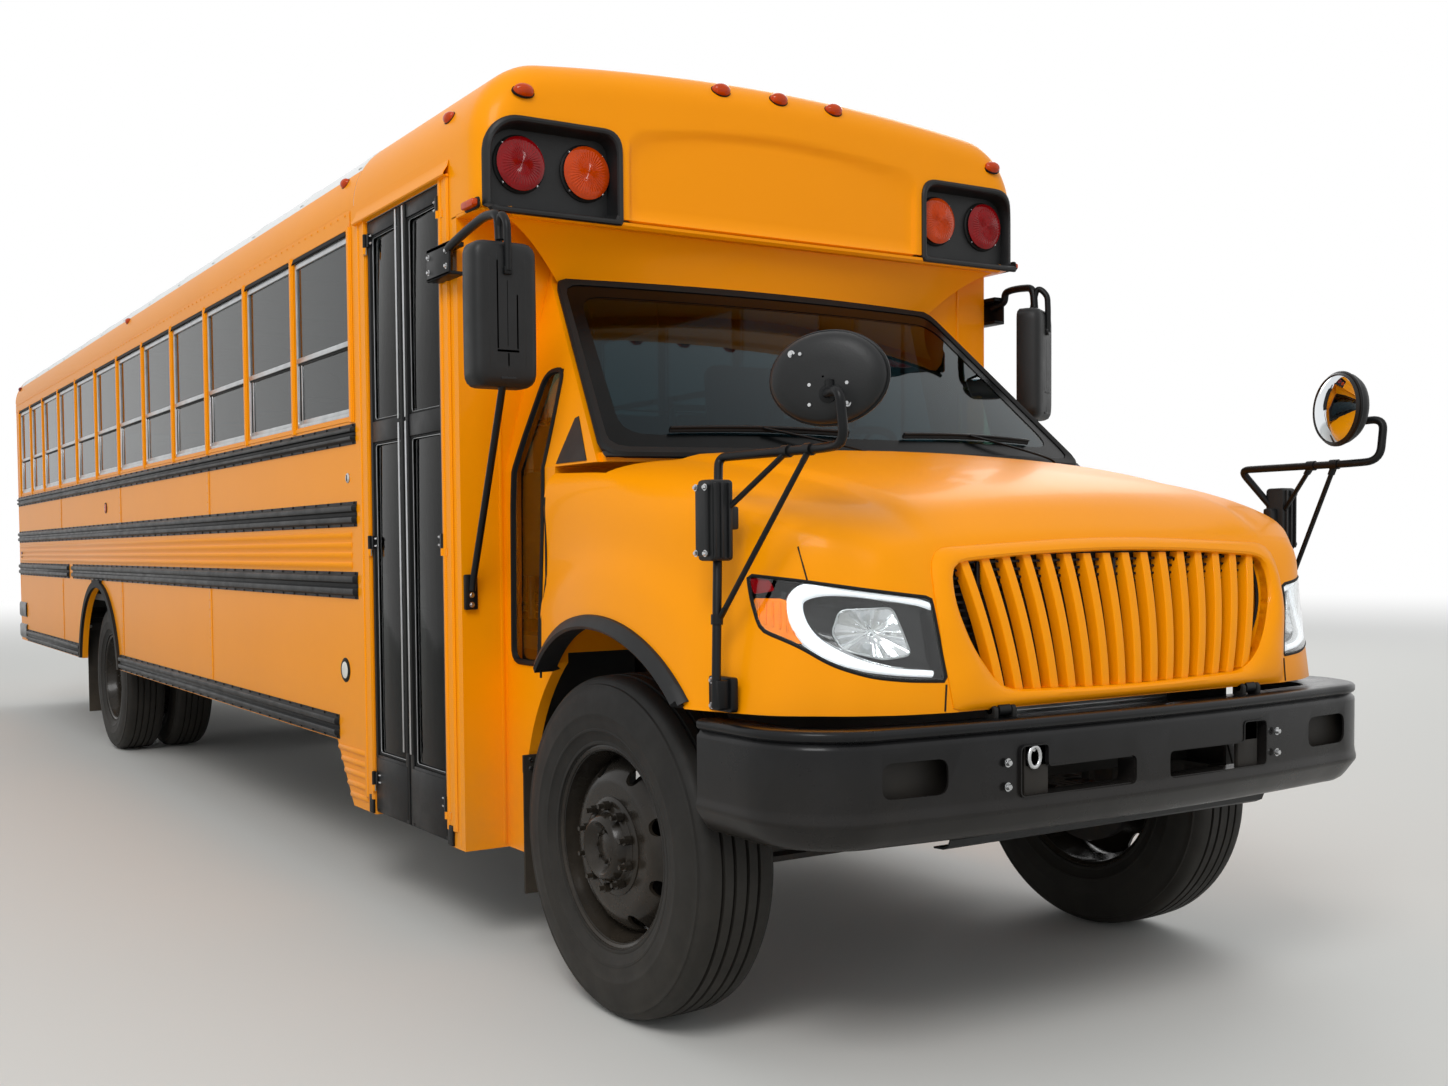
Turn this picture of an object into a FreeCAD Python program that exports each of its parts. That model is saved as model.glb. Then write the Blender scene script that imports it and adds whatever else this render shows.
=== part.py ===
import FreeCAD, Part
import math
import os

# School bus, conventional (bonneted) type, in millimetres.
# +X is the bus's left (street side), -Y is its front, +Z is up, z = 0 is the ground.
# While modelling, y is the station behind the front axle. The saved pieces are
# moved so that y = 0 is the middle of the overall length.

V = FreeCAD.Vector

# Chassis
WHEELBASE = 6850
TYRE_OD = 1020
TYRE_W = 284
RIM_R = 290            # bead seat radius
TYRE_X = 1010          # middle of the front and outer rear tyres, each side
DUAL_PITCH = 330       # spacing of the twin rear tyres
KINGPIN_X = 832
RAIL_X = 430           # middle of each frame rail
RAIL_W = 80
RAIL_LOW, RAIL_HIGH = 730, 985
RAIL_T = 10

# Body shell
HALF_W = 1219
WALL = 40
SKIRT_Z = 610
FLOOR_TOP = 1100
FLOOR_T = 45
BODY_FRONT = 840
BODY_REAR = 10300
CORNER_Z = 360         # lower edge of the front corners and the step well skirt
STEP_SKIRT_REAR = 2040

# Roof section
ROOF_TOP = 3078
CROWN_R = 9000
CORNER_R = 276
ROOF_T = 35
CAP_REAR = 1750        # the front cap ends and the white roof begins
CAP_FRONT = 600
CAP_LIP_Z = 2520
CAP_ROUND = 110

# Side windows
SILL_Z = 1931
HEADER_Z = 2654
FIRST_PILLAR = 1803
BAY = 711
BAYS = 10
SHORT_BAY = 600
SHORT_BAYS = 2
PILLAR_W = 50
GLASS_T = 12

# Entrance door
DOOR_Y0, DOOR_Y1 = 930, 1620
DOOR_Z0, DOOR_Z1 = 375, 2660
DOOR_GAP = 6

# Rear emergency door
RDOOR_HALF = 305
RDOOR_Z1 = 2600

# Bonnet and cowl
HOOD_REAR = 430
HOOD_GAP = 8
HOOD_LOW = 965
HOOD_T = 30
COWL_X = 1050
COWL_TOP = 1660
ARCH_R = 665
WS_LOW = (1690, 1030, 150, 30)     # windscreen foot: z, half width, y at corners, y at middle
WS_HIGH = (2320, 848, 755, 695)    # windscreen head: same four values
HOOD_PIVOT = (-950, 965)           # y, z

# Bumpers
BUMPER_Y = -1030
BUMPER_HALF = 1166
BUMPER_Z0, BUMPER_Z1 = 640, 945
REAR_BUMPER_Y = 10400

AXLE_Z = TYRE_OD / 2
MID_Y = (BUMPER_Y + REAR_BUMPER_Y) / 2
FIT = 0.3              # running clearance of pins and beads
CLEAR = 6              # gap round a door leaf or hatch

# Rear wheel arch
REAR_ARCH_R = 640
FLARE_W = 45           # width of the black ring round the arch


def box(x0, x1, y0, y1, z0, z1):
    """Block between two corners."""
    return Part.makeBox(x1 - x0, y1 - y0, z1 - z0, V(x0, y0, z0))


def prism_x(points, x0, x1):
    """Outline of (y, z) points carried from x0 to x1."""
    wire = Part.makePolygon([V(x0, y, z) for y, z in points + points[:1]])
    return Part.Face(wire).extrude(V(x1 - x0, 0, 0))


def prism_y(points, y0, y1):
    """Outline of (x, z) points carried from y0 to y1."""
    wire = Part.makePolygon([V(x, y0, z) for x, z in points + points[:1]])
    return Part.Face(wire).extrude(V(0, y1 - y0, 0))


def prism_z(points, z0, z1):
    """Outline of (x, y) points carried from z0 to z1."""
    wire = Part.makePolygon([V(x, y, z0) for x, y in points + points[:1]])
    return Part.Face(wire).extrude(V(0, 0, z1 - z0))


def rod(start, end, radius):
    """Round bar between two points."""
    a, b = V(*start), V(*end)
    return Part.makeCylinder(radius, a.distanceToPoint(b), a, b - a)


def pipe_run(points, radius):
    """Bent tube: round bars joined by a ball at every bend."""
    bars = [rod(a, b, radius) for a, b in zip(points, points[1:])]
    balls = [Part.makeSphere(radius, V(*p)) for p in points[1:-1]]
    return fuse(bars + balls)


def fuse(shapes):
    """One solid from pieces that overlap."""
    if len(shapes) == 1:
        return shapes[0]
    return shapes[0].multiFuse(shapes[1:]).removeSplitter()


def mirror(shape):
    """The same piece on the other side of the bus."""
    return shape.mirror(V(0, 0, 0), V(1, 0, 0))


def both(shape):
    return [shape, mirror(shape)]


def turned(points, x_mid, y, z):
    """Solid of revolution about a cross axis; points are (offset outwards in x, radius)."""
    wire = Part.makePolygon([V(x_mid + x, y, z + r) for x, r in points + points[:1]])
    return Part.Face(wire).revolve(V(x_mid, y, z), V(1, 0, 0), 360)


def save(name, shapes):
    """Move a piece to the shared frame and write it."""
    shapes = shapes if isinstance(shapes, list) else [shapes]
    whole = shapes[0] if len(shapes) == 1 else Part.makeCompound(shapes)
    whole = whole.copy()
    whole.translate(V(0, -MID_Y, 0))
    whole.exportStep("parts/" + name + ".step")


# ---------------------------------------------------------------- roof section

def roof_edges(inset):
    """Crown arc and two corner arcs, inset from the outer skin; returns edges and side height."""
    crown_c = ROOF_TOP - CROWN_R
    reach = CROWN_R - CORNER_R
    corner_x = HALF_W - CORNER_R
    corner_z = crown_c + math.sqrt(reach ** 2 - corner_x ** 2)
    tilt = math.asin(corner_x / reach)
    corner = CORNER_R - inset
    crown = CROWN_R - inset

    def on_corner(side, angle):
        return (side * (corner_x + corner * math.sin(angle)), corner_z + corner * math.cos(angle))

    join = on_corner(1, tilt)
    middle = on_corner(1, (tilt + math.pi / 2) / 2)
    side = on_corner(1, math.pi / 2)
    return side, middle, join, (0, crown_c + crown), corner_z


def roof_face(inset, low_z, y):
    """Closed section of the body's top, from low_z up to the roof skin."""
    side, middle, join, top, _ = roof_edges(inset)

    def p(point, sign=1):
        return V(sign * point[0], y, point[1])

    low_l, low_r = V(side[0], y, low_z), V(-side[0], y, low_z)
    edges = [
        Part.makeLine(low_r, low_l),
        Part.Arc(p(side), p(middle), p(join)).toShape(),
        Part.Arc(p(join), p(top), p(join, -1)).toShape(),
        Part.Arc(p(join, -1), p(middle, -1), p(side, -1)).toShape(),
    ]
    if abs(low_z - side[1]) > 0.001:
        edges.insert(1, Part.makeLine(low_l, p(side)))
        edges.append(Part.makeLine(p(side, -1), low_r))
    return Part.Face(Part.Wire(edges))


ROOF_SIDE_Z = roof_edges(0)[4]


def roof_block(inset, low_z, y0, y1):
    return roof_face(inset, low_z, y0).extrude(V(0, y1 - y0, 0))


def rounded_front(solid, y, radius, low_z):
    """Round the outline of a face at station y, except its lower edge."""
    picked = []
    for edge in solid.Edges:
        bounds = edge.BoundBox
        in_plane = abs(bounds.YMin - y) < 1 and abs(bounds.YMax - y) < 1
        if in_plane and bounds.ZMax > low_z + 1:
            picked.append(edge)
    return solid.makeFillet(radius, picked)


def front_cap():
    """Hollow front roof cap with the brow over the windscreen."""
    outer = rounded_front(roof_block(0, CAP_LIP_Z, CAP_FRONT, CAP_REAR), CAP_FRONT, CAP_ROUND, CAP_LIP_Z)
    inner_front = CAP_FRONT + ROOF_T
    inner = rounded_front(
        roof_block(ROOF_T, CAP_LIP_Z - 1, inner_front, CAP_REAR + 1), inner_front, CAP_ROUND - ROOF_T,
        CAP_LIP_Z)
    shell = outer.cut(inner)
    behind = box(-HALF_W - 1, HALF_W + 1, BODY_FRONT, CAP_REAR + 1, CAP_LIP_Z - 1, ROOF_SIDE_Z)
    return shell.cut(Part.makeCompound([behind] + warning_boxes()))


def roof():
    shell = roof_block(0, ROOF_SIDE_Z, CAP_REAR, BODY_REAR)
    return shell.cut(roof_block(ROOF_T, ROOF_SIDE_Z - 1, CAP_REAR - 1, BODY_REAR + 1))


HATCH_Y = (3500, 8000)
HATCH_HALF_X, HATCH_HALF_Y, HATCH_T = 330, 330, 45


def roof_with_hatch_holes():
    shell = roof()
    for y in HATCH_Y:
        shell = shell.cut(box(-HATCH_HALF_X + 30, HATCH_HALF_X - 30, y - HATCH_HALF_Y + 30,
                              y + HATCH_HALF_Y - 30, ROOF_TOP - 150, ROOF_TOP + 10))
    return shell


def hatch_lid(y):
    """Raised lid, hinged along its front edge, standing just above the crown."""
    low = ROOF_TOP + 0.3
    return box(-HATCH_HALF_X, HATCH_HALF_X, y - HATCH_HALF_Y, y + HATCH_HALF_Y, low, low + HATCH_T)


# ---------------------------------------------------------------- side walls

def window_spans():
    """(front edge, rear edge) of every side window."""
    spans = []
    pillar = FIRST_PILLAR
    for width in [BAY] * BAYS + [SHORT_BAY] * SHORT_BAYS:
        spans.append((pillar + PILLAR_W / 2, pillar + width - PILLAR_W / 2))
        pillar += width
    return spans


DRIVER_WINDOW = (960, 1600, 1760, 2600)   # y0, y1, z0, z1
WHEELHOUSE_HALF = 790    # the panel over each rear wheel is a sheet of its own
WHEELHOUSE_DROP = 541    # from the window sill down to that sheet's upper edge


def side_wall(side):
    """Side wall with its windows, rear wheel arch and front step skirt; side is +1 left, -1 right."""
    outline = [
        (BODY_FRONT, CORNER_Z), (STEP_SKIRT_REAR - 180, CORNER_Z), (STEP_SKIRT_REAR, SKIRT_Z),
        (BODY_REAR, SKIRT_Z), (BODY_REAR, ROOF_SIDE_Z), (BODY_FRONT, ROOF_SIDE_Z)]
    wall = prism_x(outline, HALF_W - WALL, HALF_W)
    cuts = [box(HALF_W - WALL - 1, HALF_W + 1, y0, y1, SILL_Z, HEADER_Z) for y0, y1 in window_spans()]
    cuts.append(rod((HALF_W - WALL - 1, WHEELBASE, AXLE_Z), (HALF_W + 1, WHEELBASE, AXLE_Z), REAR_ARCH_R))
    if side > 0:
        y0, y1, z0, z1 = DRIVER_WINDOW
        cuts.append(box(HALF_W - WALL - 1, HALF_W + 1, y0, y1, z0, z1))
    else:
        cuts.append(box(HALF_W - WALL - 1, HALF_W + 1, DOOR_Y0, DOOR_Y1, CORNER_Z - 1, DOOR_Z1))
    wall = wall.cut(Part.makeCompound(cuts))
    wheelhouse = box(HALF_W - WALL - 1, HALF_W + 1, WHEELBASE - WHEELHOUSE_HALF, WHEELBASE + WHEELHOUSE_HALF,
                     SKIRT_Z - 1, SILL_Z - WHEELHOUSE_DROP)
    panels = [wall.cut(wheelhouse), wall.common(wheelhouse)]
    if side > 0:
        return panels
    panels = [mirror(p) for p in panels]
    for y_edge, sign in ((DOOR_Y0, 1), (DOOR_Y1, -1)):
        x, y = leaf_axis(y_edge, sign)
        panels[0] = fuse([panels[0]] + hinge_knuckles(x, y, -HALF_W, y - sign * 32, HINGE_Z, True))
    return panels


def side_glass(side):
    """One pane per window, seated in its opening."""
    x0, x1 = HALF_W - WALL / 2 - GLASS_T / 2, HALF_W - WALL / 2 + GLASS_T / 2
    panes = [box(x0, x1, y0, y1, SILL_Z, HEADER_Z) for y0, y1 in window_spans()]
    if side > 0:
        y0, y1, z0, z1 = DRIVER_WINDOW
        panes.append(box(x0, x1, y0, y1, z0, z1))
    return panes if side > 0 else [mirror(p) for p in panes]


RAIL_OUT = 22            # how far the black rails stand off the side
RUB_FRONT = 1770
SKIRT_RAIL = (SKIRT_Z + 4, 716)
WAIST_RAIL = (1200, 1309)
WAIST_BREAK = (7750, 7900)


def arch_reach(radius, z):
    """Half the width of a circle about the rear axle, at a height z."""
    return math.sqrt(radius ** 2 - (AXLE_Z - z) ** 2)


def rub_rails():
    """Black rails along the side: (low z, high z, front y, rear y)."""
    tail = BODY_REAR - 30
    arch = arch_reach(REAR_ARCH_R + FLARE_W, SKIRT_RAIL[0]) + 8
    table = [(1818, 1900, RUB_FRONT, tail), (1490, 1591, RUB_FRONT, tail),
             WAIST_RAIL + (RUB_FRONT, WAIST_BREAK[0]), WAIST_RAIL + (WAIST_BREAK[1], tail),
             SKIRT_RAIL + (STEP_SKIRT_REAR - 30, WHEELBASE - arch),
             SKIRT_RAIL + (WHEELBASE + arch, BODY_REAR - 350)]
    rails = []
    for z0, z1, y0, y1 in table:
        rails += both(box(HALF_W, HALF_W + RAIL_OUT, y0, y1, z0, z1))
    return rails


def arch_flares():
    """Black ring round each rear wheel opening, with a neck up to the waist rail."""
    x0, x1 = HALF_W, HALF_W + RAIL_OUT - 2
    reach = REAR_ARCH_R + FLARE_W + 10
    ring = rod((x0, WHEELBASE, AXLE_Z), (x1, WHEELBASE, AXLE_Z), REAR_ARCH_R + FLARE_W)
    neck = box(x0, x1, WHEELBASE - 130, WHEELBASE + 130, AXLE_Z + REAR_ARCH_R - 30, WAIST_RAIL[0])
    ring = ring.fuse(neck).cut(rod((x0 - 1, WHEELBASE, AXLE_Z), (x1 + 1, WHEELBASE, AXLE_Z), REAR_ARCH_R))
    ring = ring.cut(box(x0 - 1, x1 + 1, WHEELBASE - reach, WHEELBASE + reach, -reach, SKIRT_RAIL[0]))
    above = box(x0 - 1, x1 + 1, WHEELBASE - reach, WHEELBASE + reach, WAIST_RAIL[0], WAIST_RAIL[0] + reach)
    return both(ring.cut(above).removeSplitter())


REAR_WALL_Z = 990


def rear_wall():
    """Rear end panel under the roof skin, with the door opening and two windows."""
    face = roof_face(ROOF_T, REAR_WALL_Z, BODY_REAR - WALL)
    panel = face.extrude(V(0, WALL, 0))
    side_cut = box(HALF_W - WALL, HALF_W, BODY_REAR - WALL - 1, BODY_REAR + 1, REAR_WALL_Z - 1, ROOF_SIDE_Z)
    cuts = both(side_cut)
    cuts.append(box(-RDOOR_HALF - CLEAR, RDOOR_HALF + CLEAR, BODY_REAR - WALL - 1, BODY_REAR + 1,
                    FLOOR_TOP, RDOOR_Z1 + CLEAR))
    cuts += both(rear_opening())
    cuts += plate_holes()
    x, y = RDOOR_AXIS
    knuckles = hinge_knuckles(x, y, x - 40, BODY_REAR, RHINGE_Z, True)
    return fuse([panel.cut(Part.makeCompound(cuts))] + knuckles)


REAR_WINDOW = (440, 1040, 1950, 2560)   # x0, x1, z0, z1

# Registration plate bolts, left of the rear door
PLATE_X, PLATE_Z = 680, 1240
PLATE_PITCH_X, PLATE_PITCH_Z = 177.8, 120.6
PLATE_HOLE_R = 3.5


def plate_holes():
    y0, y1 = BODY_REAR - WALL - 1, BODY_REAR + 1
    return [rod((PLATE_X + i * PLATE_PITCH_X / 2, y0, PLATE_Z + k * PLATE_PITCH_Z / 2),
                (PLATE_X + i * PLATE_PITCH_X / 2, y1, PLATE_Z + k * PLATE_PITCH_Z / 2), PLATE_HOLE_R)
            for i in (-1, 1) for k in (-1, 1)]


def rear_opening():
    x0, x1, z0, z1 = REAR_WINDOW
    return box(x0, x1, BODY_REAR - WALL - 1, BODY_REAR + 1, z0, z1)


def rear_glass():
    x0, x1, z0, z1 = REAR_WINDOW
    mid = BODY_REAR - WALL / 2
    return both(box(x0, x1, mid - GLASS_T / 2, mid + GLASS_T / 2, z0, z1))


# ---------------------------------------------------------------- floor and steps

STEP_INNER_X = 480
STEP_Y0, STEP_Y1 = 900, 1650


def floor():
    """Body floor, notched for the entrance steps, with cross sills on the frame."""
    low = FLOOR_TOP - FLOOR_T
    plate = box(-HALF_W + WALL, HALF_W - WALL, BODY_FRONT, BODY_REAR - WALL, low, FLOOR_TOP)
    toe = box(-COWL_X + WALL, COWL_X - WALL, HOOD_REAR + 40, BODY_FRONT, low, FLOOR_TOP)
    notch = box(-HALF_W, -STEP_INNER_X, STEP_Y0, STEP_Y1, low - 1, FLOOR_TOP + 1)
    sills = [box(-HALF_W + WALL, HALF_W - WALL, y, y + 60, RAIL_HIGH, low)
             for y in range(2100, 10200, 900) if abs(y - WHEELBASE) > 600]
    return fuse([plate, toe] + sills).cut(notch)


def step_well():
    """Three sheet steps from the door sill to the floor."""
    x_out = -HALF_W + WALL
    depth = (x_out + STEP_INNER_X) / -3
    rise = (FLOOR_TOP - 400) / 3
    t = 20
    pieces = []
    for i in range(3):
        x1 = x_out + depth * (i + 1)
        z = 400 + rise * i
        pieces.append(box(x1 - depth, x1, STEP_Y0, STEP_Y1, z - t, z))
        top = z + rise if i < 2 else FLOOR_TOP
        pieces.append(box(x1 - t, x1, STEP_Y0, STEP_Y1, z - t, top))
    for y in (STEP_Y0 - t, STEP_Y1):
        pieces.append(box(x_out, -STEP_INNER_X, y, y + t, 380, FLOOR_TOP - FLOOR_T))
    return fuse(pieces)


# ---------------------------------------------------------------- entrance door and rear door

LEAF_FRAME = 55
KICK_Z = 600                   # top of the solid kick panel
MID_RAIL_Z = (1810, 1890)      # lower and upper edge of the rail between the panes
LEAF_PANES = ((KICK_Z, MID_RAIL_Z[0]), (MID_RAIL_Z[1], DOOR_Z1 - DOOR_GAP - LEAF_FRAME))


def leaf(y0, y1):
    """Door leaf frame: two tall glass openings over a kick panel."""
    x0, x1 = -HALF_W, -HALF_W + WALL - 2
    panel = box(x0, x1, y0, y1, DOOR_Z0, DOOR_Z1 - DOOR_GAP)
    for z0, z1 in LEAF_PANES:
        panel = panel.cut(box(x0 - 1, x1 + 1, y0 + LEAF_FRAME, y1 - LEAF_FRAME, z0, z1))
    return panel


def leaf_glass(y0, y1):
    mid = -HALF_W + WALL / 2
    return [box(mid - 3, mid + 3, y0 + LEAF_FRAME, y1 - LEAF_FRAME, z0, z1)
            for z0, z1 in LEAF_PANES]


HINGE_R = 8
HINGE_Z = (480, 1400, 2560)     # middle height of each hinge
HINGE_HALF = 50


def hinge_knuckles(x, y, x_plate, y_plate, zs, lower):
    """Barrels on an upright axis, each with a plate to the face that carries it."""
    pieces = []
    for z in zs:
        z0, z1 = (z - HINGE_HALF, z - 0.15) if lower else (z + 0.15, z + HINGE_HALF)
        pieces.append(rod((x, y, z0), (x, y, z1), HINGE_R))
        pieces.append(box(min(x, x_plate), max(x, x_plate), min(y, y_plate), max(y, y_plate), z0, z1))
    return pieces


def leaf_axis(y_edge, sign):
    """Hinge axis of a leaf, just outside the wall, by the opening's edge."""
    return (-HALF_W - HINGE_R, y_edge + sign * 2)


def entrance_leaf(y0, y1, y_edge, sign):
    x, y = leaf_axis(y_edge, sign)
    return fuse([leaf(y0, y1)] + hinge_knuckles(x, y, -HALF_W, y + sign * 30, HINGE_Z, False))


DOOR_MID = (DOOR_Y0 + DOOR_Y1) / 2
LEAF_FRONT = (DOOR_Y0 + DOOR_GAP, DOOR_MID - DOOR_GAP)
LEAF_REAR = (DOOR_MID + DOOR_GAP, DOOR_Y1 - DOOR_GAP)


def rear_door():
    z0 = FLOOR_TOP + CLEAR
    panel = box(-RDOOR_HALF, RDOOR_HALF, BODY_REAR - WALL, BODY_REAR, z0, RDOOR_Z1)
    for a, b in RDOOR_WINDOWS:
        panel = panel.cut(box(-RDOOR_HALF + 80, RDOOR_HALF - 80, BODY_REAR - WALL - 1, BODY_REAR + 1, a, b))
    x, y = RDOOR_AXIS
    return fuse([panel] + hinge_knuckles(x, y, x + 35, BODY_REAR, RHINGE_Z, False))


RDOOR_AXIS = (-RDOOR_HALF - CLEAR / 2, BODY_REAR + HINGE_R)
RHINGE_Z = (1300, 1830, 2400)


RDOOR_WINDOWS = [(1400, 1750), (1900, 2520)]   # low z, high z


def rear_door_glass():
    mid = BODY_REAR - WALL / 2
    return [box(-RDOOR_HALF + 80, RDOOR_HALF - 80, mid - GLASS_T / 2, mid + GLASS_T / 2, a, b)
            for a, b in RDOOR_WINDOWS]


# ---------------------------------------------------------------- cowl and windscreen

def arc_band(z, half, y_side, y_mid, thick):
    """Closed strip in a level plane: front arc, rear arc and two ends."""
    front = Part.Arc(V(-half, y_side, z), V(0, y_mid, z), V(half, y_side, z)).toShape()
    back = Part.Arc(V(half, y_side + thick, z), V(0, y_mid + thick, z), V(-half, y_side + thick, z)).toShape()
    ends = [Part.makeLine(V(half, y_side, z), V(half, y_side + thick, z)),
            Part.makeLine(V(-half, y_side + thick, z), V(-half, y_side, z))]
    return Part.Wire([front, ends[0], back, ends[1]])


def windshield():
    low, high = WS_LOW, WS_HIGH
    return Part.makeLoft([arc_band(*low, GLASS_T), arc_band(*high, GLASS_T)], True, True)


PILLAR_LEAN = (COWL_X - WS_HIGH[1] - 22) / (WS_HIGH[0] - COWL_TOP)


def lean_plate(points, thick):
    """Plate above the cowl that leans inwards with height; points are (y, z)."""
    def x_at(z):
        return COWL_X - (z - COWL_TOP) * PILLAR_LEAN
    wire = Part.makePolygon([V(x_at(z), y, z) for y, z in points + points[:1]])
    return Part.Face(wire).extrude(V(-thick, 0, 0))


QUARTER_LOW = [(560, 1010), (750, 1010), (740, COWL_TOP), (510, COWL_TOP)]
QUARTER_HIGH = [(510, COWL_TOP), (740, COWL_TOP), (650, 1990), (530, 1990)]
PILLAR_Y = 800


def cowl():
    """Front corners, A pillars, firewall and cowl top as one shell."""
    foot_y, head_y = WS_LOW[2], WS_HIGH[2]
    side = prism_x([(PILLAR_Y, CORNER_Z), (HOOD_REAR + HOOD_GAP, CORNER_Z), (HOOD_REAR + HOOD_GAP, COWL_TOP),
                    (PILLAR_Y, COWL_TOP)], COWL_X - WALL, COWL_X)
    side = side.cut(rod((COWL_X - WALL - 1, 0, AXLE_Z), (COWL_X + 1, 0, AXLE_Z), ARCH_R + 10))
    side = side.cut(prism_x(QUARTER_LOW, COWL_X - WALL - 1, COWL_X + 1))
    pillar = lean_plate([(foot_y + 20, COWL_TOP), (PILLAR_Y, COWL_TOP), (PILLAR_Y, CAP_LIP_Z),
                         (head_y + 20, CAP_LIP_Z), (head_y + 20, WS_HIGH[0])], WALL)
    pillar = pillar.cut(quarter_high_prism(WALL + 4, 2))
    face_x = COWL_X - (CAP_LIP_Z - COWL_TOP) * PILLAR_LEAN - WALL
    corner = prism_y([(COWL_X - WALL, CORNER_Z), (HALF_W, CORNER_Z), (HALF_W, CAP_LIP_Z), (face_x, CAP_LIP_Z),
                      (COWL_X - WALL, COWL_TOP)], PILLAR_Y, BODY_FRONT)
    half = fuse([side, pillar, corner])
    firewall = box(-COWL_X + WALL, COWL_X - WALL, HOOD_REAR + HOOD_GAP, HOOD_REAR + 40,
                   FLOOR_TOP - FLOOR_T, COWL_TOP)
    top = cowl_top()
    return fuse([half, mirror(half), firewall, top])


def quarter_high_prism(thick, out):
    piece = lean_plate(QUARTER_HIGH, thick)
    piece.translate(V(out, 0, 0))
    return piece


def cowl_top():
    """Level shelf from the firewall to the windscreen foot."""
    z, half, y_side, y_mid = WS_LOW
    front = Part.Arc(V(-half, y_side, COWL_TOP), V(0, y_mid, COWL_TOP), V(half, y_side, COWL_TOP)).toShape()
    back = HOOD_REAR + 40
    lines = [Part.makeLine(V(half, y_side, COWL_TOP), V(half, back, COWL_TOP)),
             Part.makeLine(V(half, back, COWL_TOP), V(-half, back, COWL_TOP)),
             Part.makeLine(V(-half, back, COWL_TOP), V(-half, y_side, COWL_TOP))]
    return Part.Face(Part.Wire([front] + lines)).extrude(V(0, 0, z - COWL_TOP))


BROW_T = 18


def brow():
    """Fascia between the windscreen head and the cap's lip, with the lip's underside."""
    z, half, y_side, y_mid = WS_HIGH
    low = arc_band(z, half, y_side, y_mid, BROW_T)
    high = arc_band(CAP_LIP_Z, half - 45, y_side - 60, y_mid - 60, BROW_T)
    return Part.makeLoft([low, high], True, True)


def brow_lid():
    """Underside of the cap, ahead of the corner panels."""
    half = HALF_W - CAP_ROUND
    return box(-half, half, CAP_FRONT + ROOF_T, BODY_FRONT, CAP_LIP_Z, CAP_LIP_Z + BROW_T)


def quarter_glass():
    mid = WALL / 2 + GLASS_T / 2
    low = prism_x(QUARTER_LOW, COWL_X - mid, COWL_X - mid + GLASS_T)
    high = quarter_high_prism(GLASS_T, -WALL / 2 + GLASS_T / 2)
    return both(fuse([low, high]))


# ---------------------------------------------------------------- bonnet

# y, half width low, half width at shoulder, shoulder z, top z at middle
HOOD_SECTIONS = [
    (-950, 660, 640, 1060, 1090),
    (-925, 790, 740, 1210, 1250),
    (-890, 880, 810, 1330, 1385),
    (-840, 960, 870, 1380, 1450),
    (-700, 1100, 1000, 1430, 1535),
    (-400, 1165, 1080, 1500, 1620),
    (20, 1180, 1095, 1570, 1692),
    (HOOD_REAR, 1098, 1088, 1600, 1705),
]


def hood_wire(row, inset):
    """Section: level foot, leaning sides, rounded shoulders, crowned top."""
    y, low, shoulder, shoulder_z, top = row
    low, shoulder, shoulder_z, top = low - inset, shoulder - inset, shoulder_z - inset, top - inset
    foot = HOOD_LOW if inset == 0 else HOOD_LOW - 5
    inner_x, inner_z = shoulder * 0.78, shoulder_z + (top - shoulder_z) * 0.72
    bend_x, bend_z = shoulder * 0.94, shoulder_z + (top - shoulder_z) * 0.40
    edges = [
        Part.makeLine(V(-low, y, foot), V(low, y, foot)),
        Part.makeLine(V(low, y, foot), V(shoulder, y, shoulder_z)),
        Part.Arc(V(shoulder, y, shoulder_z), V(bend_x, y, bend_z), V(inner_x, y, inner_z)).toShape(),
        Part.Arc(V(inner_x, y, inner_z), V(0, y, top), V(-inner_x, y, inner_z)).toShape(),
        Part.Arc(V(-inner_x, y, inner_z), V(-bend_x, y, bend_z), V(-shoulder, y, shoulder_z)).toShape(),
        Part.makeLine(V(-shoulder, y, shoulder_z), V(-low, y, foot)),
    ]
    return Part.Wire(edges)


GRILLE = (510, 600, 1000, 1355)   # half width low and high, low z, high z
LAMP = (700, 1130, 1040, 1320)   # inner x, outer x, low z, high z


def hood_skin():
    return Part.makeLoft([hood_wire(r, 0) for r in HOOD_SECTIONS], True, True)


def hood():
    """Tilting bonnet shell with its wheel arches, grille opening and windscreen cut."""
    outer = hood_skin()
    rows = [(r[0] + (HOOD_T if i == 0 else 1 if i == len(HOOD_SECTIONS) - 1 else 0),) + r[1:]
            for i, r in enumerate(HOOD_SECTIONS)]
    inner = Part.makeLoft([hood_wire(r, HOOD_T) for r in rows], True, True)
    shell = outer.cut(inner)
    arches = rod((-1400, 0, AXLE_Z), (1400, 0, AXLE_Z), ARCH_R)
    opening = prism_y(grille_outline(0), -1000, HOOD_SECTIONS[0][0] + HOOD_T + 130)
    notches = hood_hinge_rods(HINGE_LUG_R + CLEAR, HINGE_HALF + HINGE_LUG_T + 2)
    for cut in [arches, opening] + screen_cuts() + notches:
        shell = shell.cut(cut)
    y, z = HOOD_PIVOT
    webs = [box(x - HINGE_EAR, x + HINGE_EAR, y, y + HOOD_T - 2, z, z + 32) for x in (-HINGE_X, HINGE_X)]
    shell = fuse([shell] + hood_hinge_rods(HINGE_LUG_R, HINGE_EAR) + webs)
    for bore in hood_hinge_rods(HINGE_PIN_R + FIT, HINGE_EAR + 2):
        shell = shell.cut(bore)
    return shell


HINGE_X = 500            # middle of each bonnet hinge
HINGE_EAR = 20           # half width of the ear on the bonnet
HINGE_HALF = 26          # from the hinge's middle to the inside of each lug
HINGE_LUG_T = 14
HINGE_LUG_R, HINGE_PIN_R = 18, 10


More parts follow.
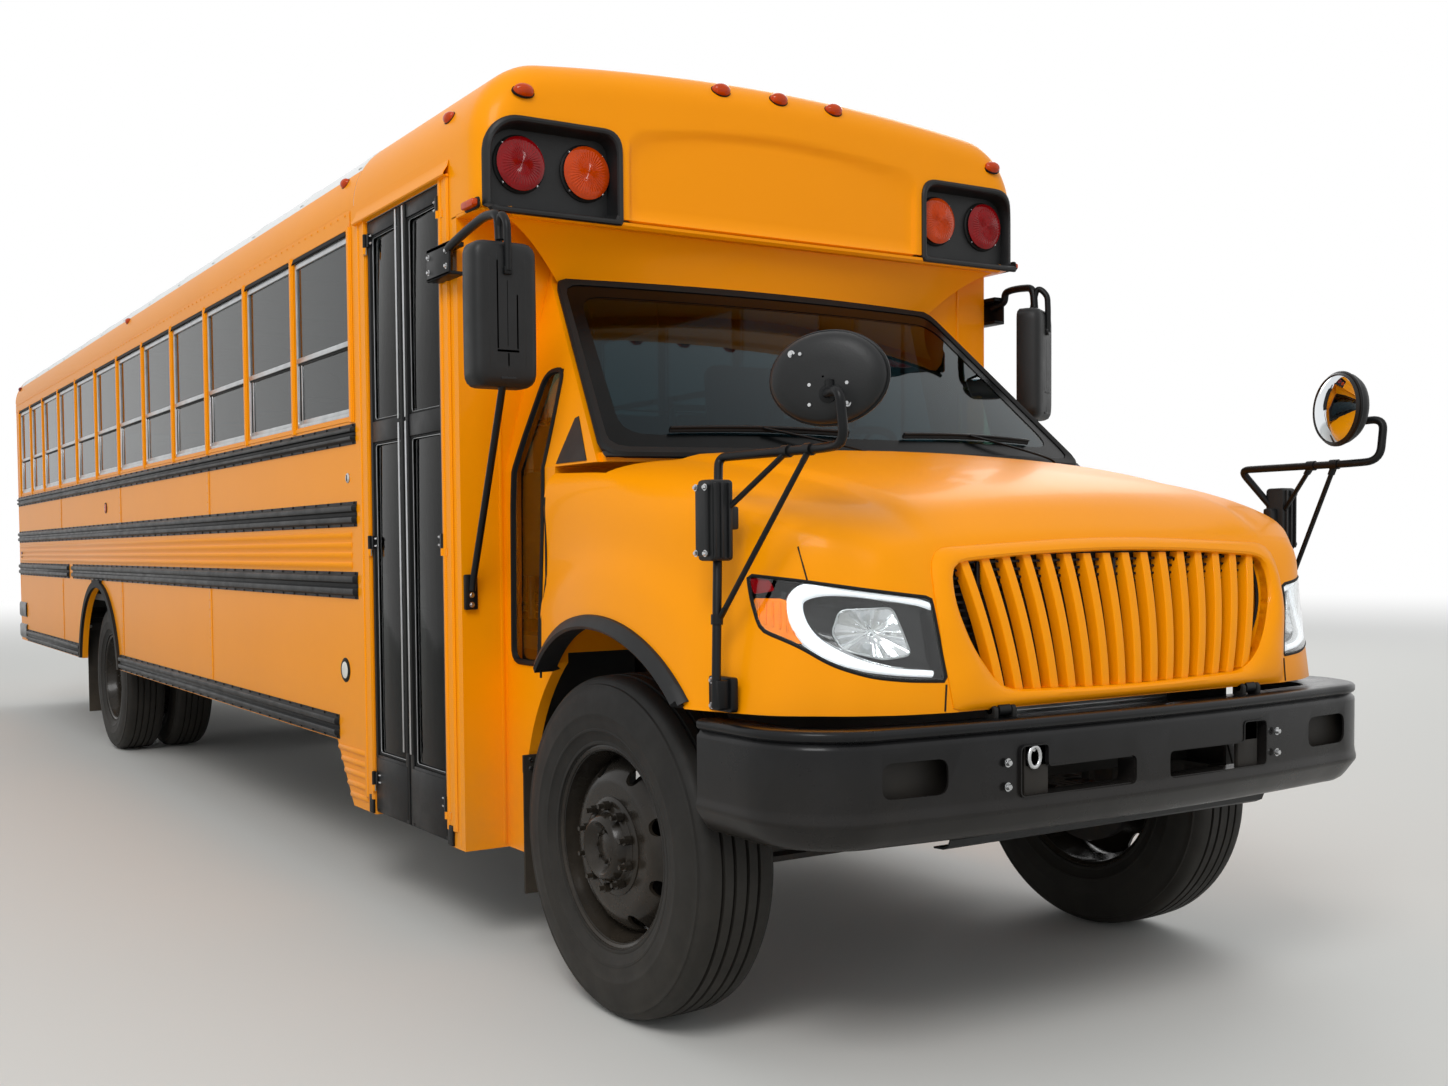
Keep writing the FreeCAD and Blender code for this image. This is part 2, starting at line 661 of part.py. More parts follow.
def hood_hinge_rods(radius, half):
    """Round bars on the bonnet's tilt axis, one at each hinge."""
    y, z = HOOD_PIVOT
    return [rod((x - half, y, z), (x + half, y, z), radius) for x in (-HINGE_X, HINGE_X)]


def screen_cuts():
    """Room for the windscreen foot and, between the side panels, for the cowl shelf."""
    y_side, y_mid = WS_LOW[2] - HOOD_GAP, WS_LOW[3] - HOOD_GAP
    above = COWL_TOP - 14

    def behind_arc(half, low_z, height):
        ends = [V(-half, y_side, low_z), V(half, y_side, low_z), V(half, 600, low_z), V(-half, 600, low_z)]
        edges = [Part.Arc(ends[0], V(0, y_mid, low_z), ends[1]).toShape(), Part.makeLine(ends[1], ends[2]),
                 Part.makeLine(ends[2], ends[3]), Part.makeLine(ends[3], ends[0])]
        return Part.Face(Part.Wire(edges)).extrude(V(0, 0, height))

    return [behind_arc(1200, above, 300), behind_arc(COWL_X + CLEAR, above - 250, 260)]


GRILLE_BARS = 16
BAR_W, BAR_D = 26, 20
GRILLE_Y = (-942, -886)       # bar faces at the opening's low and high edges


def grille_outline(inset):
    low_half, high_half, low_z, high_z = GRILLE
    return [(-low_half + inset, low_z), (low_half - inset, low_z), (high_half - inset, high_z),
            (-high_half + inset, high_z)]


def grille_bar(share):
    """Leaning bar at a share of the opening's half width, from -1 to 1."""
    low_half, high_half, low_z, high_z = GRILLE
    ends = []
    for half, z, y in ((low_half, low_z, GRILLE_Y[0]), (high_half, high_z, GRILLE_Y[1])):
        x = share * half
        ends.append(Part.makePolygon([V(x - BAR_W / 2, y, z), V(x + BAR_W / 2, y, z),
                                      V(x + BAR_W / 2, y + BAR_D, z), V(x - BAR_W / 2, y + BAR_D, z),
                                      V(x - BAR_W / 2, y, z)]))
    return Part.makeLoft(ends, True, True)


def grille():
    """Upright bars fanned across the opening, held by a rail above and below."""
    low_half, high_half, low_z, high_z = GRILLE
    bars = [grille_bar((2 * i + 1) / GRILLE_BARS - 1) for i in range(GRILLE_BARS)]
    rail_h = 25
    rails = [box(-low_half, low_half, GRILLE_Y[0] + BAR_D - 6, GRILLE_Y[0] + BAR_D + 8, low_z, low_z + rail_h),
             box(-high_half + 8, high_half - 8, GRILLE_Y[1] + BAR_D - 10, GRILLE_Y[1] + BAR_D + 4,
                 high_z - rail_h, high_z)]
    return fuse(bars + rails)


# ---------------------------------------------------------------- running gear

def tyre(side, x_mid, y):
    """Tyre with rounded shoulders about its bead seat."""
    w, r = TYRE_W / 2, TYRE_OD / 2
    bead = RIM_R + FIT
    pts = [(-w + 35, bead), (-w + 8, bead + 40), (-w, bead + 110), (-w + 8, r - 45), (-w + 30, r - 8),
           (-w + 60, r), (w - 60, r), (w - 30, r - 8), (w - 8, r - 45), (w, bead + 110), (w - 8, bead + 40),
           (w - 35, bead)]
    return turned(pts, side * x_mid, y, AXLE_Z)


RIM_HALF = 105


def rim(side, x_mid, y, dish, bore):
    """Rim ring and dished disc; dish is how far the disc's face stands outboard of the rim's middle."""
    def outboard(points):
        return turned([(side * u, r) for u, r in points], side * x_mid, y, AXLE_Z)
    ring = outboard([(-RIM_HALF, RIM_R), (-RIM_HALF, RIM_R - 14), (RIM_HALF, RIM_R - 14), (RIM_HALF, RIM_R)])
    root = 0.3 * dish
    half = DISC_T / 2
    disc = outboard([(root - half, RIM_R - 5), (root + half, RIM_R - 5), (dish + half, 190),
                     (dish + half, bore), (dish - half, bore), (dish - half, 180)])
    holes = []
    for i in range(HAND_HOLES):
        a = 2 * math.pi * (i + 0.5) / HAND_HOLES
        cy, cz = y + HAND_HOLE_AT * math.cos(a), AXLE_Z + HAND_HOLE_AT * math.sin(a)
        holes.append(rod((side * (x_mid - 200), cy, cz), (side * (x_mid + 200), cy, cz), 24))
    return fuse([ring, disc.cut(Part.makeCompound(holes))])


DISC_T = 14
HAND_HOLES = 8
HAND_HOLE_AT = 228
FRONT_DISH = 100
HUB_R = 120
SPINDLE_R = 34


def front_hub(side):
    """Hub with its cap, turning on the spindle."""
    bore = SPINDLE_R + FIT
    d0, d1 = FRONT_DISH - DISC_T / 2, FRONT_DISH + DISC_T / 2
    points = [(-60, bore), (-60, 95), (d0, 140), (d1, 140), (d1, HUB_R), (150, 95), (155, 80), (155, 0),
              (d1, 0), (d1, bore)]
    return turned([(side * u, r) for u, r in points], side * TYRE_X, 0, AXLE_Z)


def front_wheel(side):
    return fuse([rim(side, TYRE_X, 0, FRONT_DISH, 60), front_hub(side)])


def rear_wheels(side):
    """Twin rims, discs back to back, on one hub."""
    dish = (DUAL_PITCH - DISC_T) / 2
    outer = rim(side, TYRE_X, WHEELBASE, -dish, AXLE_TUBE_R + 15)
    inner = rim(side, TYRE_X - DUAL_PITCH, WHEELBASE, dish, AXLE_TUBE_R + 15)
    bore = AXLE_TUBE_R + FIT
    points = [(-190, 105), (-190, bore), (-53, bore), (-53, 0), (60, 0), (60, 85), (45, 100), (-90, 115),
              (-130, 135)]
    hub = turned([(side * u, r) for u, r in points], side * TYRE_X, WHEELBASE, AXLE_Z)
    return fuse([outer, inner, hub])


AXLE_TUBE_R = 60


def rear_axle():
    """Axle tube, differential casing and spring seats."""
    end = TYRE_X - 60
    casing = turned([(-end, 0), (-end, AXLE_TUBE_R), (-190, AXLE_TUBE_R), (-110, 175), (-40, 205), (40, 205),
                     (110, 175), (190, AXLE_TUBE_R), (end, AXLE_TUBE_R), (end, 0)], 0, WHEELBASE, AXLE_Z)
    nose = rod((0, WHEELBASE, AXLE_Z), nose_point(NOSE_L), 70)
    seats = [box(x - 50, x + 50, WHEELBASE - 90, WHEELBASE + 90, AXLE_Z, SPRING_Z) for x in (-RAIL_X, RAIL_X)]
    return fuse([casing, nose] + seats)


SPRING_Z = 600
SPRING_T = 60


def leaf_spring(y_mid, half, seat_z):
    """Stack of leaves with its two hangers under a frame rail."""
    x0, x1 = RAIL_X - 40, RAIL_X + 40
    main = box(x0, x1, y_mid - half, y_mid + half, seat_z, seat_z + 20)
    mid = box(x0, x1, y_mid - half * 0.7, y_mid + half * 0.7, seat_z + 20, seat_z + 40)
    top = box(x0, x1, y_mid - half * 0.4, y_mid + half * 0.4, seat_z + 40, seat_z + SPRING_T)
    ends = [box(x0 + 10, x1 - 10, y - 30, y + 30, seat_z, RAIL_LOW)
            for y in (y_mid - half + 30, y_mid + half - 30)]
    return fuse([main, mid, top] + ends)


def leaf_springs():
    return both(leaf_spring(0, 620, SPRING_Z)) + both(leaf_spring(WHEELBASE, 680, SPRING_Z))


AXLE_EYE_R = 42
PIN_R = 20
EYE_Z0, EYE_Z1 = 455, 565


def front_axle():
    """Dropped beam with a kingpin eye at each end and the spring seats."""
    beam = box(-640, 640, -50, 50, 400, 500)
    arms = []
    for s in (-1, 1):
        arms.append(prism_y([(s * 600, 400), (s * 600, 500), (s * (KINGPIN_X - 20), EYE_Z1 - 10),
                             (s * (KINGPIN_X - 20), EYE_Z0 + 5)], -40, 40))
        arms.append(rod((s * KINGPIN_X, 0, EYE_Z0), (s * KINGPIN_X, 0, EYE_Z1), AXLE_EYE_R))
        arms.append(box(s * RAIL_X - 50, s * RAIL_X + 50, -80, 80, 490, SPRING_Z))
    beam = fuse([beam] + arms)
    bores = [rod((s * KINGPIN_X, 0, 300), (s * KINGPIN_X, 0, 700), PIN_R + FIT) for s in (-1, 1)]
    return beam.cut(Part.makeCompound(bores))


ARM_Y = 190            # tie rod pivots behind the kingpins
ARM_Z = 430


def knuckle(side):
    """Yoke round the axle eye, spindle, kingpin and rear steering arm."""
    k = side * KINGPIN_X
    x_web = [side * (KINGPIN_X + 50), side * (KINGPIN_X + 85)]
    x_web.sort()
    web = box(x_web[0], x_web[1], -45, 45, 410, 610)
    yokes = []
    for z0, z1 in ((410, EYE_Z0 - 5), (EYE_Z1 + 5, 610)):
        yokes.append(rod((k, 0, z0), (k, 0, z1), 45))
        yokes.append(box(min(k, x_web[0]), max(k, x_web[1]), -45, 45, z0, z1))
    pin = rod((k, 0, 415), (k, 0, 605), PIN_R)
    spindle = rod((x_web[0] if side > 0 else x_web[1], 0, AXLE_Z),
                  (side * (TYRE_X + FRONT_DISH - 12), 0, AXLE_Z), SPINDLE_R)
    arm = box(k - 22, k + 22, 20, ARM_Y + 30, ARM_Z - 15, ARM_Z + 15)
    arm = arm.cut(rod((k, ARM_Y, ARM_Z - 30), (k, ARM_Y, ARM_Z + 30), 12 + FIT))
    return fuse([web, pin, spindle] + yokes + [arm])


def tie_rod():
    """Cross rod under the steering arms, with a ball stud up into each."""
    z = ARM_Z - 45
    bar = rod((-KINGPIN_X, ARM_Y, z), (KINGPIN_X, ARM_Y, z), 18)
    ends = [rod((s * KINGPIN_X, ARM_Y, z - 20), (s * KINGPIN_X, ARM_Y, z + 24), 26) for s in (-1, 1)]
    studs = [rod((s * KINGPIN_X, ARM_Y, z), (s * KINGPIN_X, ARM_Y, ARM_Z + 12), 12) for s in (-1, 1)]
    return fuse([bar] + ends + studs)


# ---------------------------------------------------------------- frame and drive line

SHAFT_MID_Y = WHEELBASE - 2690
CROSS_Y = (-760, 960, 2300, SHAFT_MID_Y, WHEELBASE - 950, WHEELBASE + 850, 9300, BODY_REAR - 100)
RAIL_Y0, RAIL_Y1 = -905, BODY_REAR


def frame_rails():
    """Two channels, open side inwards, and their cross members."""
    parts = []
    for s in (-1, 1):
        x_out, x_in = s * (RAIL_X + RAIL_W / 2), s * (RAIL_X - RAIL_W / 2)
        web = s * (RAIL_X + RAIL_W / 2 - RAIL_T)
        a, b = sorted((x_out, web))
        parts.append(box(a, b, RAIL_Y0, RAIL_Y1, RAIL_LOW, RAIL_HIGH))
        a, b = sorted((x_out, x_in))
        parts.append(box(a, b, RAIL_Y0, RAIL_Y1, RAIL_LOW, RAIL_LOW + RAIL_T))
        parts.append(box(a, b, RAIL_Y0, RAIL_Y1, RAIL_HIGH - RAIL_T, RAIL_HIGH))
    for y in CROSS_Y:
        parts.append(box(-RAIL_X, RAIL_X, y - 40, y + 40, RAIL_LOW + RAIL_T, RAIL_LOW + RAIL_T + 90))
    return fuse(parts)


GEARBOX_REAR, GEARBOX_Z = 900, 940
ENGINE_HALF, ENGINE_FRONT, ENGINE_REAR = 300, -650, 250
ENGINE_LOW, ENGINE_TOP = 840, 1420
GEARBOX_HALF, GEARBOX_TALL = 180, 190


def engine_block():
    """Engine and gearbox as one plain mass on its mounts."""
    block = box(-ENGINE_HALF, ENGINE_HALF, ENGINE_FRONT, ENGINE_REAR, ENGINE_LOW, ENGINE_TOP)
    low = GEARBOX_Z - 90
    gearbox = box(-GEARBOX_HALF, GEARBOX_HALF, ENGINE_REAR, GEARBOX_REAR, low, low + GEARBOX_TALL)
    return fuse([block, gearbox])


SHAFT_R = 45
SHAFT_MID_Z = 905
NOSE_L, NOSE_RISE = 330, 20      # the axle's nose: length forwards and rise
YOKE_L = 60


def nose_point(reach):
    """Point on the rear axle's nose line, a distance forwards from the axle's middle."""
    length = math.hypot(NOSE_L, NOSE_RISE)
    return (0, WHEELBASE - NOSE_L * reach / length, AXLE_Z + NOSE_RISE * reach / length)


def drive_shaft():
    """Two shafts from gearbox to axle, with a joint between them and a yoke on the axle's nose."""
    middle = (0, SHAFT_MID_Y, SHAFT_MID_Z)
    nose_end, yoke_end = nose_point(NOSE_L + FIT), nose_point(NOSE_L + YOKE_L)
    first = rod((0, GEARBOX_REAR + 0.5, GEARBOX_Z), middle, SHAFT_R)
    second = rod(middle, nose_point(NOSE_L + YOKE_L / 2), SHAFT_R)
    yoke = rod(nose_end, yoke_end, SHAFT_R + 15)
    return fuse([first, Part.makeSphere(SHAFT_R + 15, V(*middle)), second, yoke])


TANK_OUT_X = 1120
TANK_Y, TANK_Z, TANK_ROUND = (3300, 4700), (480, 880), 60
BATTERY_Y, BATTERY_Z = (2250, 2950), (640, 980)


def fuel_tank():
    """Tank slung outside the left rail."""
    tank = box(RAIL_X + RAIL_W / 2, TANK_OUT_X, *TANK_Y, *TANK_Z)
    long_edge = (TANK_Y[1] - TANK_Y[0]) / 2
    return tank.makeFillet(TANK_ROUND, [e for e in tank.Edges if e.BoundBox.YLength > long_edge])


def battery_box():
    return box(RAIL_X + RAIL_W / 2, HALF_W - WALL, *BATTERY_Y, *BATTERY_Z)


EXHAUST_X = -RAIL_X - 180
EXHAUST_Z = 630
TAIL_Z = 560
PIPE_R = 45
DRUM_Y, DRUM_R = (2600, 3900), 110
LEAD_X, OVER_AXLE_X = -150, -300
HANGER_Z = 790


def exhaust():
    """Silencer beside the right rail, fed from the engine, with its tail pipe over the rear axle."""
    x, z = EXHAUST_X, EXHAUST_Z
    drum = rod((x, DRUM_Y[0], z), (x, DRUM_Y[1], z), DRUM_R)
    lead = pipe_run([(x, DRUM_Y[0], z), (x, 2150, z), (LEAD_X, 1700, z), (LEAD_X, 850, 660),
                     (LEAD_X, 850, GEARBOX_Z - 90 - FIT)], PIPE_R)
    axle_z = RAIL_LOW - PIPE_R
    front_turn, rear_turn = WHEELBASE - 850, WHEELBASE + 850
    tail = pipe_run([(x, DRUM_Y[1], z), (x, front_turn - 400, z), (OVER_AXLE_X, front_turn, axle_z),
                     (OVER_AXLE_X, rear_turn, axle_z), (x, rear_turn + 400, TAIL_Z), (x, BODY_REAR + 30, TAIL_Z)],
                    PIPE_R)
    hangers = []
    places = ((DRUM_Y[0] + 100, z), (DRUM_Y[1] - 200, z), (WHEELBASE - 1550, z), (WHEELBASE + 1550, TAIL_Z),
              (BODY_REAR - 200, TAIL_Z))
    for y, low in places:
        hangers.append(box(x - 15, x + 15, y, y + 40, low, HANGER_Z))
        hangers.append(box(x - 15, -RAIL_X - RAIL_W / 2, y, y + 40, HANGER_Z - 25, HANGER_Z))
    return fuse([drum, lead, tail] + hangers)


# ---------------------------------------------------------------- bumpers

def bumper_outline(inset):
    """Plan of the front bumper's outer face, inset inwards; list of edges open at the rear."""
    w = BUMPER_HALF - inset
    y_end, y_side = -520, -740
    y_mid, y_in = BUMPER_Y + inset, -985 + inset
    x_in = 900 - inset * 0.5
    corner = V(w - 72, (y_side + y_in) / 2 - 46 + inset * 0.4, 0)
    right = [V(w, y_end, 0), V(w, y_side, 0), corner, V(x_in, y_in, 0), V(0, y_mid, 0)]
    left = [V(-p.x, p.y, 0) for p in right]
    edges = [
        Part.makeLine(right[0], right[1]),
        Part.Arc(right[1], right[2], right[3]).toShape(),
        Part.Arc(right[3], right[4], left[3]).toShape(),
        Part.Arc(left[3], left[2], left[1]).toShape(),
        Part.makeLine(left[1], left[0]),
        Part.makeLine(left[0], right[0]),
    ]
    return Part.Face(Part.Wire(edges))


BUMPER_T = 30


def front_bumper():
    """Wrap-round channel with tow slots and end holes, on two frame brackets."""
    depth = BUMPER_Z1 - BUMPER_Z0
    outer = bumper_outline(0).extrude(V(0, 0, depth))
    inner = bumper_outline(BUMPER_T).extrude(V(0, 0, depth - 2 * BUMPER_T))
    inner.translate(V(0, 0, BUMPER_T))
    back_x = BUMPER_HALF - 90
    back = prism_z([(-back_x, -500), (-back_x, -780), (190 - back_x, -925), (back_x - 190, -925), (back_x, -780),
                    (back_x, -500)], -1, depth + 1)
    open_ends = box(-HALF_W, HALF_W, -700, -500, -1, depth + 1).cut(
        Part.makeCompound(both(box(BUMPER_HALF - BUMPER_T, HALF_W + 2, -701, -499, -2, depth + 2))))
    shell = outer.cut(Part.makeCompound([inner, back, open_ends]))
    shell.translate(V(0, 0, BUMPER_Z0))
    slots = both(box(75, 480, -1100, -960, 725, 800)) + both(box(735, 880, -1100, -900, 775, 845))
    shell = shell.cut(Part.makeCompound(slots))
    brackets = [box(s * RAIL_X - 45, s * RAIL_X + 45, -1010, RAIL_Y0, 815, 900) for s in (-1, 1)]
    return fuse([shell] + brackets + hood_hinges())


def rear_bumper():
    """Deep channel across the tail, with returns along the sides."""
    z0, z1 = SKIRT_Z + 10, 960
    face = box(-HALF_W, HALF_W, REAR_BUMPER_Y - 12, REAR_BUMPER_Y, z0, z1)
    top = box(-HALF_W, HALF_W, BODY_REAR, REAR_BUMPER_Y, z1 - 12, z1)
    low = box(-HALF_W, HALF_W, BODY_REAR, REAR_BUMPER_Y, z0, z0 + 12)
    sides = both(box(HALF_W, HALF_W + 12, BODY_REAR - 330, REAR_BUMPER_Y, z0, z1))
    brackets = [box(s * RAIL_X - 40, s * RAIL_X + 40, RAIL_Y1, REAR_BUMPER_Y - 12, 780, 900) for s in (-1, 1)]
    return fuse([face, top, low] + sides + brackets)


def hood_hinges():
    """Two lugs and a pin at each bonnet hinge, standing on the bumper's top flange."""
    y, z = HOOD_PIVOT
    pieces = hood_hinge_rods(HINGE_PIN_R, HINGE_HALF + HINGE_LUG_T)
    for x in (-HINGE_X, HINGE_X):
        for side in (-1, 1):
            near, far = sorted((x + side * HINGE_HALF, x + side * (HINGE_HALF + HINGE_LUG_T)))
            pieces.append(rod((near, y, z), (far, y, z), HINGE_LUG_R))
            pieces.append(box(near, far, y - HINGE_LUG_R, y + HINGE_LUG_R, BUMPER_Z1 - 5, z))
    return pieces


# ---------------------------------------------------------------- inside

SEAT_W = 960
SEAT_X0 = 200
SEAT_PITCH = BAY
SEAT_ROWS = 11
FIRST_SEAT_Y = 2150
SEAT_LOW, CUSHION_Z, BACK_Z = 330, 440, 1000     # heights over the floor
SEAT_REACH, BACK_LEAN, BACK_T = 470, 50, 80
LEG_IN, LEG_T = 40, 25


def bench(y, side):
    """Bench seat: cushion and tall back in one outline, on two leg frames."""
    z = FLOOR_TOP
    low, back_foot, back_head = z + SEAT_LOW, y + SEAT_REACH, y + SEAT_REACH + BACK_LEAN
    outline = [(y, low), (back_foot - 70, low - 20), (back_foot, low - 20), (back_head, z + BACK_Z),
               (back_head - BACK_T, z + BACK_Z), (back_foot - BACK_T - 5, z + CUSHION_Z), (y, z + CUSHION_Z)]
    x0, x1 = SEAT_X0, SEAT_X0 + SEAT_W
    seat = prism_x(outline, x0, x1)
    legs = [prism_x([(y + 60, z), (y + 440, z), (y + 440, low - 5), (y + 60, low)], x, x + LEG_T)
            for x in (x0 + LEG_IN, x1 - LEG_IN - LEG_T)]
    shape = fuse([seat] + legs)
    return shape if side > 0 else mirror(shape)


def seats(side):
    return [bench(FIRST_SEAT_Y + SEAT_PITCH * i, side) for i in range(SEAT_ROWS)]


DRIVER_X, DRIVER_Y = 620, 1180
DRIVER_HALF = 250


def driver_seat():
    z = FLOOR_TOP
    y = DRIVER_Y
    outline = [(y, z + 370), (y + 480, z + 350), (y + 580, z + 1150), (y + 480, z + 1150), (y + 400, z + 480),
               (y, z + 490)]
    seat = prism_x(outline, DRIVER_X - DRIVER_HALF, DRIVER_X + DRIVER_HALF)
    base = box(DRIVER_X - 180, DRIVER_X + 180, y + 60, y + 400, z, z + 380)
    return fuse([seat, base])


def dashboard():
    """Padded panel behind the windscreen, from the shelf down."""
    outline = [(470, 1655), (780, 1655), (860, 1560), (860, 1350), (800, 1300), (470, 1300)]
    return prism_x(outline, -COWL_X + WALL + 20, COWL_X - WALL - 20)


WHEEL_TILT = 30
WHEEL_R = 225
WHEEL_POS = (DRIVER_X, 1010, 1740)


def steering_axis():
    a = math.radians(WHEEL_TILT)
    return V(0, math.sin(a), math.cos(a))


def steering_wheel():
    """Rim, three spokes and boss, on the column's axis."""
    c = V(*WHEEL_POS)
    axis = steering_axis()
    rim_ring = Part.makeTorus(WHEEL_R, 16, c, axis)
    boss = Part.makeCylinder(50, 45, c - axis * 40, axis)
    flat = V(0, 0, 1) - axis * axis.z
    flat.normalize()
    cross = axis.cross(flat)
    spokes = []
    for angle in (90, 210, 330):
        a = math.radians(angle)
        d = flat * math.cos(a) + cross * math.sin(a)
        spokes.append(Part.makeCylinder(11, WHEEL_R, c - axis * 15, d))
    return fuse([rim_ring, boss] + spokes)


def steering_column():
    c = V(*WHEEL_POS)
    axis = steering_axis()
    start = c - axis * 40.3
    return Part.makeCylinder(32, 330, start, axis * -1).cut(dashboard())


# ---------------------------------------------------------------- lamps, mirrors, arms

WARN_BOX = (640, 1190, 2530, 2820)   # inner x, outer x, low z, high z


def warning_boxes():
    """Black housings of the warning lamps, front and rear."""
    x0, x1, z0, z1 = WARN_BOX
    front = box(x0, x1, CAP_FRONT - 12, CAP_FRONT + ROOF_T - FIT, z0, z1)
    cap = roof_block(0, CAP_LIP_Z - 20, CAP_FRONT - 30, CAP_FRONT + 60)
    front = front.common(cap)
    return both(front)


def rear_lamps():
    """Warning lamp pair and tail lamp cluster each side of the tail."""
    pieces = []
    for x, z, r in ((1040, 2690, 95), (800, 2690, 95), (1040, 1500, 95), (1040, 1270, 65)):
        pieces += both(rod((x, BODY_REAR, z), (x, BODY_REAR + 35, z), r))
    return pieces


HEAD_W, HEAD_D, HEAD_Z0, HEAD_Z1 = 240, 90, 1890, 2350
POLE_X = -HALF_W - 51
CURB_HEAD = (375, 0)      # station of the head and its turn towards the driver in degrees
STREET_HEAD = (570, 28)
BEAM_FRONT, BEAM_Z0, BEAM_Z1 = 740, 2310, 2420
STRUT_FOOT_Z = 1250


def flat_mirror(head_y, turn):
    """One rear view mirror on its beam and strut, as on the curb side."""
    head = box(POLE_X - HEAD_W / 2, POLE_X + HEAD_W / 2, head_y - HEAD_D / 2, head_y + HEAD_D / 2, HEAD_Z0, HEAD_Z1)
    head = head.makeFillet(35, [e for e in head.Edges if e.BoundBox.ZLength > 300])
    head.rotate(V(POLE_X, head_y, 0), V(0, 0, 1), -turn)
    beam = box(POLE_X - 5, -HALF_W, BEAM_FRONT, BODY_FRONT + 85, BEAM_Z0, BEAM_Z1)
    bend_z = BEAM_Z1 + 20
    arm = pipe_run([(POLE_X + 15, BEAM_FRONT + 20, BEAM_Z1 - 40), (POLE_X, head_y + 125, bend_z),
                    (POLE_X, head_y + 50, bend_z), (POLE_X, head_y, HEAD_Z1 - 10)], 16)
    strut_x = -HALF_W + 29
    strut = pipe_run([(POLE_X, head_y, HEAD_Z0 + 10), (strut_x, 700, 1420), (strut_x, 785, STRUT_FOOT_Z + 10)], 13)
    foot = box(strut_x - 25, strut_x + 25, 780, PILLAR_Y, STRUT_FOOT_Z - 60, STRUT_FOOT_Z + 60)
    return fuse([head, beam, arm, strut, foot])


def flat_mirrors():
    return [flat_mirror(*CURB_HEAD), mirror(flat_mirror(*STREET_HEAD))]


MIRROR_RX, MIRROR_RZ, MIRROR_D = 165, 130, 55


def oval_mirror(centre):
    """Flat-backed oval mirror head facing the wheel, turned a little inwards."""
    oval = Part.Ellipse(V(0, 0, 0), MIRROR_RX, MIRROR_RZ).toShape()
    head = Part.Face(Part.Wire([oval])).extrude(V(0, 0, MIRROR_D))
    head.rotate(V(0, 0, 0), V(1, 0, 0), 90)
    head.rotate(V(0, 0, 0), V(0, 0, 1), -18)
    head.translate(centre)
    return head


def cross_mirror():
    """Convex mirror on its bent arm, with the brackets on the wing."""
    x = -1165
    foot = box(x - 28, x + 90, -640, -560, 975, 1055)
    arm = pipe_run([(x - 15, -640, 985), (x - 15, -655, 1650), (-1110, -700, 1680), (-960, -860, 1690),
                    (-990, -905, 1720), (-1040, -915, 1800)], 15)
    braces = fuse([rod((x - 12, -645, 1290), (-980, -845, 1690), 9),
                   rod((x - 5, -600, 1060), (-960, -855, 1685), 9)])
    disc = oval_mirror(V(-1045, -905, 1815))
    box_piece = box(x - 40, x + 22, -640, -575, 1400, 1590)
    return fuse([foot, arm, braces, disc, box_piece]).cut(hood_skin())


def stop_arm():
    """Octagonal blade folded back along the left side, on its hinge post."""
    x0 = STOP_HINGE[0] - 10
    cy, cz, r = STOP_HINGE[1] + 330, 1500, 245
    pts = []
    for i in range(8):
        a = math.radians(22.5 + 45 * i)
        pts.append((cy + r * math.cos(a), cz + r * math.sin(a)))
    blade = prism_x(pts, x0, x0 + 20)
    arm = box(x0, x0 + 20, STOP_HINGE[1], cy, cz - 60, cz + 60)
    post = rod((STOP_HINGE[0], STOP_HINGE[1], cz - 90), (STOP_HINGE[0], STOP_HINGE[1], cz + 90), 18)
    body = fuse([blade, arm, post])
    return body.cut(rod((STOP_HINGE[0], STOP_HINGE[1], cz - 100), (STOP_HINGE[0], STOP_HINGE[1], cz + 100), 8 + FIT))


STOP_HINGE = (HALF_W + 78, 1850)


def stop_base():
    """Motor box and hinge pin of the stop arm."""
    y = STOP_HINGE[1]
    x0 = HALF_W + RAIL_OUT
    base = box(x0, x0 + 25, y - 40, y + 120, 1390, 1610)
    ears = [box(x0, STOP_HINGE[0] + 15, y - 20, y + 20, z0, z1) for z0, z1 in ((1390, 1405), (1595, 1610))]
    pin = rod((STOP_HINGE[0], y, 1391), (STOP_HINGE[0], y, 1609), 8)
    return fuse([base, pin] + ears)


FLAP_Y = 636
FLAP_T = 8
FLAP_W = 200
FLAP_LOW = 230


def mud_flaps():
    """Rubber flaps behind the front and rear wheels, each hung from a bar on the frame."""
    y1 = FLAP_Y + FLAP_T
    rail_face = RAIL_X + RAIL_W / 2
    arch_top = AXLE_Z + math.sqrt((ARCH_R + 10) ** 2 - FLAP_Y ** 2)
    inner = COWL_X - FLAP_W
    front = box(inner, COWL_X + 25, FLAP_Y, y1, FLAP_LOW, arch_top - 36)
    upper = box(inner, COWL_X - WALL - 5, FLAP_Y, y1, arch_top - 46, 765)
    bar = box(rail_face, COWL_X - WALL - 5, y1, y1 + 12, 735, 765)
    rear_y = WHEELBASE + 720
    rear = box(560, 1160, rear_y, rear_y + FLAP_T, 200, 900)
    rear_bar = box(rail_face, 1160, rear_y + FLAP_T, rear_y + FLAP_T + 15, 860, 900)
    return both(fuse([front, upper, bar])) + both(fuse([rear, rear_bar]))


def headlamps():
    """Lamp bodies set into the front corners of the bonnet."""
    inner_x, outer_x, z0, z1 = LAMP
    row = HOOD_SECTIONS
    outer = Part.makeLoft([hood_wire((r[0] - 4, r[1] + 6, r[2] + 6, r[3], r[4]), 0) for r in row], True, True)
    skin = Part.makeLoft([hood_wire(r, 0) for r in row], True, True)
    shell = outer.cut(skin)
    window = box(inner_x, outer_x + 80, -1000, -655, z0, z1)
    lamp = shell.common(window)
    return both(lamp.Solids[0])


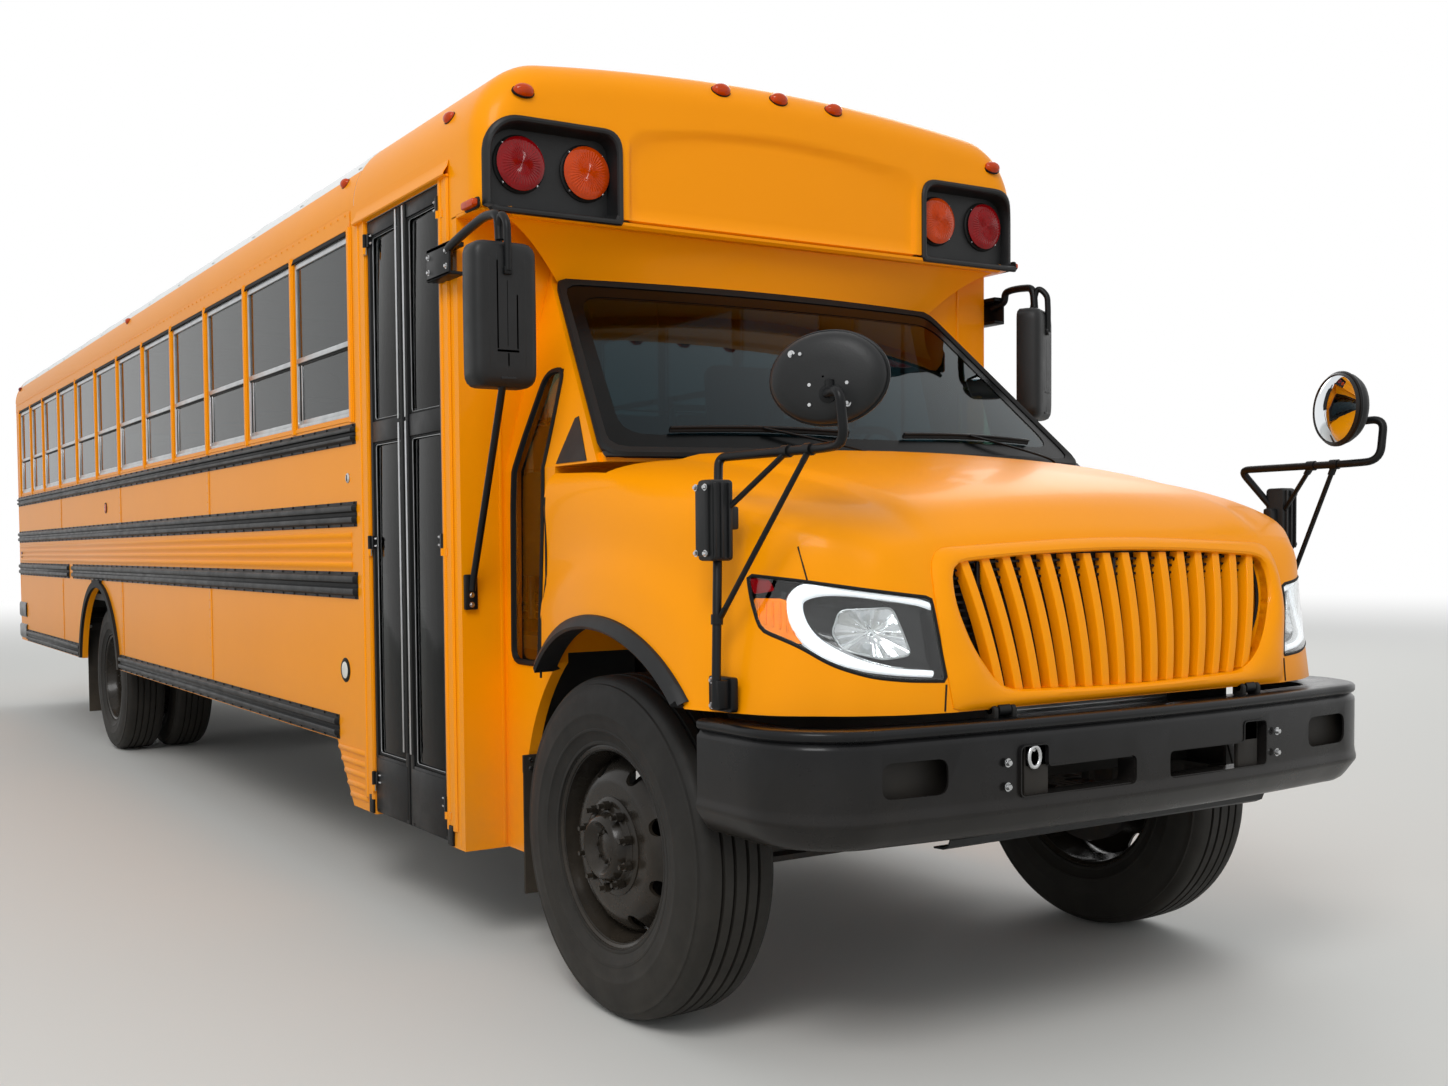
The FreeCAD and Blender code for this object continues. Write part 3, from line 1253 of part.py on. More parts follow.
def fender_flares():
    """Black lips round the front wheel arches, on the bonnet."""
    ring = rod((COWL_X, 0, AXLE_Z), (1185, 0, AXLE_Z), ARCH_R)
    ring = ring.cut(rod((COWL_X - 1, 0, AXLE_Z), (1186, 0, AXLE_Z), ARCH_R - 30))
    ring = ring.cut(box(1000, 1300, -900, 900, -300, HOOD_LOW))
    ring = ring.cut(box(1000, 1300, HOOD_REAR, 900, -300, 1500))
    return both(ring)


# ---------------------------------------------------------------- write every piece

os.makedirs("parts", exist_ok=True)

save("frame_rails", frame_rails())
save("floor", floor())
save("step_well", step_well())
save("wall_left", side_wall(1))
save("wall_right", side_wall(-1))
save("roof", roof_with_hatch_holes())
save("front_cap", [front_cap(), brow(), brow_lid()])
save("cowl", cowl())
save("rear_wall", rear_wall())
save("side_windows", side_glass(1) + side_glass(-1))
save("windshield", windshield())
save("quarter_windows", quarter_glass())
save("rear_windows", rear_glass())
save("rub_rails", rub_rails())
save("arch_flares", arch_flares())
save("front_bumper", front_bumper())
save("rear_bumper", rear_bumper())
save("front_axle", front_axle())
save("rear_axle", rear_axle())
save("leaf_springs", leaf_springs())
save("engine_block", engine_block())
save("drive_shaft", drive_shaft())
save("fuel_tank", fuel_tank())
save("battery_box", battery_box())
save("exhaust", exhaust())
save("seats", seats(1) + seats(-1))
save("driver_seat", driver_seat())
save("dashboard", [dashboard(), steering_column()])
save("steering_wheel", steering_wheel())
save("rear_view_mirrors", flat_mirrors())
save("warning_boxes", warning_boxes())
save("rear_lamps", rear_lamps())
save("mud_flaps", mud_flaps())
save("stop_arm_base", stop_base())
save("hood", hood())
save("grille", grille())
save("headlamps", headlamps())
save("fender_flares", fender_flares())
save("cross_mirrors", both(cross_mirror()))
save("tie_rod", tie_rod())
for word, sign in (("left", 1), ("right", -1)):
    save("knuckle_" + word, knuckle(sign))
    save("front_tyre_" + word, tyre(sign, TYRE_X, 0))
    save("front_wheel_" + word, front_wheel(sign))
    save("rear_tyres_" + word, [tyre(sign, TYRE_X, WHEELBASE), tyre(sign, TYRE_X - DUAL_PITCH, WHEELBASE)])
    save("rear_wheels_" + word, rear_wheels(sign))
save("door_leaf_front", [entrance_leaf(*LEAF_FRONT, DOOR_Y0, 1)] + leaf_glass(*LEAF_FRONT))
save("door_leaf_rear", [entrance_leaf(*LEAF_REAR, DOOR_Y1, -1)] + leaf_glass(*LEAF_REAR))
save("rear_door", [rear_door()] + rear_door_glass())
save("stop_arm", stop_arm())
for word, y in zip(("front", "rear"), HATCH_Y):
    save("roof_hatch_" + word, hatch_lid(y))
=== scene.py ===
import math

import bmesh
import bpy
from mathutils import Matrix, Vector
from mathutils.bvhtree import BVHTree


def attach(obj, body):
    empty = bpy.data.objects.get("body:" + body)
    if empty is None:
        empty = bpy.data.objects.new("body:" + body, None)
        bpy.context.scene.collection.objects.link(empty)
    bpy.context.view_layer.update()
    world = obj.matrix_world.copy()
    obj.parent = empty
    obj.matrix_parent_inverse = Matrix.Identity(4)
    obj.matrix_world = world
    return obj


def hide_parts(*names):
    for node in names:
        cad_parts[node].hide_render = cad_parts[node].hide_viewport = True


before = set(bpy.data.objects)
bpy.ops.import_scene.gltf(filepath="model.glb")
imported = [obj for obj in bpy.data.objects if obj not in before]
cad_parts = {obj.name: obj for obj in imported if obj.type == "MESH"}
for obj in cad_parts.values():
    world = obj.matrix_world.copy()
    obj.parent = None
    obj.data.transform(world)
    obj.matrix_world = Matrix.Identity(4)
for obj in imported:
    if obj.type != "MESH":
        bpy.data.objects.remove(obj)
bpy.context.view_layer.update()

bl_info = {
    "name": "School Bus",
    "version": (1, 0, 0),
    "blender": (4, 5, 0),
    "location": "3D View > Sidebar > School Bus",
    "description": "Builds a full-size conventional school bus around its packed frame",
    "category": "Object",
}

MIDDLE = 4685.0     # station of the bus's middle, behind the front axle, in mm
WHEELBASE = 6850.0
AXLE_Z = 510.0
HALF_WIDTH = 1219.0


def place(x, y, z):
    """Point in metres in the frame, from mm with y as the station behind the front axle."""
    return Vector((x / 1000, (y - MIDDLE) / 1000, z / 1000))


def linear(hex_colour):
    """sRGB hex colour as the linear RGB that shaders and properties take."""
    out = []
    for i in (1, 3, 5):
        c = int(hex_colour[i:i + 2], 16) / 255
        out.append(c / 12.92 if c <= 0.04045 else ((c + 0.055) / 1.055) ** 2.4)
    return tuple(out)


def mix(a, b, t):
    return a + (b - a) * t


def bus():
    """The sizes and colours that the panel shows."""
    return bpy.context.scene.school_bus


# ---------------------------------------------------------------- finishes

FINISHES = {}


def add(tree, kind, sets=None, links=None):
    """Add one node, set its attributes or inputs, and link its inputs."""
    item = tree.nodes.new(kind)
    for key, value in (sets or {}).items():
        if isinstance(key, int) or key in item.inputs.keys():
            item.inputs[key].default_value = value
        else:
            setattr(item, key, value)
    for key, socket in (links or {}).items():
        tree.links.new(socket, item.inputs[key])
    return item


def finish(name, colour, roughness, metallic=0.0, grain=None, mottle=None, worn=0.0, clear=False, **shader):
    """New finish: grain is (size mm, depth mm), mottle is (size mm, second colour, share), worn varies the gloss,
    clear lets the lamps' light straight through."""
    material = bpy.data.materials.new(name)
    material.use_nodes = True
    tree = material.node_tree
    base = tree.nodes["Principled BSDF"]
    rgba = (linear(colour) if isinstance(colour, str) else tuple(colour)) + (1,)
    sets = {"Base Color": rgba, "Roughness": roughness, "Metallic": metallic}
    for key, value in list(sets.items()) + [(k.replace("_", " "), v) for k, v in shader.items()]:
        base.inputs[key].default_value = value
    where = add(tree, "ShaderNodeTexCoord").outputs["Object"]
    if mottle:
        size, second, share = mottle
        noise = add(tree, "ShaderNodeTexNoise", {"Scale": 1000 / size, "Detail": 6.0, "Roughness": 0.6},
                    {"Vector": where})
        ramp = add(tree, "ShaderNodeMapRange", {1: 0.42, 2: 0.72, 3: 0.0, 4: share}, {0: noise.outputs["Fac"]})
        blend = add(tree, "ShaderNodeMix", {"data_type": "RGBA", 6: rgba, 7: linear(second) + (1,)},
                    {0: ramp.outputs[0]})
        tree.links.new(blend.outputs[2], base.inputs["Base Color"])
    if worn:
        noise = add(tree, "ShaderNodeTexNoise", {"Scale": 9.0, "Detail": 8.0, "Roughness": 0.65}, {"Vector": where})
        spread = add(tree, "ShaderNodeMapRange", {1: 0.3, 2: 0.7, 3: max(roughness - worn, 0.02), 4: roughness + worn},
                     {0: noise.outputs["Fac"]})
        tree.links.new(spread.outputs[0], base.inputs["Roughness"])
    if grain:
        size, depth = grain
        noise = add(tree, "ShaderNodeTexNoise", {"Scale": 1000 / size, "Detail": 3.0}, {"Vector": where})
        bump = add(tree, "ShaderNodeBump", {"Strength": 1.0, "Distance": depth / 1000},
                   {"Height": noise.outputs["Fac"]})
        tree.links.new(bump.outputs["Normal"], base.inputs["Normal"])
    if clear:
        way = add(tree, "ShaderNodeLightPath")
        past = add(tree, "ShaderNodeBsdfTransparent", {"Color": rgba})
        both = add(tree, "ShaderNodeMixShader", None, {0: way.outputs["Is Shadow Ray"], 1: base.outputs[0],
                                                       2: past.outputs[0]})
        tree.links.new(both.outputs[0], tree.nodes["Material Output"].inputs["Surface"])
    FINISHES[name] = material
    return material


def tint(material, factor, colour):
    """Lay a second colour over a finish, where factor is high."""
    tree = material.node_tree
    base = tree.nodes["Principled BSDF"].inputs["Base Color"]
    blend = add(tree, "ShaderNodeMix", {"data_type": "RGBA", 6: tuple(base.default_value), 7: linear(colour) + (1,)},
                {0: factor})
    if base.is_linked:
        tree.links.new(base.links[0].from_socket, blend.inputs[6])
    tree.links.new(blend.outputs[2], base)


def road_film(material, top, share, colour="#8A7A66"):
    """Dust thrown up by the wheels: a thin film that fades out at a height of top mm."""
    tree = material.node_tree
    where = add(tree, "ShaderNodeTexCoord").outputs["Object"]
    height = add(tree, "ShaderNodeSeparateXYZ", None, {0: where})
    noise = add(tree, "ShaderNodeTexNoise", {"Scale": 7.0, "Detail": 9.0, "Roughness": 0.7}, {"Vector": where})
    fade = add(tree, "ShaderNodeMapRange", {1: top / 1000, 2: 0.15, 3: 0.0, 4: 1.0}, {0: height.outputs["Z"]})
    patch = add(tree, "ShaderNodeMapRange", {1: 0.35, 2: 0.75, 3: 0.15, 4: share}, {0: noise.outputs["Fac"]})
    film = add(tree, "ShaderNodeMath", {"operation": "MULTIPLY"}, {0: fade.outputs[0], 1: patch.outputs[0]})
    tint(material, film.outputs[0], colour)


def lining(material, colour):
    """The inner faces of the body shell are lined in a pale colour, told from the outer ones by their direction."""
    tree = material.node_tree
    where = add(tree, "ShaderNodeTexCoord").outputs["Object"]
    middle = add(tree, "ShaderNodeVectorMath", {"operation": "SUBTRACT", 1: (0.0, 0.0, 1.9)}, {0: where})
    flat = add(tree, "ShaderNodeVectorMath", {"operation": "MULTIPLY", 1: (1.0, 0.0, 1.0)}, {0: middle.outputs[0]})
    normal = add(tree, "ShaderNodeNewGeometry").outputs["Normal"]
    facing = add(tree, "ShaderNodeVectorMath", {"operation": "DOT_PRODUCT"}, {0: flat.outputs[0], 1: normal})
    inner = add(tree, "ShaderNodeMath", {"operation": "LESS_THAN", 1: -0.05}, {0: facing.outputs["Value"]})
    tint(material, inner.outputs[0], colour)


def make_finishes():
    """Every finish of the bus, each from what the real one is."""
    paint = bus().paint_colour
    # Two-stage polyurethane enamel on sheet steel: deep gloss, with the slight wave of the sheet under it.
    for name, hidden in (("yellow_enamel", False), ("yellow_shell_enamel", True)):
        body = finish(name, paint, 0.36, grain=(420, 1.1), mottle=(900, "#F59600", 0.35), Specular_IOR_Level=0.1,
                      Coat_Weight=0.08, Coat_Roughness=0.06)
        road_film(body, 900, 0.35)
        if hidden:
            lining(body, "#B7B6AC")
    # White roof enamel that keeps the cabin cool: gloss, a little chalky.
    roof = finish("white_roof_enamel", bus().roof_colour, 0.4, grain=(500, 1.0), mottle=(700, "#DDDEDC", 0.6),
                  Coat_Weight=0.4, Coat_Roughness=0.12)
    lining(roof, "#C4C3BA")
    # Polyester powder coat on rolled steel rails: satin black with a fine pebble.
    finish("black_powder_coat", "#0D0E0F", 0.4, grain=(3, 0.06), mottle=(160, "#17181A", 0.5), worn=0.08,
           Specular_IOR_Level=0.2)
    # Satin chassis enamel on the pressed bumper, lightly scuffed.
    bumper = finish("black_bumper_enamel", "#0E0F11", 0.3, grain=(260, 0.9), mottle=(140, "#191A1C", 0.55), worn=0.06,
                    Specular_IOR_Level=0.18, Coat_Weight=0.1, Coat_Roughness=0.1)
    road_film(bumper, 950, 0.08)
    # Frame paint under a coat of dry road dust: dull black-brown.
    frame_paint = finish("chassis_enamel", "#0F1011", 0.6, grain=(6, 0.1), mottle=(90, "#1D1B18", 0.7),
                         Specular_IOR_Level=0.3)
    road_film(frame_paint, 1000, 0.25)
    # Moulded polypropylene with a leather-like grain: dark, soft highlights.
    finish("grained_polymer", "#111213", 0.5, grain=(4, 0.22), mottle=(120, "#1B1C1D", 0.5), worn=0.06,
           Specular_IOR_Level=0.35)
    # EPDM extrusion round glass and doors: nearly black, matt.
    finish("seal_rubber", "#090A0A", 0.66, grain=(8, 0.05), mottle=(60, "#121212", 0.6), Specular_IOR_Level=0.25)
    flap = finish("flap_rubber", "#121212", 0.7, grain=(12, 0.2), mottle=(80, "#1E1D1A", 0.7), Specular_IOR_Level=0.3)
    road_film(flap, 900, 0.3)
    # Carbon-black tyre compound, greyed by dust on the tread.
    tyre = finish("tyre_compound", "#0E0E0E", 0.66, grain=(5, 0.12), mottle=(110, "#171614", 0.7), worn=0.08,
                  Specular_IOR_Level=0.3)
    road_film(tyre, 1100, 0.07, "#6E665A")
    # Gloss black enamel on the pressed steel wheels, with brake dust.
    wheel = finish("black_wheel_enamel", "#0A0B0C", 0.26, grain=(40, 0.12), mottle=(50, "#161513", 0.6), worn=0.06,
                   Specular_IOR_Level=0.2, Coat_Weight=0.1, Coat_Roughness=0.1)
    road_film(wheel, 1100, 0.06)
    # Mill-finish anodised aluminium: soft metallic, drawn along its length.
    finish("anodised_aluminium", "#BFC1C2", 0.34, 1.0, grain=(14, 0.05), mottle=(70, "#9B9D9F", 0.5), worn=0.06)
    finish("plated_steel", "#C9CACB", 0.28, 1.0, grain=(10, 0.06), mottle=(30, "#8E8F90", 0.5), worn=0.1)
    # Vacuum-metallised reflector: a bright mirror.
    finish("metallised_reflector", "#E9EAEB", 0.08, 1.0, mottle=(60, "#C9CBCD", 0.4), worn=0.03)
    # Mirror glass, silvered from behind.
    finish("silvered_glass", "#DDE2E6", 0.03, 1.0, mottle=(200, "#C5CBD0", 0.4))
    # Grey-brown solar tint glass of the passenger windows, and the clearer laminated windscreen.
    finish("tinted_glass", "#565E5E", 0.02, mottle=(600, "#4D5454", 0.5), Transmission_Weight=1.0, IOR=1.35,
           Specular_Tint=(0.5, 0.56, 0.58, 1))
    finish("laminated_glass", "#33555E", 0.01, mottle=(700, "#2D4D55", 0.5), Transmission_Weight=1.0, IOR=1.3,
           Specular_Tint=(0.25, 0.5, 0.62, 1))
    # Bronze-tinted glass of the corner windows.
    finish("bronze_glass", "#E0CC9C", 0.01, mottle=(500, "#D2BC8A", 0.5), Transmission_Weight=1.0, IOR=1.4)
    # Lightly tinted safety glass of the entrance door.
    finish("door_glass", "#555A57", 0.02, mottle=(600, "#4B504D", 0.5), Transmission_Weight=1.0, IOR=1.3,
           Specular_Tint=(0.5, 0.52, 0.5, 1))
    finish("clear_polycarbonate", "#F6F8F8", 0.02, mottle=(90, "#ECEFF0", 0.5), clear=True, Transmission_Weight=1.0,
           IOR=1.4)
    # Blow-moulded polyethylene of the coolant tank: milky and waxy.
    finish("milky_polyethylene", "#D6D5CA", 0.45, mottle=(60, "#C4C2B4", 0.6), Transmission_Weight=0.1)
    # Piano-black polycarbonate bezel inside the headlamp.
    finish("gloss_bezel_polymer", "#060708", 0.14, mottle=(80, "#0B0C0D", 0.5), Specular_IOR_Level=0.35)
    # Ceramic frit baked on to the edge of the glass.
    finish("ceramic_frit", "#060707", 0.25, mottle=(90, "#0C0D0E", 0.5), Specular_IOR_Level=0.08)
    # Injection-moulded acrylic lenses: saturated, glossy, slightly see-through.
    for name, colour, second in (("red_acrylic", "#8C0208", "#5C0105"), ("amber_acrylic", "#C84200", "#9C2E00"),
                                 ("signal_acrylic", "#FF8A00", "#E87400"), ("clear_acrylic", "#E7E5DE", "#CFCCC2")):
        finish(name, colour, 0.14, mottle=(35, second, 0.5), Transmission_Weight=0.04, Specular_IOR_Level=0.2,
               Coat_Weight=0.1, Coat_Roughness=0.04)
    # Opal light guide of the daytime lamp, with a painted glow: a weak white emission, though the lamp is not lit.
    finish("light_guide", "#FAFCFE", 0.25, mottle=(50, "#E8EDF2", 0.5), Emission_Color=(0.9, 0.95, 1, 1),
           Emission_Strength=0.45)
    # Expanded vinyl on the benches: dark blue with a pressed leather grain.
    finish("bench_vinyl", bus().seat_colour, 0.46, grain=(5, 0.35), mottle=(140, "#1F3246", 0.6), worn=0.07)
    finish("ribbed_floor_rubber", "#2A2B2B", 0.7, grain=(7, 0.3), mottle=(120, "#3A3935", 0.6))
    # Unmachined cast iron and forged steel: rough, brown-black.
    finish("cast_iron", "#2C2A28", 0.68, 0.35, grain=(5, 0.3), mottle=(45, "#4A3B2E", 0.6), worn=0.1)
    finish("shaft_steel", "#5A5854", 0.5, 0.8, grain=(9, 0.15), mottle=(60, "#3E3A35", 0.7), worn=0.1)
    # Aluminised exhaust steel, dulled by heat.
    finish("aluminised_steel", "#8A8781", 0.45, 0.9, grain=(20, 0.15), mottle=(80, "#6A5B4A", 0.6), worn=0.1)
    # Perforated vinyl-faced board under the roof: warm pale grey.
    finish("headliner", "#BDBAB0", 0.7, grain=(9, 0.2), mottle=(200, "#AFABA0", 0.5))
    finish("dash_polymer", "#303234", 0.6, grain=(3, 0.15), mottle=(100, "#3C3E40", 0.5))
    finish("red_sign_sheeting", "#B3121A", 0.35, mottle=(120, "#9C0F16", 0.5), Coat_Weight=0.4)
    finish("white_sign_sheeting", "#ECECE8", 0.4, mottle=(120, "#DEDEDA", 0.5))
    # Bare primer grey on small parts inside, such as the seat legs.
    finish("grey_enamel", "#6D7073", 0.45, grain=(30, 0.1), mottle=(80, "#5B5E61", 0.5))


def dress(node, *names):
    """Give a CAD node that stays visible its finish."""
    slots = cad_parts[node].data.materials
    slots.clear()
    for name in names:
        slots.append(FINISHES[name])
# ---------------------------------------------------------------- shapes, in mm with y as the station

def near(a, b, t):
    """Point or number a share t of the way from a to b."""
    return tuple(mix(p, q, t) for p, q in zip(a, b))


def soften(points, radii, steps=5, closed=True):
    """Round the corners of a 2-D or 3-D line; radii is one number or one for each corner."""
    points = [Vector(p) for p in points]
    count = len(points)
    radii = [radii] * count if not hasattr(radii, "__len__") else radii
    out = []
    for i, point in enumerate(points):
        if (not closed and i in (0, count - 1)) or radii[i] <= 0:
            out.append(tuple(point))
            continue
        back, on = points[i - 1] - point, points[(i + 1) % count] - point
        reach = min(radii[i], back.length * 0.49, on.length * 0.49)
        start, end = point + back.normalized() * reach, point + on.normalized() * reach
        for k in range(steps + 1):
            t = k / steps
            out.append(tuple((1 - t) ** 2 * start + 2 * t * (1 - t) * point + t * t * end))
    return out


def oblong(x0, x1, z0, z1, radius, steps=5):
    return soften([(x0, z0), (x1, z0), (x1, z1), (x0, z1)], radius, steps)


def spread(line, count, closed=False):
    """The same line with evenly spaced points."""
    points = [Vector(p) for p in line] + ([Vector(line[0])] if closed else [])
    marks = [0.0]
    for a, b in zip(points, points[1:]):
        marks.append(marks[-1] + (b - a).length)
    out, k = [], 0
    for i in range(count):
        at = marks[-1] * i / (count if closed else count - 1)
        while k < len(marks) - 2 and marks[k + 1] < at:
            k += 1
        gap = marks[k + 1] - marks[k]
        out.append(tuple(points[k].lerp(points[k + 1], (at - marks[k]) / gap if gap else 0)))
    return out


def drawn_in(line, gap):
    """Closed outline offset inwards by gap."""
    turn = sum(a[0] * b[1] - b[0] * a[1] for a, b in zip(line, line[1:] + line[:1]))
    side = gap if turn < 0 else -gap
    out = []
    for i, point in enumerate(line):
        way = (Vector(line[(i + 1) % len(line)]) - Vector(line[i - 1])).normalized()
        out.append((point[0] + way.y * side, point[1] - way.x * side))
    return out


def smooth_line(points, steps=8):
    """Catmull-Rom curve through the points."""
    p = [Vector(q) for q in points]
    p = [2 * p[0] - p[1]] + p + [2 * p[-1] - p[-2]]
    out = []
    for a, b, c, d in zip(p, p[1:], p[2:], p[3:]):
        for k in range(steps):
            t = k / steps
            out.append(tuple(0.5 * (2 * b + (c - a) * t + (2 * a - 5 * b + 4 * c - d) * t * t
                                    + (3 * b - a - 3 * c + d) * t ** 3)))
    return out + [tuple(p[-2])]


def solid_on(axis, u, v, w):
    """Point from an outline's two coordinates and its place along the axis."""
    return {"x": (w, u, v), "y": (u, w, v), "z": (u, v, w)}[axis]


def prism_faces(n):
    """Faces of a closed prism whose points are one outline of n points, then the other."""
    return [list(range(n)), list(range(2 * n - 1, n - 1, -1))] + [[i, (i + 1) % n, n + (i + 1) % n, n + i]
                                                                 for i in range(n)]


class Shape:
    """A piece put together from plates, sheets, turned parts and tubes, each with its finish."""

    def __init__(self):
        self.bm = bmesh.new()
        self.finishes = []

    def skin(self, finish_name, points, loops):
        """Add points and the faces between them."""
        if finish_name not in self.finishes:
            self.finishes.append(finish_name)
        slot = self.finishes.index(finish_name)
        verts = [self.bm.verts.new(place(*p)) for p in points]
        faces = []
        for loop in loops:
            corners = []
            for i in loop:
                if verts[i] not in corners:
                    corners.append(verts[i])
            if len(corners) > 2:
                face = self.bm.faces.new(corners)
                face.material_index = slot
                faces.append(face)
        return faces

    def round_off(self, faces, radius, steps=2):
        """Round the sharp edges of a new solid."""
        edges = {e for f in faces for e in f.edges if len(e.link_faces) == 2 and e.calc_face_angle(0) > 0.6}
        slot = faces[0].material_index
        made = bmesh.ops.bevel(self.bm, geom=list(edges), offset=radius / 1000, segments=steps, profile=0.5,
                               affect="EDGES", clamp_overlap=True)
        for face in made["faces"]:
            face.material_index = slot

    def plate(self, finish_name, outline, axis, a, b, bevel=0.0, steps=2):
        """Outline carried along an axis from a to b."""
        n = len(outline)
        points = [solid_on(axis, *p, a) for p in outline] + [solid_on(axis, *p, b) for p in outline]
        faces = self.skin(finish_name, points, prism_faces(n))
        bmesh.ops.recalc_face_normals(self.bm, faces=faces)
        if bevel:
            self.round_off(faces, bevel, steps)

    def block(self, finish_name, x, y, z, bevel=4.0, steps=2):
        """Block between two values on each axis, its edges rounded."""
        self.plate(finish_name, [(x[0], y[0]), (x[1], y[0]), (x[1], y[1]), (x[0], y[1])], "z", z[0], z[1], bevel, steps)

    def frame(self, finish_name, outer, inner, axis, a, b, bevel=0.0, lean=None):
        """Ring between two outlines with as many points; lean gives the inner edge its own start and end."""
        n = len(outer)
        c, d = lean or (a, b)
        points = ([solid_on(axis, *p, a) for p in outer] + [solid_on(axis, *p, b) for p in outer]
                  + [solid_on(axis, *p, d) for p in inner] + [solid_on(axis, *p, c) for p in inner])
        loops = [[k * n + i, k * n + (i + 1) % n, (k + 1) % 4 * n + (i + 1) % n, (k + 1) % 4 * n + i]
                 for k in range(4) for i in range(n)]
        faces = self.skin(finish_name, points, loops)
        bmesh.ops.recalc_face_normals(self.bm, faces=faces)
        if bevel:
            self.round_off(faces, bevel)

    def sheet(self, finish_name, rows, thick, loop=False, inner_finish=None):
        """Grid of points given a wall; thick is measured against the grid's own normal."""
        m, n = len(rows), len(rows[0])
        grid = [[Vector(p) for p in row] for row in rows]
        inner = []
        for i, row in enumerate(grid):
            line = []
            for j, point in enumerate(row):
                up = grid[min(i + 1, m - 1)][j] - grid[max(i - 1, 0)][j]
                along = (row[(j + 1) % n] - row[j - 1]) if loop else (row[min(j + 1, n - 1)] - row[max(j - 1, 0)])
                line.append(tuple(point - up.cross(along).normalized() * thick))
            inner.append(line)
        points = [tuple(p) for row in grid for p in row] + [p for row in inner for p in row]
        size, last = m * n, n if loop else n - 1
        outer_loops = [[i * n + j, i * n + (j + 1) % n, (i + 1) * n + (j + 1) % n, (i + 1) * n + j]
                       for i in range(m - 1) for j in range(last)]
        inner_loops = [[size + k for k in reversed(q)] for q in outer_loops]
        rim = [[i * n + j, size + i * n + j, size + i * n + (j + 1) % n, i * n + (j + 1) % n]
               for i in (0, m - 1) for j in range(last)]
        if not loop:
            rim += [[i * n + j, (i + 1) * n + j, size + (i + 1) * n + j, size + i * n + j]
                    for j in (0, n - 1) for i in range(m - 1)]
        faces = self.skin(finish_name, points, outer_loops + inner_loops + rim)
        if inner_finish:
            if inner_finish not in self.finishes:
                self.finishes.append(inner_finish)
            for face in faces[len(outer_loops):len(outer_loops) + len(inner_loops)]:
                face.material_index = self.finishes.index(inner_finish)
        bmesh.ops.recalc_face_normals(self.bm, faces=faces)

    def turned(self, finish_name, profile, centre, axis="x", steps=32, start=0.0, squash=1.0):
        """Turned part: profile is (radius, place along the axis), closed if it starts and ends on the axis."""
        axes = {"x": ((0, 1, 0), (0, 0, 1), (1, 0, 0)), "y": ((1, 0, 0), (0, 0, 1), (0, 1, 0)),
                "z": ((1, 0, 0), (0, 1, 0), (0, 0, 1))}
        u, v, w = (Vector(a) for a in (axes[axis] if isinstance(axis, str) else axis))
        middle = Vector(centre)
        points, n = [], len(profile)
        for k in range(steps):
            angle = start + 2 * math.pi * k / steps
            ray = u * math.cos(angle) + v * (math.sin(angle) * squash)
            points += [tuple(middle + ray * r + w * h) for r, h in profile]
        loops = []
        for k in range(steps):
            for j in range(n - 1):
                loops.append([k * n + j, k * n + j + 1, (k + 1) % steps * n + j + 1, (k + 1) % steps * n + j])
        faces = self.skin(finish_name, points, loops)
        verts = list({vert for f in faces for vert in f.verts})
        before = set(self.bm.faces) - set(faces)
        bmesh.ops.remove_doubles(self.bm, verts=verts, dist=1e-6)
        bmesh.ops.recalc_face_normals(self.bm, faces=[f for f in self.bm.faces if f not in before])

    def tube(self, finish_name, path, radius, sides=12, flat=1.0, loop=False):
        """Round bar along a path; flat squeezes its section."""
        p = [Vector(q) for q in path]
        n = len(p)
        ways = []
        for i in range(n):
            a, b = (p[i - 1], p[(i + 1) % n]) if loop else (p[max(i - 1, 0)], p[min(i + 1, n - 1)])
            ways.append((b - a).normalized())
        side = ways[0].orthogonal().normalized() if abs(ways[0].z) > 0.9 else ways[0].cross(Vector((0, 0,
                                                                                                    1))).normalized()
        points = []
        sizes = radius if hasattr(radius, "__len__") else [radius] * n
        for point, way, r in zip(p, ways, sizes):
            side = (side - way * side.dot(way)).normalized()
            other = way.cross(side)
            for k in range(sides):
                angle = 2 * math.pi * k / sides
                points.append(tuple(point + side * (r * math.cos(angle)) + other * (r * flat * math.sin(angle))))
        rows = n if loop else n - 1
        loops = [[i * sides + k, i * sides + (k + 1) % sides, (i + 1) % n * sides + (k + 1) % sides,
                  (i + 1) % n * sides + k] for i in range(rows) for k in range(sides)]
        if not loop:
            loops += [list(range(sides))[::-1], [(n - 1) * sides + k for k in range(sides)]]
        bmesh.ops.recalc_face_normals(self.bm, faces=self.skin(finish_name, points, loops))

    def mirror(self):
        """Add the same shape on the other side of the bus."""
        copy = bmesh.ops.duplicate(self.bm, geom=self.bm.verts[:] + self.bm.edges[:] + self.bm.faces[:])
        verts = [g for g in copy["geom"] if isinstance(g, bmesh.types.BMVert)]
        for vert in verts:
            vert.co.x = -vert.co.x
        faces = [g for g in copy["geom"] if isinstance(g, bmesh.types.BMFace)]
        bmesh.ops.reverse_faces(self.bm, faces=faces)

    def mesh(self, name, sharp=35.0):
        data = bpy.data.meshes.new(name)
        self.bm.to_mesh(data)
        self.bm.free()
        for item in self.finishes:
            data.materials.append(FINISHES[item])
        data.shade_smooth()
        data.set_sharp_from_angle(angle=math.radians(sharp))
        return data

    def make(self, name, body, replaces=(), sharp=35.0):
        return settle(link(name, self.mesh(name, sharp)), body, replaces)


def link(name, data):
    item = bpy.data.objects.new(name, data)
    bpy.context.scene.collection.objects.link(item)
    return item


def settle(item, body, replaces=()):
    """Hang a finished piece on its body."""
    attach(item, body)
    if replaces:
        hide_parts(*replaces)
    return item


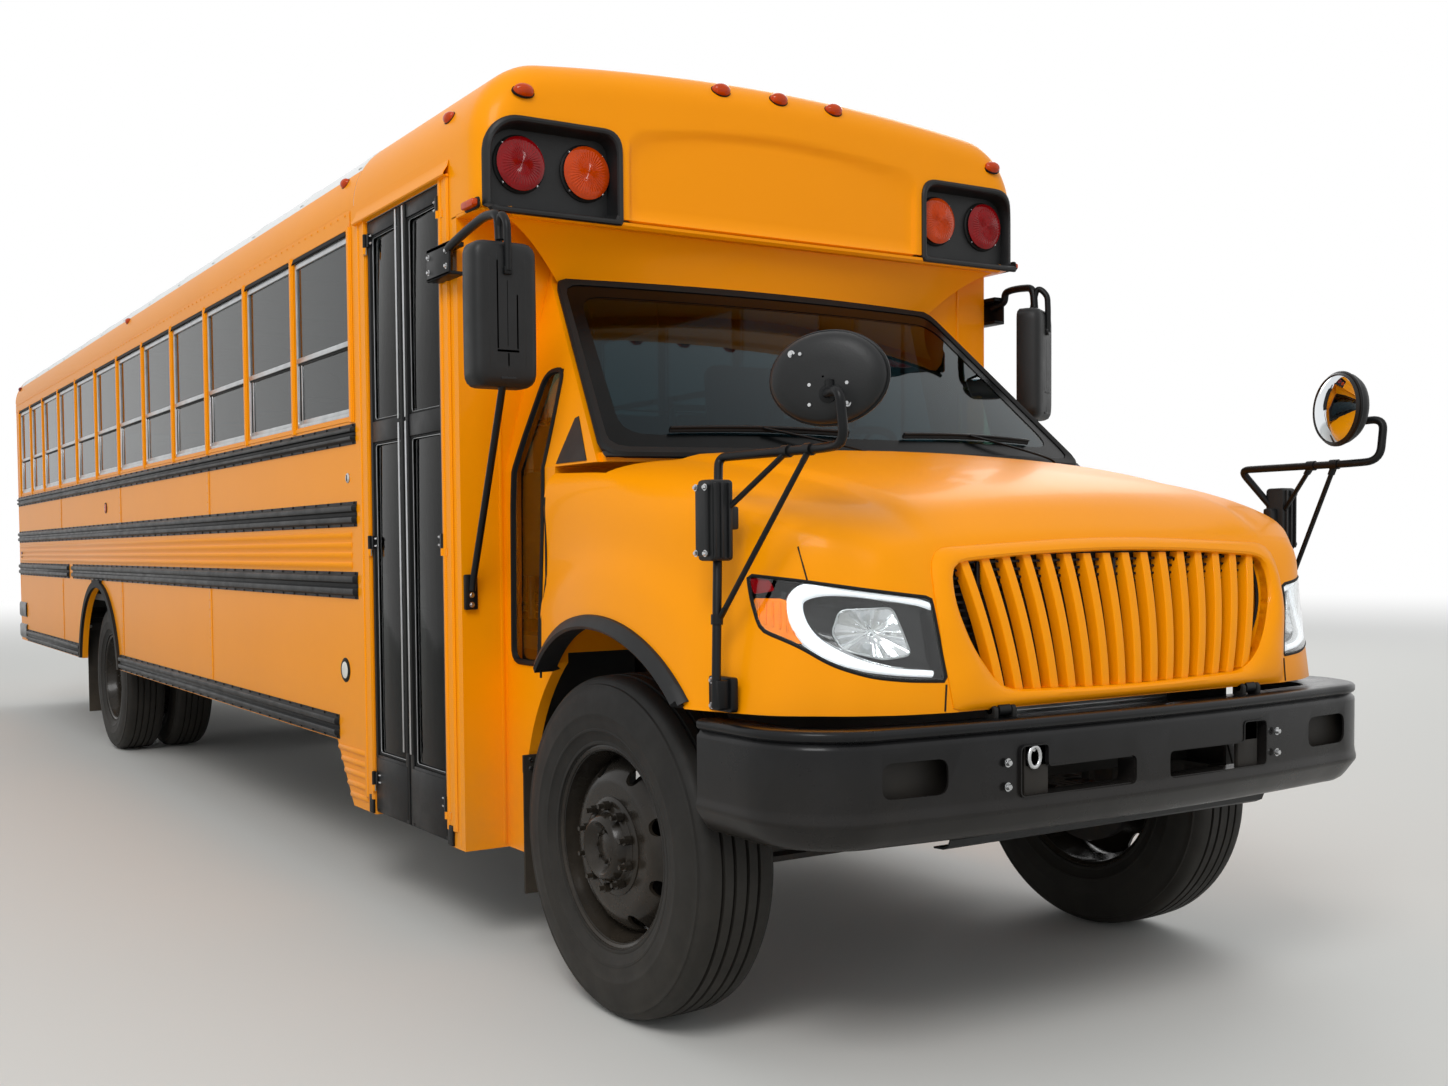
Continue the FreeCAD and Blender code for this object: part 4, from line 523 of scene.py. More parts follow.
def bake(item, sharp=None):
    """Turn a piece's modifiers into plain mesh."""
    bpy.context.view_layer.update()
    graph = bpy.context.evaluated_depsgraph_get()
    data = bpy.data.meshes.new_from_object(item.evaluated_get(graph), preserve_all_data_layers=True, depsgraph=graph)
    item.modifiers.clear()
    item.data = data
    if sharp:
        data.shade_smooth()
        data.set_sharp_from_angle(angle=math.radians(sharp))
    return item


def cut(item, tool, sharp=35.0):
    """Take one closed shape out of another."""
    cutter = link("cutter", tool.mesh("cutter"))
    mod = item.modifiers.new("cut", "BOOLEAN")
    mod.operation, mod.solver, mod.object = "DIFFERENCE", "EXACT", cutter
    bake(item, sharp)
    bpy.data.objects.remove(cutter)
    return item


# ---------------------------------------------------------------- node trees for what repeats

def new_tree(name, **sizes):
    """Geometry node tree with named inputs: its points, sizes and finish."""
    tree = bpy.data.node_groups.new(name, "GeometryNodeTree")
    tree.interface.new_socket("Geometry", in_out="INPUT", socket_type="NodeSocketGeometry")
    for key, value in sizes.items():
        kind = "NodeSocketInt" if isinstance(value, int) else "NodeSocketFloat"
        socket = tree.interface.new_socket(key.replace("_", " "), in_out="INPUT", socket_type=kind)
        socket.default_value = value
    tree.interface.new_socket("Finish", in_out="INPUT", socket_type="NodeSocketMaterial")
    tree.interface.new_socket("Geometry", in_out="OUTPUT", socket_type="NodeSocketGeometry")
    return tree, add(tree, "NodeGroupInput").outputs


def end_tree(tree, shape, finish_socket):
    """Every tree ends in real faces with their finish."""
    real = add(tree, "GeometryNodeRealizeInstances", None, {0: shape})
    done = add(tree, "GeometryNodeSetMaterial", None, {"Geometry": real.outputs[0], "Material": finish_socket})
    add(tree, "NodeGroupOutput", None, {0: done.outputs[0]})


def grow(name, data, tree, finish_name, body, slot=None, sharp=35.0, replaces=(), **sizes):
    """Run a node tree on some points and keep its result as a plain piece."""
    item = link(name, data)
    mod = item.modifiers.new("grow", "NODES")
    mod.node_group = tree
    for socket in tree.interface.items_tree:
        if socket.in_out == "INPUT" and socket.socket_type != "NodeSocketGeometry":
            key = socket.name.replace(" ", "_")
            mod[socket.identifier] = FINISHES[finish_name] if socket.name == "Finish" else sizes.get(
                key, socket.default_value)
    bake(item, sharp)
    return settle(item, body, replaces)


def spots_mesh(spots):
    """Loose points that each know which way they face."""
    data = bpy.data.meshes.new("spots")
    data.from_pydata([place(*spot) for spot, _ in spots], [], [])
    aim = data.attributes.new("aim", "FLOAT_VECTOR", "POINT")
    for item, (_, way) in zip(aim.data, spots):
        item.vector = way
    return data


def fixing_tree():
    """Hexagon bolt on a washer, or a domed rivet when Sides is high."""
    tree, given = new_tree("fixings", Radius=0.008, Height=0.006, Sides=6, Washer=1.5)
    head = add(tree, "GeometryNodeMeshCone", {"Radius Top": 0.0}, {"Vertices": given["Sides"],
                                                                  "Radius Bottom": given["Radius"],
                                                                  "Depth": given["Height"]})
    top = add(tree, "ShaderNodeMath", {"operation": "MULTIPLY", 1: 0.78}, {0: given["Radius"]})
    tree.links.new(top.outputs[0], head.inputs["Radius Top"])
    wide = add(tree, "ShaderNodeMath", {"operation": "MULTIPLY"}, {0: given["Radius"], 1: given["Washer"]})
    thin = add(tree, "ShaderNodeMath", {"operation": "MULTIPLY", 1: 0.3}, {0: given["Height"]})
    washer = add(tree, "GeometryNodeMeshCylinder", {"Vertices": 14}, {"Radius": wide.outputs[0],
                                                                      "Depth": thin.outputs[0]})
    lift = add(tree, "ShaderNodeCombineXYZ", None, {"Z": thin.outputs[0]})
    raised = add(tree, "GeometryNodeTransform", None, {"Geometry": head.outputs[0], "Translation": lift.outputs[0]})
    both = add(tree, "GeometryNodeJoinGeometry")
    tree.links.new(washer.outputs[0], both.inputs[0])
    tree.links.new(raised.outputs[0], both.inputs[0])
    aim = add(tree, "GeometryNodeInputNamedAttribute", {"data_type": "FLOAT_VECTOR", "Name": "aim"})
    turn = add(tree, "FunctionNodeAlignRotationToVector", {"axis": "Z"}, {"Vector": aim.outputs[0]})
    copies = add(tree, "GeometryNodeInstanceOnPoints", None, {"Points": given["Geometry"], "Instance": both.outputs[0],
                                                              "Rotation": turn.outputs[0]})
    end_tree(tree, copies.outputs[0], given["Finish"])
    return tree


def fixings(name, spots, body, finish_name="plated_steel", radius=8.0, height=6.0, sides=6, washer=1.5, slot=None):
    """Bolts or rivets at (point, direction) spots."""
    if "fixings" not in bpy.data.node_groups:
        fixing_tree()
    return grow(name, spots_mesh(spots), bpy.data.node_groups["fixings"], finish_name, body, slot,
                Radius=radius / 1000, Height=height / 1000, Sides=sides, Washer=washer)


def ring_tree():
    """Copies of a small part, set in a ring about the x axis."""
    tree, given = new_tree("ring", Count=10, Radius=0.14, Width=0.012, Length=0.03, Sides=6)
    ring = add(tree, "GeometryNodeMeshCircle", None, {"Vertices": given["Count"], "Radius": given["Radius"]})
    part = add(tree, "GeometryNodeMeshCylinder", None, {"Vertices": given["Sides"], "Radius": given["Width"],
                                                        "Depth": given["Length"]})
    copies = add(tree, "GeometryNodeInstanceOnPoints", None, {"Points": ring.outputs[0], "Instance": part.outputs[0]})
    turned = add(tree, "GeometryNodeTransform", {"Rotation": (0, math.pi / 2, 0)}, {"Geometry": copies.outputs[0]})
    centres = add(tree, "GeometryNodeInstanceOnPoints", None, {"Points": given["Geometry"],
                                                               "Instance": turned.outputs[0]})
    end_tree(tree, centres.outputs[0], given["Finish"])
    return tree


def stud_ring(name, centres, body, count, radius, width, length, finish_name="black_wheel_enamel", sides=6, slot=None):
    """A ring of studs round each centre, on an axis across the bus."""
    if "ring" not in bpy.data.node_groups:
        ring_tree()
    return grow(name, spots_mesh([(c, (1, 0, 0)) for c in centres]), bpy.data.node_groups["ring"], finish_name, body,
                slot, Count=count, Radius=radius / 1000, Width=width / 1000, Length=length / 1000, Sides=sides)
# ---------------------------------------------------------------- hood

# y, half width low, half width at shoulder, shoulder z, top z at middle
HOOD_ROWS = ((-950, 660, 640, 1060, 1090), (-925, 790, 740, 1210, 1250), (-890, 880, 810, 1330, 1385),
             (-840, 960, 870, 1380, 1450), (-700, 1100, 1000, 1430, 1535), (-400, 1165, 1080, 1500, 1620),
             (20, 1180, 1095, 1570, 1692), (430, 1098, 1088, 1600, 1705))
HOOD_LOW = 968.0
ARCH_R = 665.0
HOOD_WALL = 22.0


def arc_through(a, b, c, count):
    """Points on the circle through three points, from a to c."""
    (ax, ay), (bx, by), (cx, cy) = a, b, c
    d = 2 * (ax * (by - cy) + bx * (cy - ay) + cx * (ay - by))
    ux = ((ax * ax + ay * ay) * (by - cy) + (bx * bx + by * by) * (cy - ay) + (cx * cx + cy * cy) * (ay - by)) / d
    uy = ((ax * ax + ay * ay) * (cx - bx) + (bx * bx + by * by) * (ax - cx) + (cx * cx + cy * cy) * (bx - ax)) / d
    r = math.hypot(ax - ux, ay - uy)
    first, last = math.atan2(ay - uy, ax - ux), math.atan2(cy - uy, cx - ux)
    return [(ux + r * math.cos(mix(first, last, k / count)), uy + r * math.sin(mix(first, last, k / count)))
            for k in range(count + 1)]


def hood_half(row):
    """Half section from the middle of the top down to the foot."""
    _, low, shoulder, shoulder_z, top = row
    rise = top - shoulder_z
    inner = (shoulder * 0.78, shoulder_z + rise * 0.72)
    bend = (shoulder * 0.94, shoulder_z + rise * 0.40)
    crown = arc_through((0, top), (inner[0] * 0.5, top - (top - inner[1]) * 0.25), inner, 14)
    side = arc_through(inner, bend, (shoulder, shoulder_z), 8)[1:]
    flank = [near((shoulder, shoulder_z), (low, HOOD_LOW), k / 14) for k in range(1, 15)]
    return spread(smooth_line(crown[::4] + side[3::4] + flank[4::5] + [flank[-1]], 6), 57)


def hood_rows():
    """Smooth rows of the hood's outer face, from the nose back."""
    halves = [hood_half(row) for row in HOOD_ROWS]
    stations = [row[0] for row in HOOD_ROWS]
    rows = []
    lines = [smooth_line([(half[j][0], y, half[j][1]) for half, y in zip(halves, stations)], 8)
             for j in range(len(halves[0]))]
    for i in range(len(lines[0])):
        row = [styled(*line[i]) for line in lines]
        rows.append([(-x, y, z) for x, y, z in reversed(row[1:])] + row)
    return rows


def step(value, low, high):
    t = min(max((value - low) / (high - low), 0), 1)
    return t * t * (3 - 2 * t)


def styled(x, y, z):
    """Pressed lines: the raised middle of the top and the swelling round the wheel arch."""
    dome = 14 * (1 - step(x, mix(640, 760, step(y, -900, 400)), mix(700, 850, step(y, -900, 400)))) * step(y, -925,
                                                                                                           -780)
    reach = math.hypot(y, z - AXLE_Z)
    swell = 20 * (1 - step(reach, 800, 905)) * step(x, 1000, 1060) * step(y, -640, -480)
    return (x + swell, y, z + dome)


def hood_surface():
    """The hood's outer face, to set other pieces on."""
    bm = bmesh.new()
    grid = [[bm.verts.new(p) for p in row] for row in hood_rows()]
    for a, b in zip(grid, grid[1:]):
        for j in range(len(a) - 1):
            bm.faces.new((a[j], a[j + 1], b[j + 1], b[j]))
    bm.faces.new(grid[0][::-1])
    tree = BVHTree.FromBMesh(bm)
    bm.free()
    return tree


def nose(x, z, proud=0.0):
    """Point on the hood's nose straight ahead of (x, z), moved forward by proud."""
    hit = HOOD["face"].ray_cast(Vector((x, -1500, z)), Vector((0, 1, 0)))[0]
    return (x, (hit.y if hit else -950) - proud, z)


def wing(u, z, proud=0.0):
    """Point on the hood's street-side front corner, on a slant grid: u runs outwards and back."""
    out, along = Vector((0.6, -0.8, 0)), Vector((0.8, 0.6, 0))
    start = along * u + out * 2000 + Vector((0, 0, z))
    hit = HOOD["face"].ray_cast(start, -out)[0] or (along * u + out * 900 + Vector((0, 0, z)))
    return tuple(hit + out * proud)


def flank(y, z, proud=0.0):
    """Point on the hood's street side, beside (y, z)."""
    hit = HOOD["face"].ray_cast(Vector((2000, y, z)), Vector((-1, 0, 0)))[0]
    return ((hit.x if hit else 1100) + proud, y, z)


HOOD = {}
LAMP_EDGE = ((-23, 1046), (16, 1263), (198, 1288), (348, 1310), (484, 1325), (474, 1258), (452, 1180), (354, 1141),
             (270, 1091), (169, 1061), (76, 1051))
LAMP_MIDDLE = (200, 1190)


def lamp_edge(shrink=0.0, count=72):
    """Headlamp outline on the slant grid, drawn in by shrink."""
    line = spread(soften(LAMP_EDGE, [10, 12, 30, 30, 14, 16, 24, 40, 40, 40, 20], 4), count, True)
    return drawn_in(line, shrink) if shrink else line


def patch(shape, finish_name, line, depth, thick, rings=6, middle=None):
    """Closed plate of any outline that follows the wing's face, depth behind it."""
    cx, cz = middle or near((0, 0), tuple(Vector((sum(p[0] for p in line), sum(p[1] for p in line))) / len(line)), 1)
    n, points = len(line), []
    for back in (depth, depth + thick):
        for k in range(rings):
            t = k / rings
            points += [wing(mix(u, cx, t), mix(z, cz, t), -back) for u, z in line]
        points.append(wing(cx, cz, -back))
    size = n * rings + 1
    loops = []
    for side in (0, size):
        for k in range(rings - 1):
            loops += [[side + k * n + j, side + k * n + (j + 1) % n, side + (k + 1) * n + (j + 1) % n,
                       side + (k + 1) * n + j] for j in range(n)]
        loops += [[side + (rings - 1) * n + j, side + (rings - 1) * n + (j + 1) % n, side + size - 1] for j in range(n)]
    loops += [[j, (j + 1) % n, size + (j + 1) % n, size + j] for j in range(n)]
    bmesh.ops.recalc_face_normals(shape.bm, faces=shape.skin(finish_name, points, loops))




def opening(count=120):
    """Grille opening, rounded most at its lower corners."""
    outline = [(-500, 1016), (0, 1000), (500, 1016), (588, 1120), (640, 1250), (632, 1346), (330, 1366), (0, 1373),
               (-330, 1366), (-632, 1346), (-640, 1250), (-588, 1120)]
    line = soften(outline, [90, 300, 90, 60, 60, 44, 120, 120, 120, 44, 60, 60], 6)
    return turn_to_foot(spread(line, count, True))


def surround(count=120):
    line = soften([(-664, 971), (664, 971), (704, 1200), (694, 1386), (0, 1416), (-694, 1386), (-704, 1200)],
                  [8, 8, 90, 70, 300, 70, 90], 6)
    return turn_to_foot(spread(line, count, True))


def turn_to_foot(line):
    """Start a closed line at the point nearest its lower middle."""
    start = min(range(len(line)), key=lambda i: abs(line[i][0]) + (1e4 if line[i][1] > 1100 else 0))
    return line[start:] + line[:start]


def make_hood():
    HOOD["face"] = hood_surface()
    shell = Shape()
    rows = hood_rows()
    front = [(x, y, HOOD_LOW) for x, y, _ in rows[0]]
    shell.sheet("yellow_enamel", [front] + rows, -HOOD_WALL)
    bmesh.ops.remove_doubles(shell.bm, verts=shell.bm.verts[:], dist=2e-5)
    bmesh.ops.recalc_face_normals(shell.bm, faces=shell.bm.faces[:])
    hood = link("hood_shell", shell.mesh("hood_shell"))
    for tool in hood_cutters():
        cut(hood, tool, 40)
    settle(hood, "hood", ["hood"])
    make_surround()
    make_seams()


def hood_cutters():
    wheel_cut = Shape()
    wheel_cut.turned("yellow_enamel", [(0, -1500), (ARCH_R, -1500), (ARCH_R, 1500), (0, 1500)], (0, 0, AXLE_Z), "x", 96)
    grille_cut = Shape()
    grille_cut.plate("yellow_enamel", opening(), "y", -1000, -800)
    lamp_cut = Shape()
    line = lamp_edge()
    points = [wing(u, z, 60) for u, z in line] + [wing(u, z, -70) for u, z in line]
    bmesh.ops.recalc_face_normals(lamp_cut.bm, faces=lamp_cut.skin("yellow_enamel", points, prism_faces(len(line))))
    lamp_cut.mirror()
    screen_cut = Shape()
    arc = [(1200 * k / 12, 14 + 120 * (k / 12) ** 2) for k in range(-12, 13)]
    screen_cut.plate("yellow_enamel", arc + [(1200, 700), (-1200, 700)], "z", 1648, 2000)
    shelf_cut = Shape()
    shelf = [(1056 * k / 12, 14 + 93 * (k / 12) ** 2) for k in range(-12, 13)]
    shelf_cut.plate("yellow_enamel", shelf + [(1056, 700), (-1056, 700)], "z", 1400, 1650)
    return wheel_cut, grille_cut, lamp_cut, screen_cut, shelf_cut


def make_surround():
    """Raised flange round the grille that rolls back into the opening, and the tilt hinge ears under it."""
    outer, inner = surround(), opening()
    rows = []
    for share, proud in ((0.0, -2), (0.0, 3), (0.12, 9), (0.3, 15), (0.5, 18), (0.72, 18), (0.9, 13), (1.0, 2)):
        line = []
        for a, b in zip(outer, inner):
            x, z = near(a, b, share)
            line.append(nose(x, max(z, 969), proud))
        rows.append(line)
    rows.append([(x, y + 44, z) for x, y, z in rows[-1]])
    ring = Shape()
    ring.sheet("yellow_enamel", rows, -5, loop=True)
    for x in (-500, 500):
        ring.turned("black_powder_coat", [(11, -20), (18, -20), (18, 20), (11, 20), (11, -20)], (x, -950, 965), "x", 28)
        ring.block("black_powder_coat", (x - 18, x + 18), (-948, -926), (968, 998), 3)
    ring.make("grille_surround", "hood")


def make_seams():
    """Dark joints between the nose, the wings and the lamps, and at the hood's rear edge on each flank."""
    seams = Shape()
    side = [nose(mix(690, 684, t), mix(972, 1040, t), 0.5) for t in (0, 0.5, 1)]
    seams.tube("seal_rubber", side, 2.6, 6)
    over = [wing(u, z, 0.4) for u, z in ((330, 1309), (338, 1340), (352, 1394))]
    seams.tube("seal_rubber", smooth_line(over, 4), 2.2, 6)
    rear = [flank(424, z, 0.2) for z in (980, 1150, 1300, 1450, 1560)]
    seams.tube("seal_rubber", rear, 4, 6)
    seams.mirror()
    seams.make("hood_seams", "hood")


# ---------------------------------------------------------------- grille

def bars_tree():
    """Upright bars fanned across an opening: each leans with its share of the width and bows with the nose."""
    tree, given = new_tree("grille_bars", Count=16, Low_Half=0.5, High_Half=0.6, Low_Z=1.0, High_Z=1.3, Front=-5.6,
                           Rake=0.05, Width=0.04, Depth=0.03)
    spine = add(tree, "GeometryNodeCurvePrimitiveLine", {"End": (0.0, 0.0, 1.0)})
    fine = add(tree, "GeometryNodeResampleCurve", {"Count": 18}, {"Curve": spine.outputs[0]})
    section = add(tree, "GeometryNodeCurvePrimitiveQuadrilateral", None, {"Width": given["Depth"],
                                                                          "Height": given["Width"]})
    soft = add(tree, "GeometryNodeFilletCurve", {"mode": "POLY", "Count": 3, "Radius": 0.0035},
               {"Curve": section.outputs[0]})
    bar = add(tree, "GeometryNodeCurveToMesh", {"Fill Caps": True}, {"Curve": fine.outputs[0],
                                                                     "Profile Curve": soft.outputs[0]})
    line = add(tree, "GeometryNodeMeshLine", {"Offset": (0.0, 0.0, 0.0)}, {"Count": given["Count"]})
    index = add(tree, "GeometryNodeInputIndex")
    last = add(tree, "ShaderNodeMath", {"operation": "DIVIDE"}, {0: index.outputs[0], 1: given["Count"]})
    one = add(tree, "ShaderNodeMath", {"operation": "DIVIDE", 0: 1.0}, {1: given["Count"]})
    twice = add(tree, "ShaderNodeMath", {"operation": "MULTIPLY", 1: 2.0}, {0: last.outputs[0]})
    centred = add(tree, "ShaderNodeMath", {"operation": "SUBTRACT", 1: 1.0}, {0: twice.outputs[0]})
    share = add(tree, "ShaderNodeMath", {"operation": "ADD"}, {0: centred.outputs[0], 1: one.outputs[0]})
    copies = add(tree, "GeometryNodeInstanceOnPoints", None, {"Points": line.outputs[0], "Instance": bar.outputs[0]})
    marked = add(tree, "GeometryNodeStoreNamedAttribute", {"data_type": "FLOAT", "domain": "INSTANCE", "Name": "share"},
                 {"Geometry": copies.outputs[0], "Value": share.outputs[0]})
    real = add(tree, "GeometryNodeRealizeInstances", None, {0: marked.outputs[0]})
    here = add(tree, "GeometryNodeInputPosition")
    parts = add(tree, "ShaderNodeSeparateXYZ", None, {0: here.outputs[0]})
    kept = add(tree, "GeometryNodeInputNamedAttribute", {"data_type": "FLOAT", "Name": "share"})
    half = add(tree, "ShaderNodeMapRange", {1: 0.0, 2: 1.0, "clamp": False},
               {0: parts.outputs["Z"], 3: given["Low Half"], 4: given["High Half"]})
    across = add(tree, "ShaderNodeMath", {"operation": "MULTIPLY_ADD"}, {0: kept.outputs[0], 1: half.outputs[0],
                                                                         2: parts.outputs["X"]})
    upright = add(tree, "ShaderNodeMapRange", {1: 0.0, 2: 1.0, "clamp": False},
                  {0: parts.outputs["Z"], 3: given["Low Z"], 4: given["High Z"]})
    squared = add(tree, "ShaderNodeMath", {"operation": "MULTIPLY"}, {0: parts.outputs["Z"], 1: parts.outputs["Z"]})
    lean = add(tree, "ShaderNodeMath", {"operation": "MULTIPLY_ADD"}, {0: squared.outputs[0], 1: given["Rake"],
                                                                       2: parts.outputs["Y"]})
    back = add(tree, "ShaderNodeMath", {"operation": "ADD"}, {0: lean.outputs[0], 1: given["Front"]})
    moved = add(tree, "ShaderNodeCombineXYZ", None, {"X": across.outputs[0], "Y": back.outputs[0],
                                                     "Z": upright.outputs[0]})
    bent = add(tree, "GeometryNodeSetPosition", None, {"Geometry": real.outputs[0], "Position": moved.outputs[0]})
    end_tree(tree, bent.outputs[0], given["Finish"])
    return tree


def make_grille():
    """Sixteen yellow bars in front of a dark screen and the cooler's fins."""
    front = place(0, -944 + 15, 0)
    grow("grille_bars", spots_mesh([((0, 0, 0), (0, 0, 1))]), bars_tree(), "yellow_enamel", "hood", "yellow_paint", 40,
         ["grille"], Count=16, Low_Half=0.525, High_Half=0.622, Low_Z=1.003, High_Z=1.366, Front=front.y, Rake=0.05,
         Width=0.037, Depth=0.03)
    back = Shape()
    back.plate("black_powder_coat", opening(), "y", -872, -866)
    for z in range(1030, 1366, 21):
        half = mix(505, 625, step(z, 1000, 1300))
        back.block("chassis_enamel", (-half, half), (-884, -872), (z, z + 7), 1.5)
    for x in (-520, -260, 0, 260, 520):
        back.block("black_powder_coat", (x - 6, x + 6), (-892, -884), (1030, 1350), 1.5)
    line = opening()
    for y, size in ((-905, 5), (-880, 7)):
        back.tube("black_powder_coat", [(x * 0.992, y + 36 * step(z, 1150, 1372), mix(z, 1190, 0.012))
                                        for x, z in line], size, 8, loop=True)
    back.make("grille_backing", "hood")


# ---------------------------------------------------------------- headlamps

def inside(points, count, radii=10):
    return spread(soften(points, radii, 5), count, True)


def make_headlamps():
    """Black bezel with its light tube, chrome bowl, amber and red corners, under a clear cover."""
    lamp = Shape()
    edge, within, deep = lamp_edge(), lamp_edge(7), lamp_edge(15)
    lamp.sheet("seal_rubber", [[wing(u, z, d) for u, z in line] for line, d in
                               ((edge, -6), (lamp_edge(-2), 1), (lamp_edge(2), 3), (within, 1), (lamp_edge(9), -10))],
               4, loop=True)
    bowl = inside([(70, 1116), (94, 1180), (118, 1236), (248, 1230), (268, 1171), (238, 1130), (139, 1106)], 72, 16)
    lamp.sheet("gloss_bezel_polymer", [[wing(u, z, -d) for u, z in line] for line, d in
                                       ((within, 4), (lamp_edge(9), 30), (deep, 38), (bowl, 34))], 3, loop=True)
    centre = [(18, 1237), (60, 1251), (149, 1268), (262, 1281), (325, 1281), (356, 1262), (360, 1225), (340, 1176),
              (299, 1134), (226, 1100), (126, 1077), (19, 1067)]
    path = smooth_line(centre, 6)
    sizes = [9 + 13 * step(i, 14, 26) * (1 - step(i, 48, 62)) for i in range(len(path))]
    # The light tube has a painted glow from its emitting finish, though it is no lit lamp.
    lamp.tube("light_guide", [wing(u, z, -16) for u, z in path], sizes, 14)
    lamp.tube("metallised_reflector", [wing(u, z, -30) for u, z in path], [s + 6 for s in sizes], 14)
    cx, cz = 168, 1172
    rows = []
    for k in range(9):
        t = k / 8
        dip = 34 + 46 * math.sin(t * math.pi / 2)
        rows.append([wing(mix(u, cx, t * 0.99), mix(z, cz, t * 0.99), -dip + (4 if j % 6 < 3 else 0) * (1 - t))
                     for j, (u, z) in enumerate(bowl)])
    lamp.sheet("metallised_reflector", rows, -3, loop=True)
    lamp.tube("anodised_aluminium", [wing(u, z, -33) for u, z in bowl], 3.5, 8, loop=True)
    bulb = Vector(wing(cx, cz, -62))
    lamp.turned("clear_polycarbonate", [(0, 0), (9, 3), (11, 14), (8, 26), (0, 30)], bulb,
                ((0.8, 0.6, 0), (0, 0, 1), (0.6, -0.8, 0)), 20)
    amber = [(468, 1262), (388, 1262), (352, 1206), (340, 1146), (352, 1148), (444, 1182)]
    patch(lamp, "signal_acrylic", inside(amber, 32, 8), 6, 12, 4)
    for k in range(6):
        lamp.tube("signal_acrylic", [wing(mix(362, 452, k / 5), z, -5) for z in (1172 + 6 * k, 1210, 1252)], 3, 6)
    patch(lamp, "red_acrylic", inside([(480, 1318), (424, 1310), (410, 1282), (464, 1272)], 28, 8), 6, 10, 3)
    lamp.mirror()
    lamp.make("headlamp_units", "hood", ["headlamps"])
    cover = Shape()
    patch(cover, "clear_polycarbonate", lamp_edge(4), -1.5, 3, 8, LAMP_MIDDLE)
    cover.mirror()
    cover.make("headlamp_covers", "hood")


# ---------------------------------------------------------------- fender flares and cross-view mirrors

def make_flares():
    """Moulded black lips that follow the hood's side round each front wheel."""
    lip = Shape()
    start, end = math.asin((HOOD_LOW + 4 - AXLE_Z) / ARCH_R), math.pi - math.asin(0.75)
    count = 60
    profile = ((ARCH_R + 26, 2), (ARCH_R + 24, 12), (ARCH_R + 8, 24), (ARCH_R - 8, 30), (ARCH_R - 16, 22),
               (ARCH_R - 14, -30), (ARCH_R - 6, -60))
    rows = []
    for k in range(count + 1):
        angle = mix(start, end, k / count)
        row = []
        for r, out in profile:
            y, z = -math.cos(angle) * r, AXLE_Z + math.sin(angle) * r
            base = flank(y, z)[0]
            row.append((base + out, y, z))
        rows.append(row)
    lip.sheet("grained_polymer", rows, -4)
    lip.mirror()
    lip.make("fender_lips", "hood", ["fender_flares"])


def oval(centre, turn, rx, rz, spots):
    """Ring of points round an oval head: spots is (share of its size, place along its own axis)."""
    a = math.radians(turn)
    u, w = Vector((math.cos(a), math.sin(a), 0)), Vector((math.sin(a), -math.cos(a), 0))
    rows = []
    for share, along in spots:
        rows.append([tuple(Vector(centre) + u * (rx * share * math.cos(2 * math.pi * k / 48))
                           + Vector((0, 0, rz * share * math.sin(2 * math.pi * k / 48))) + w * along)
                     for k in range(48)])
    return rows


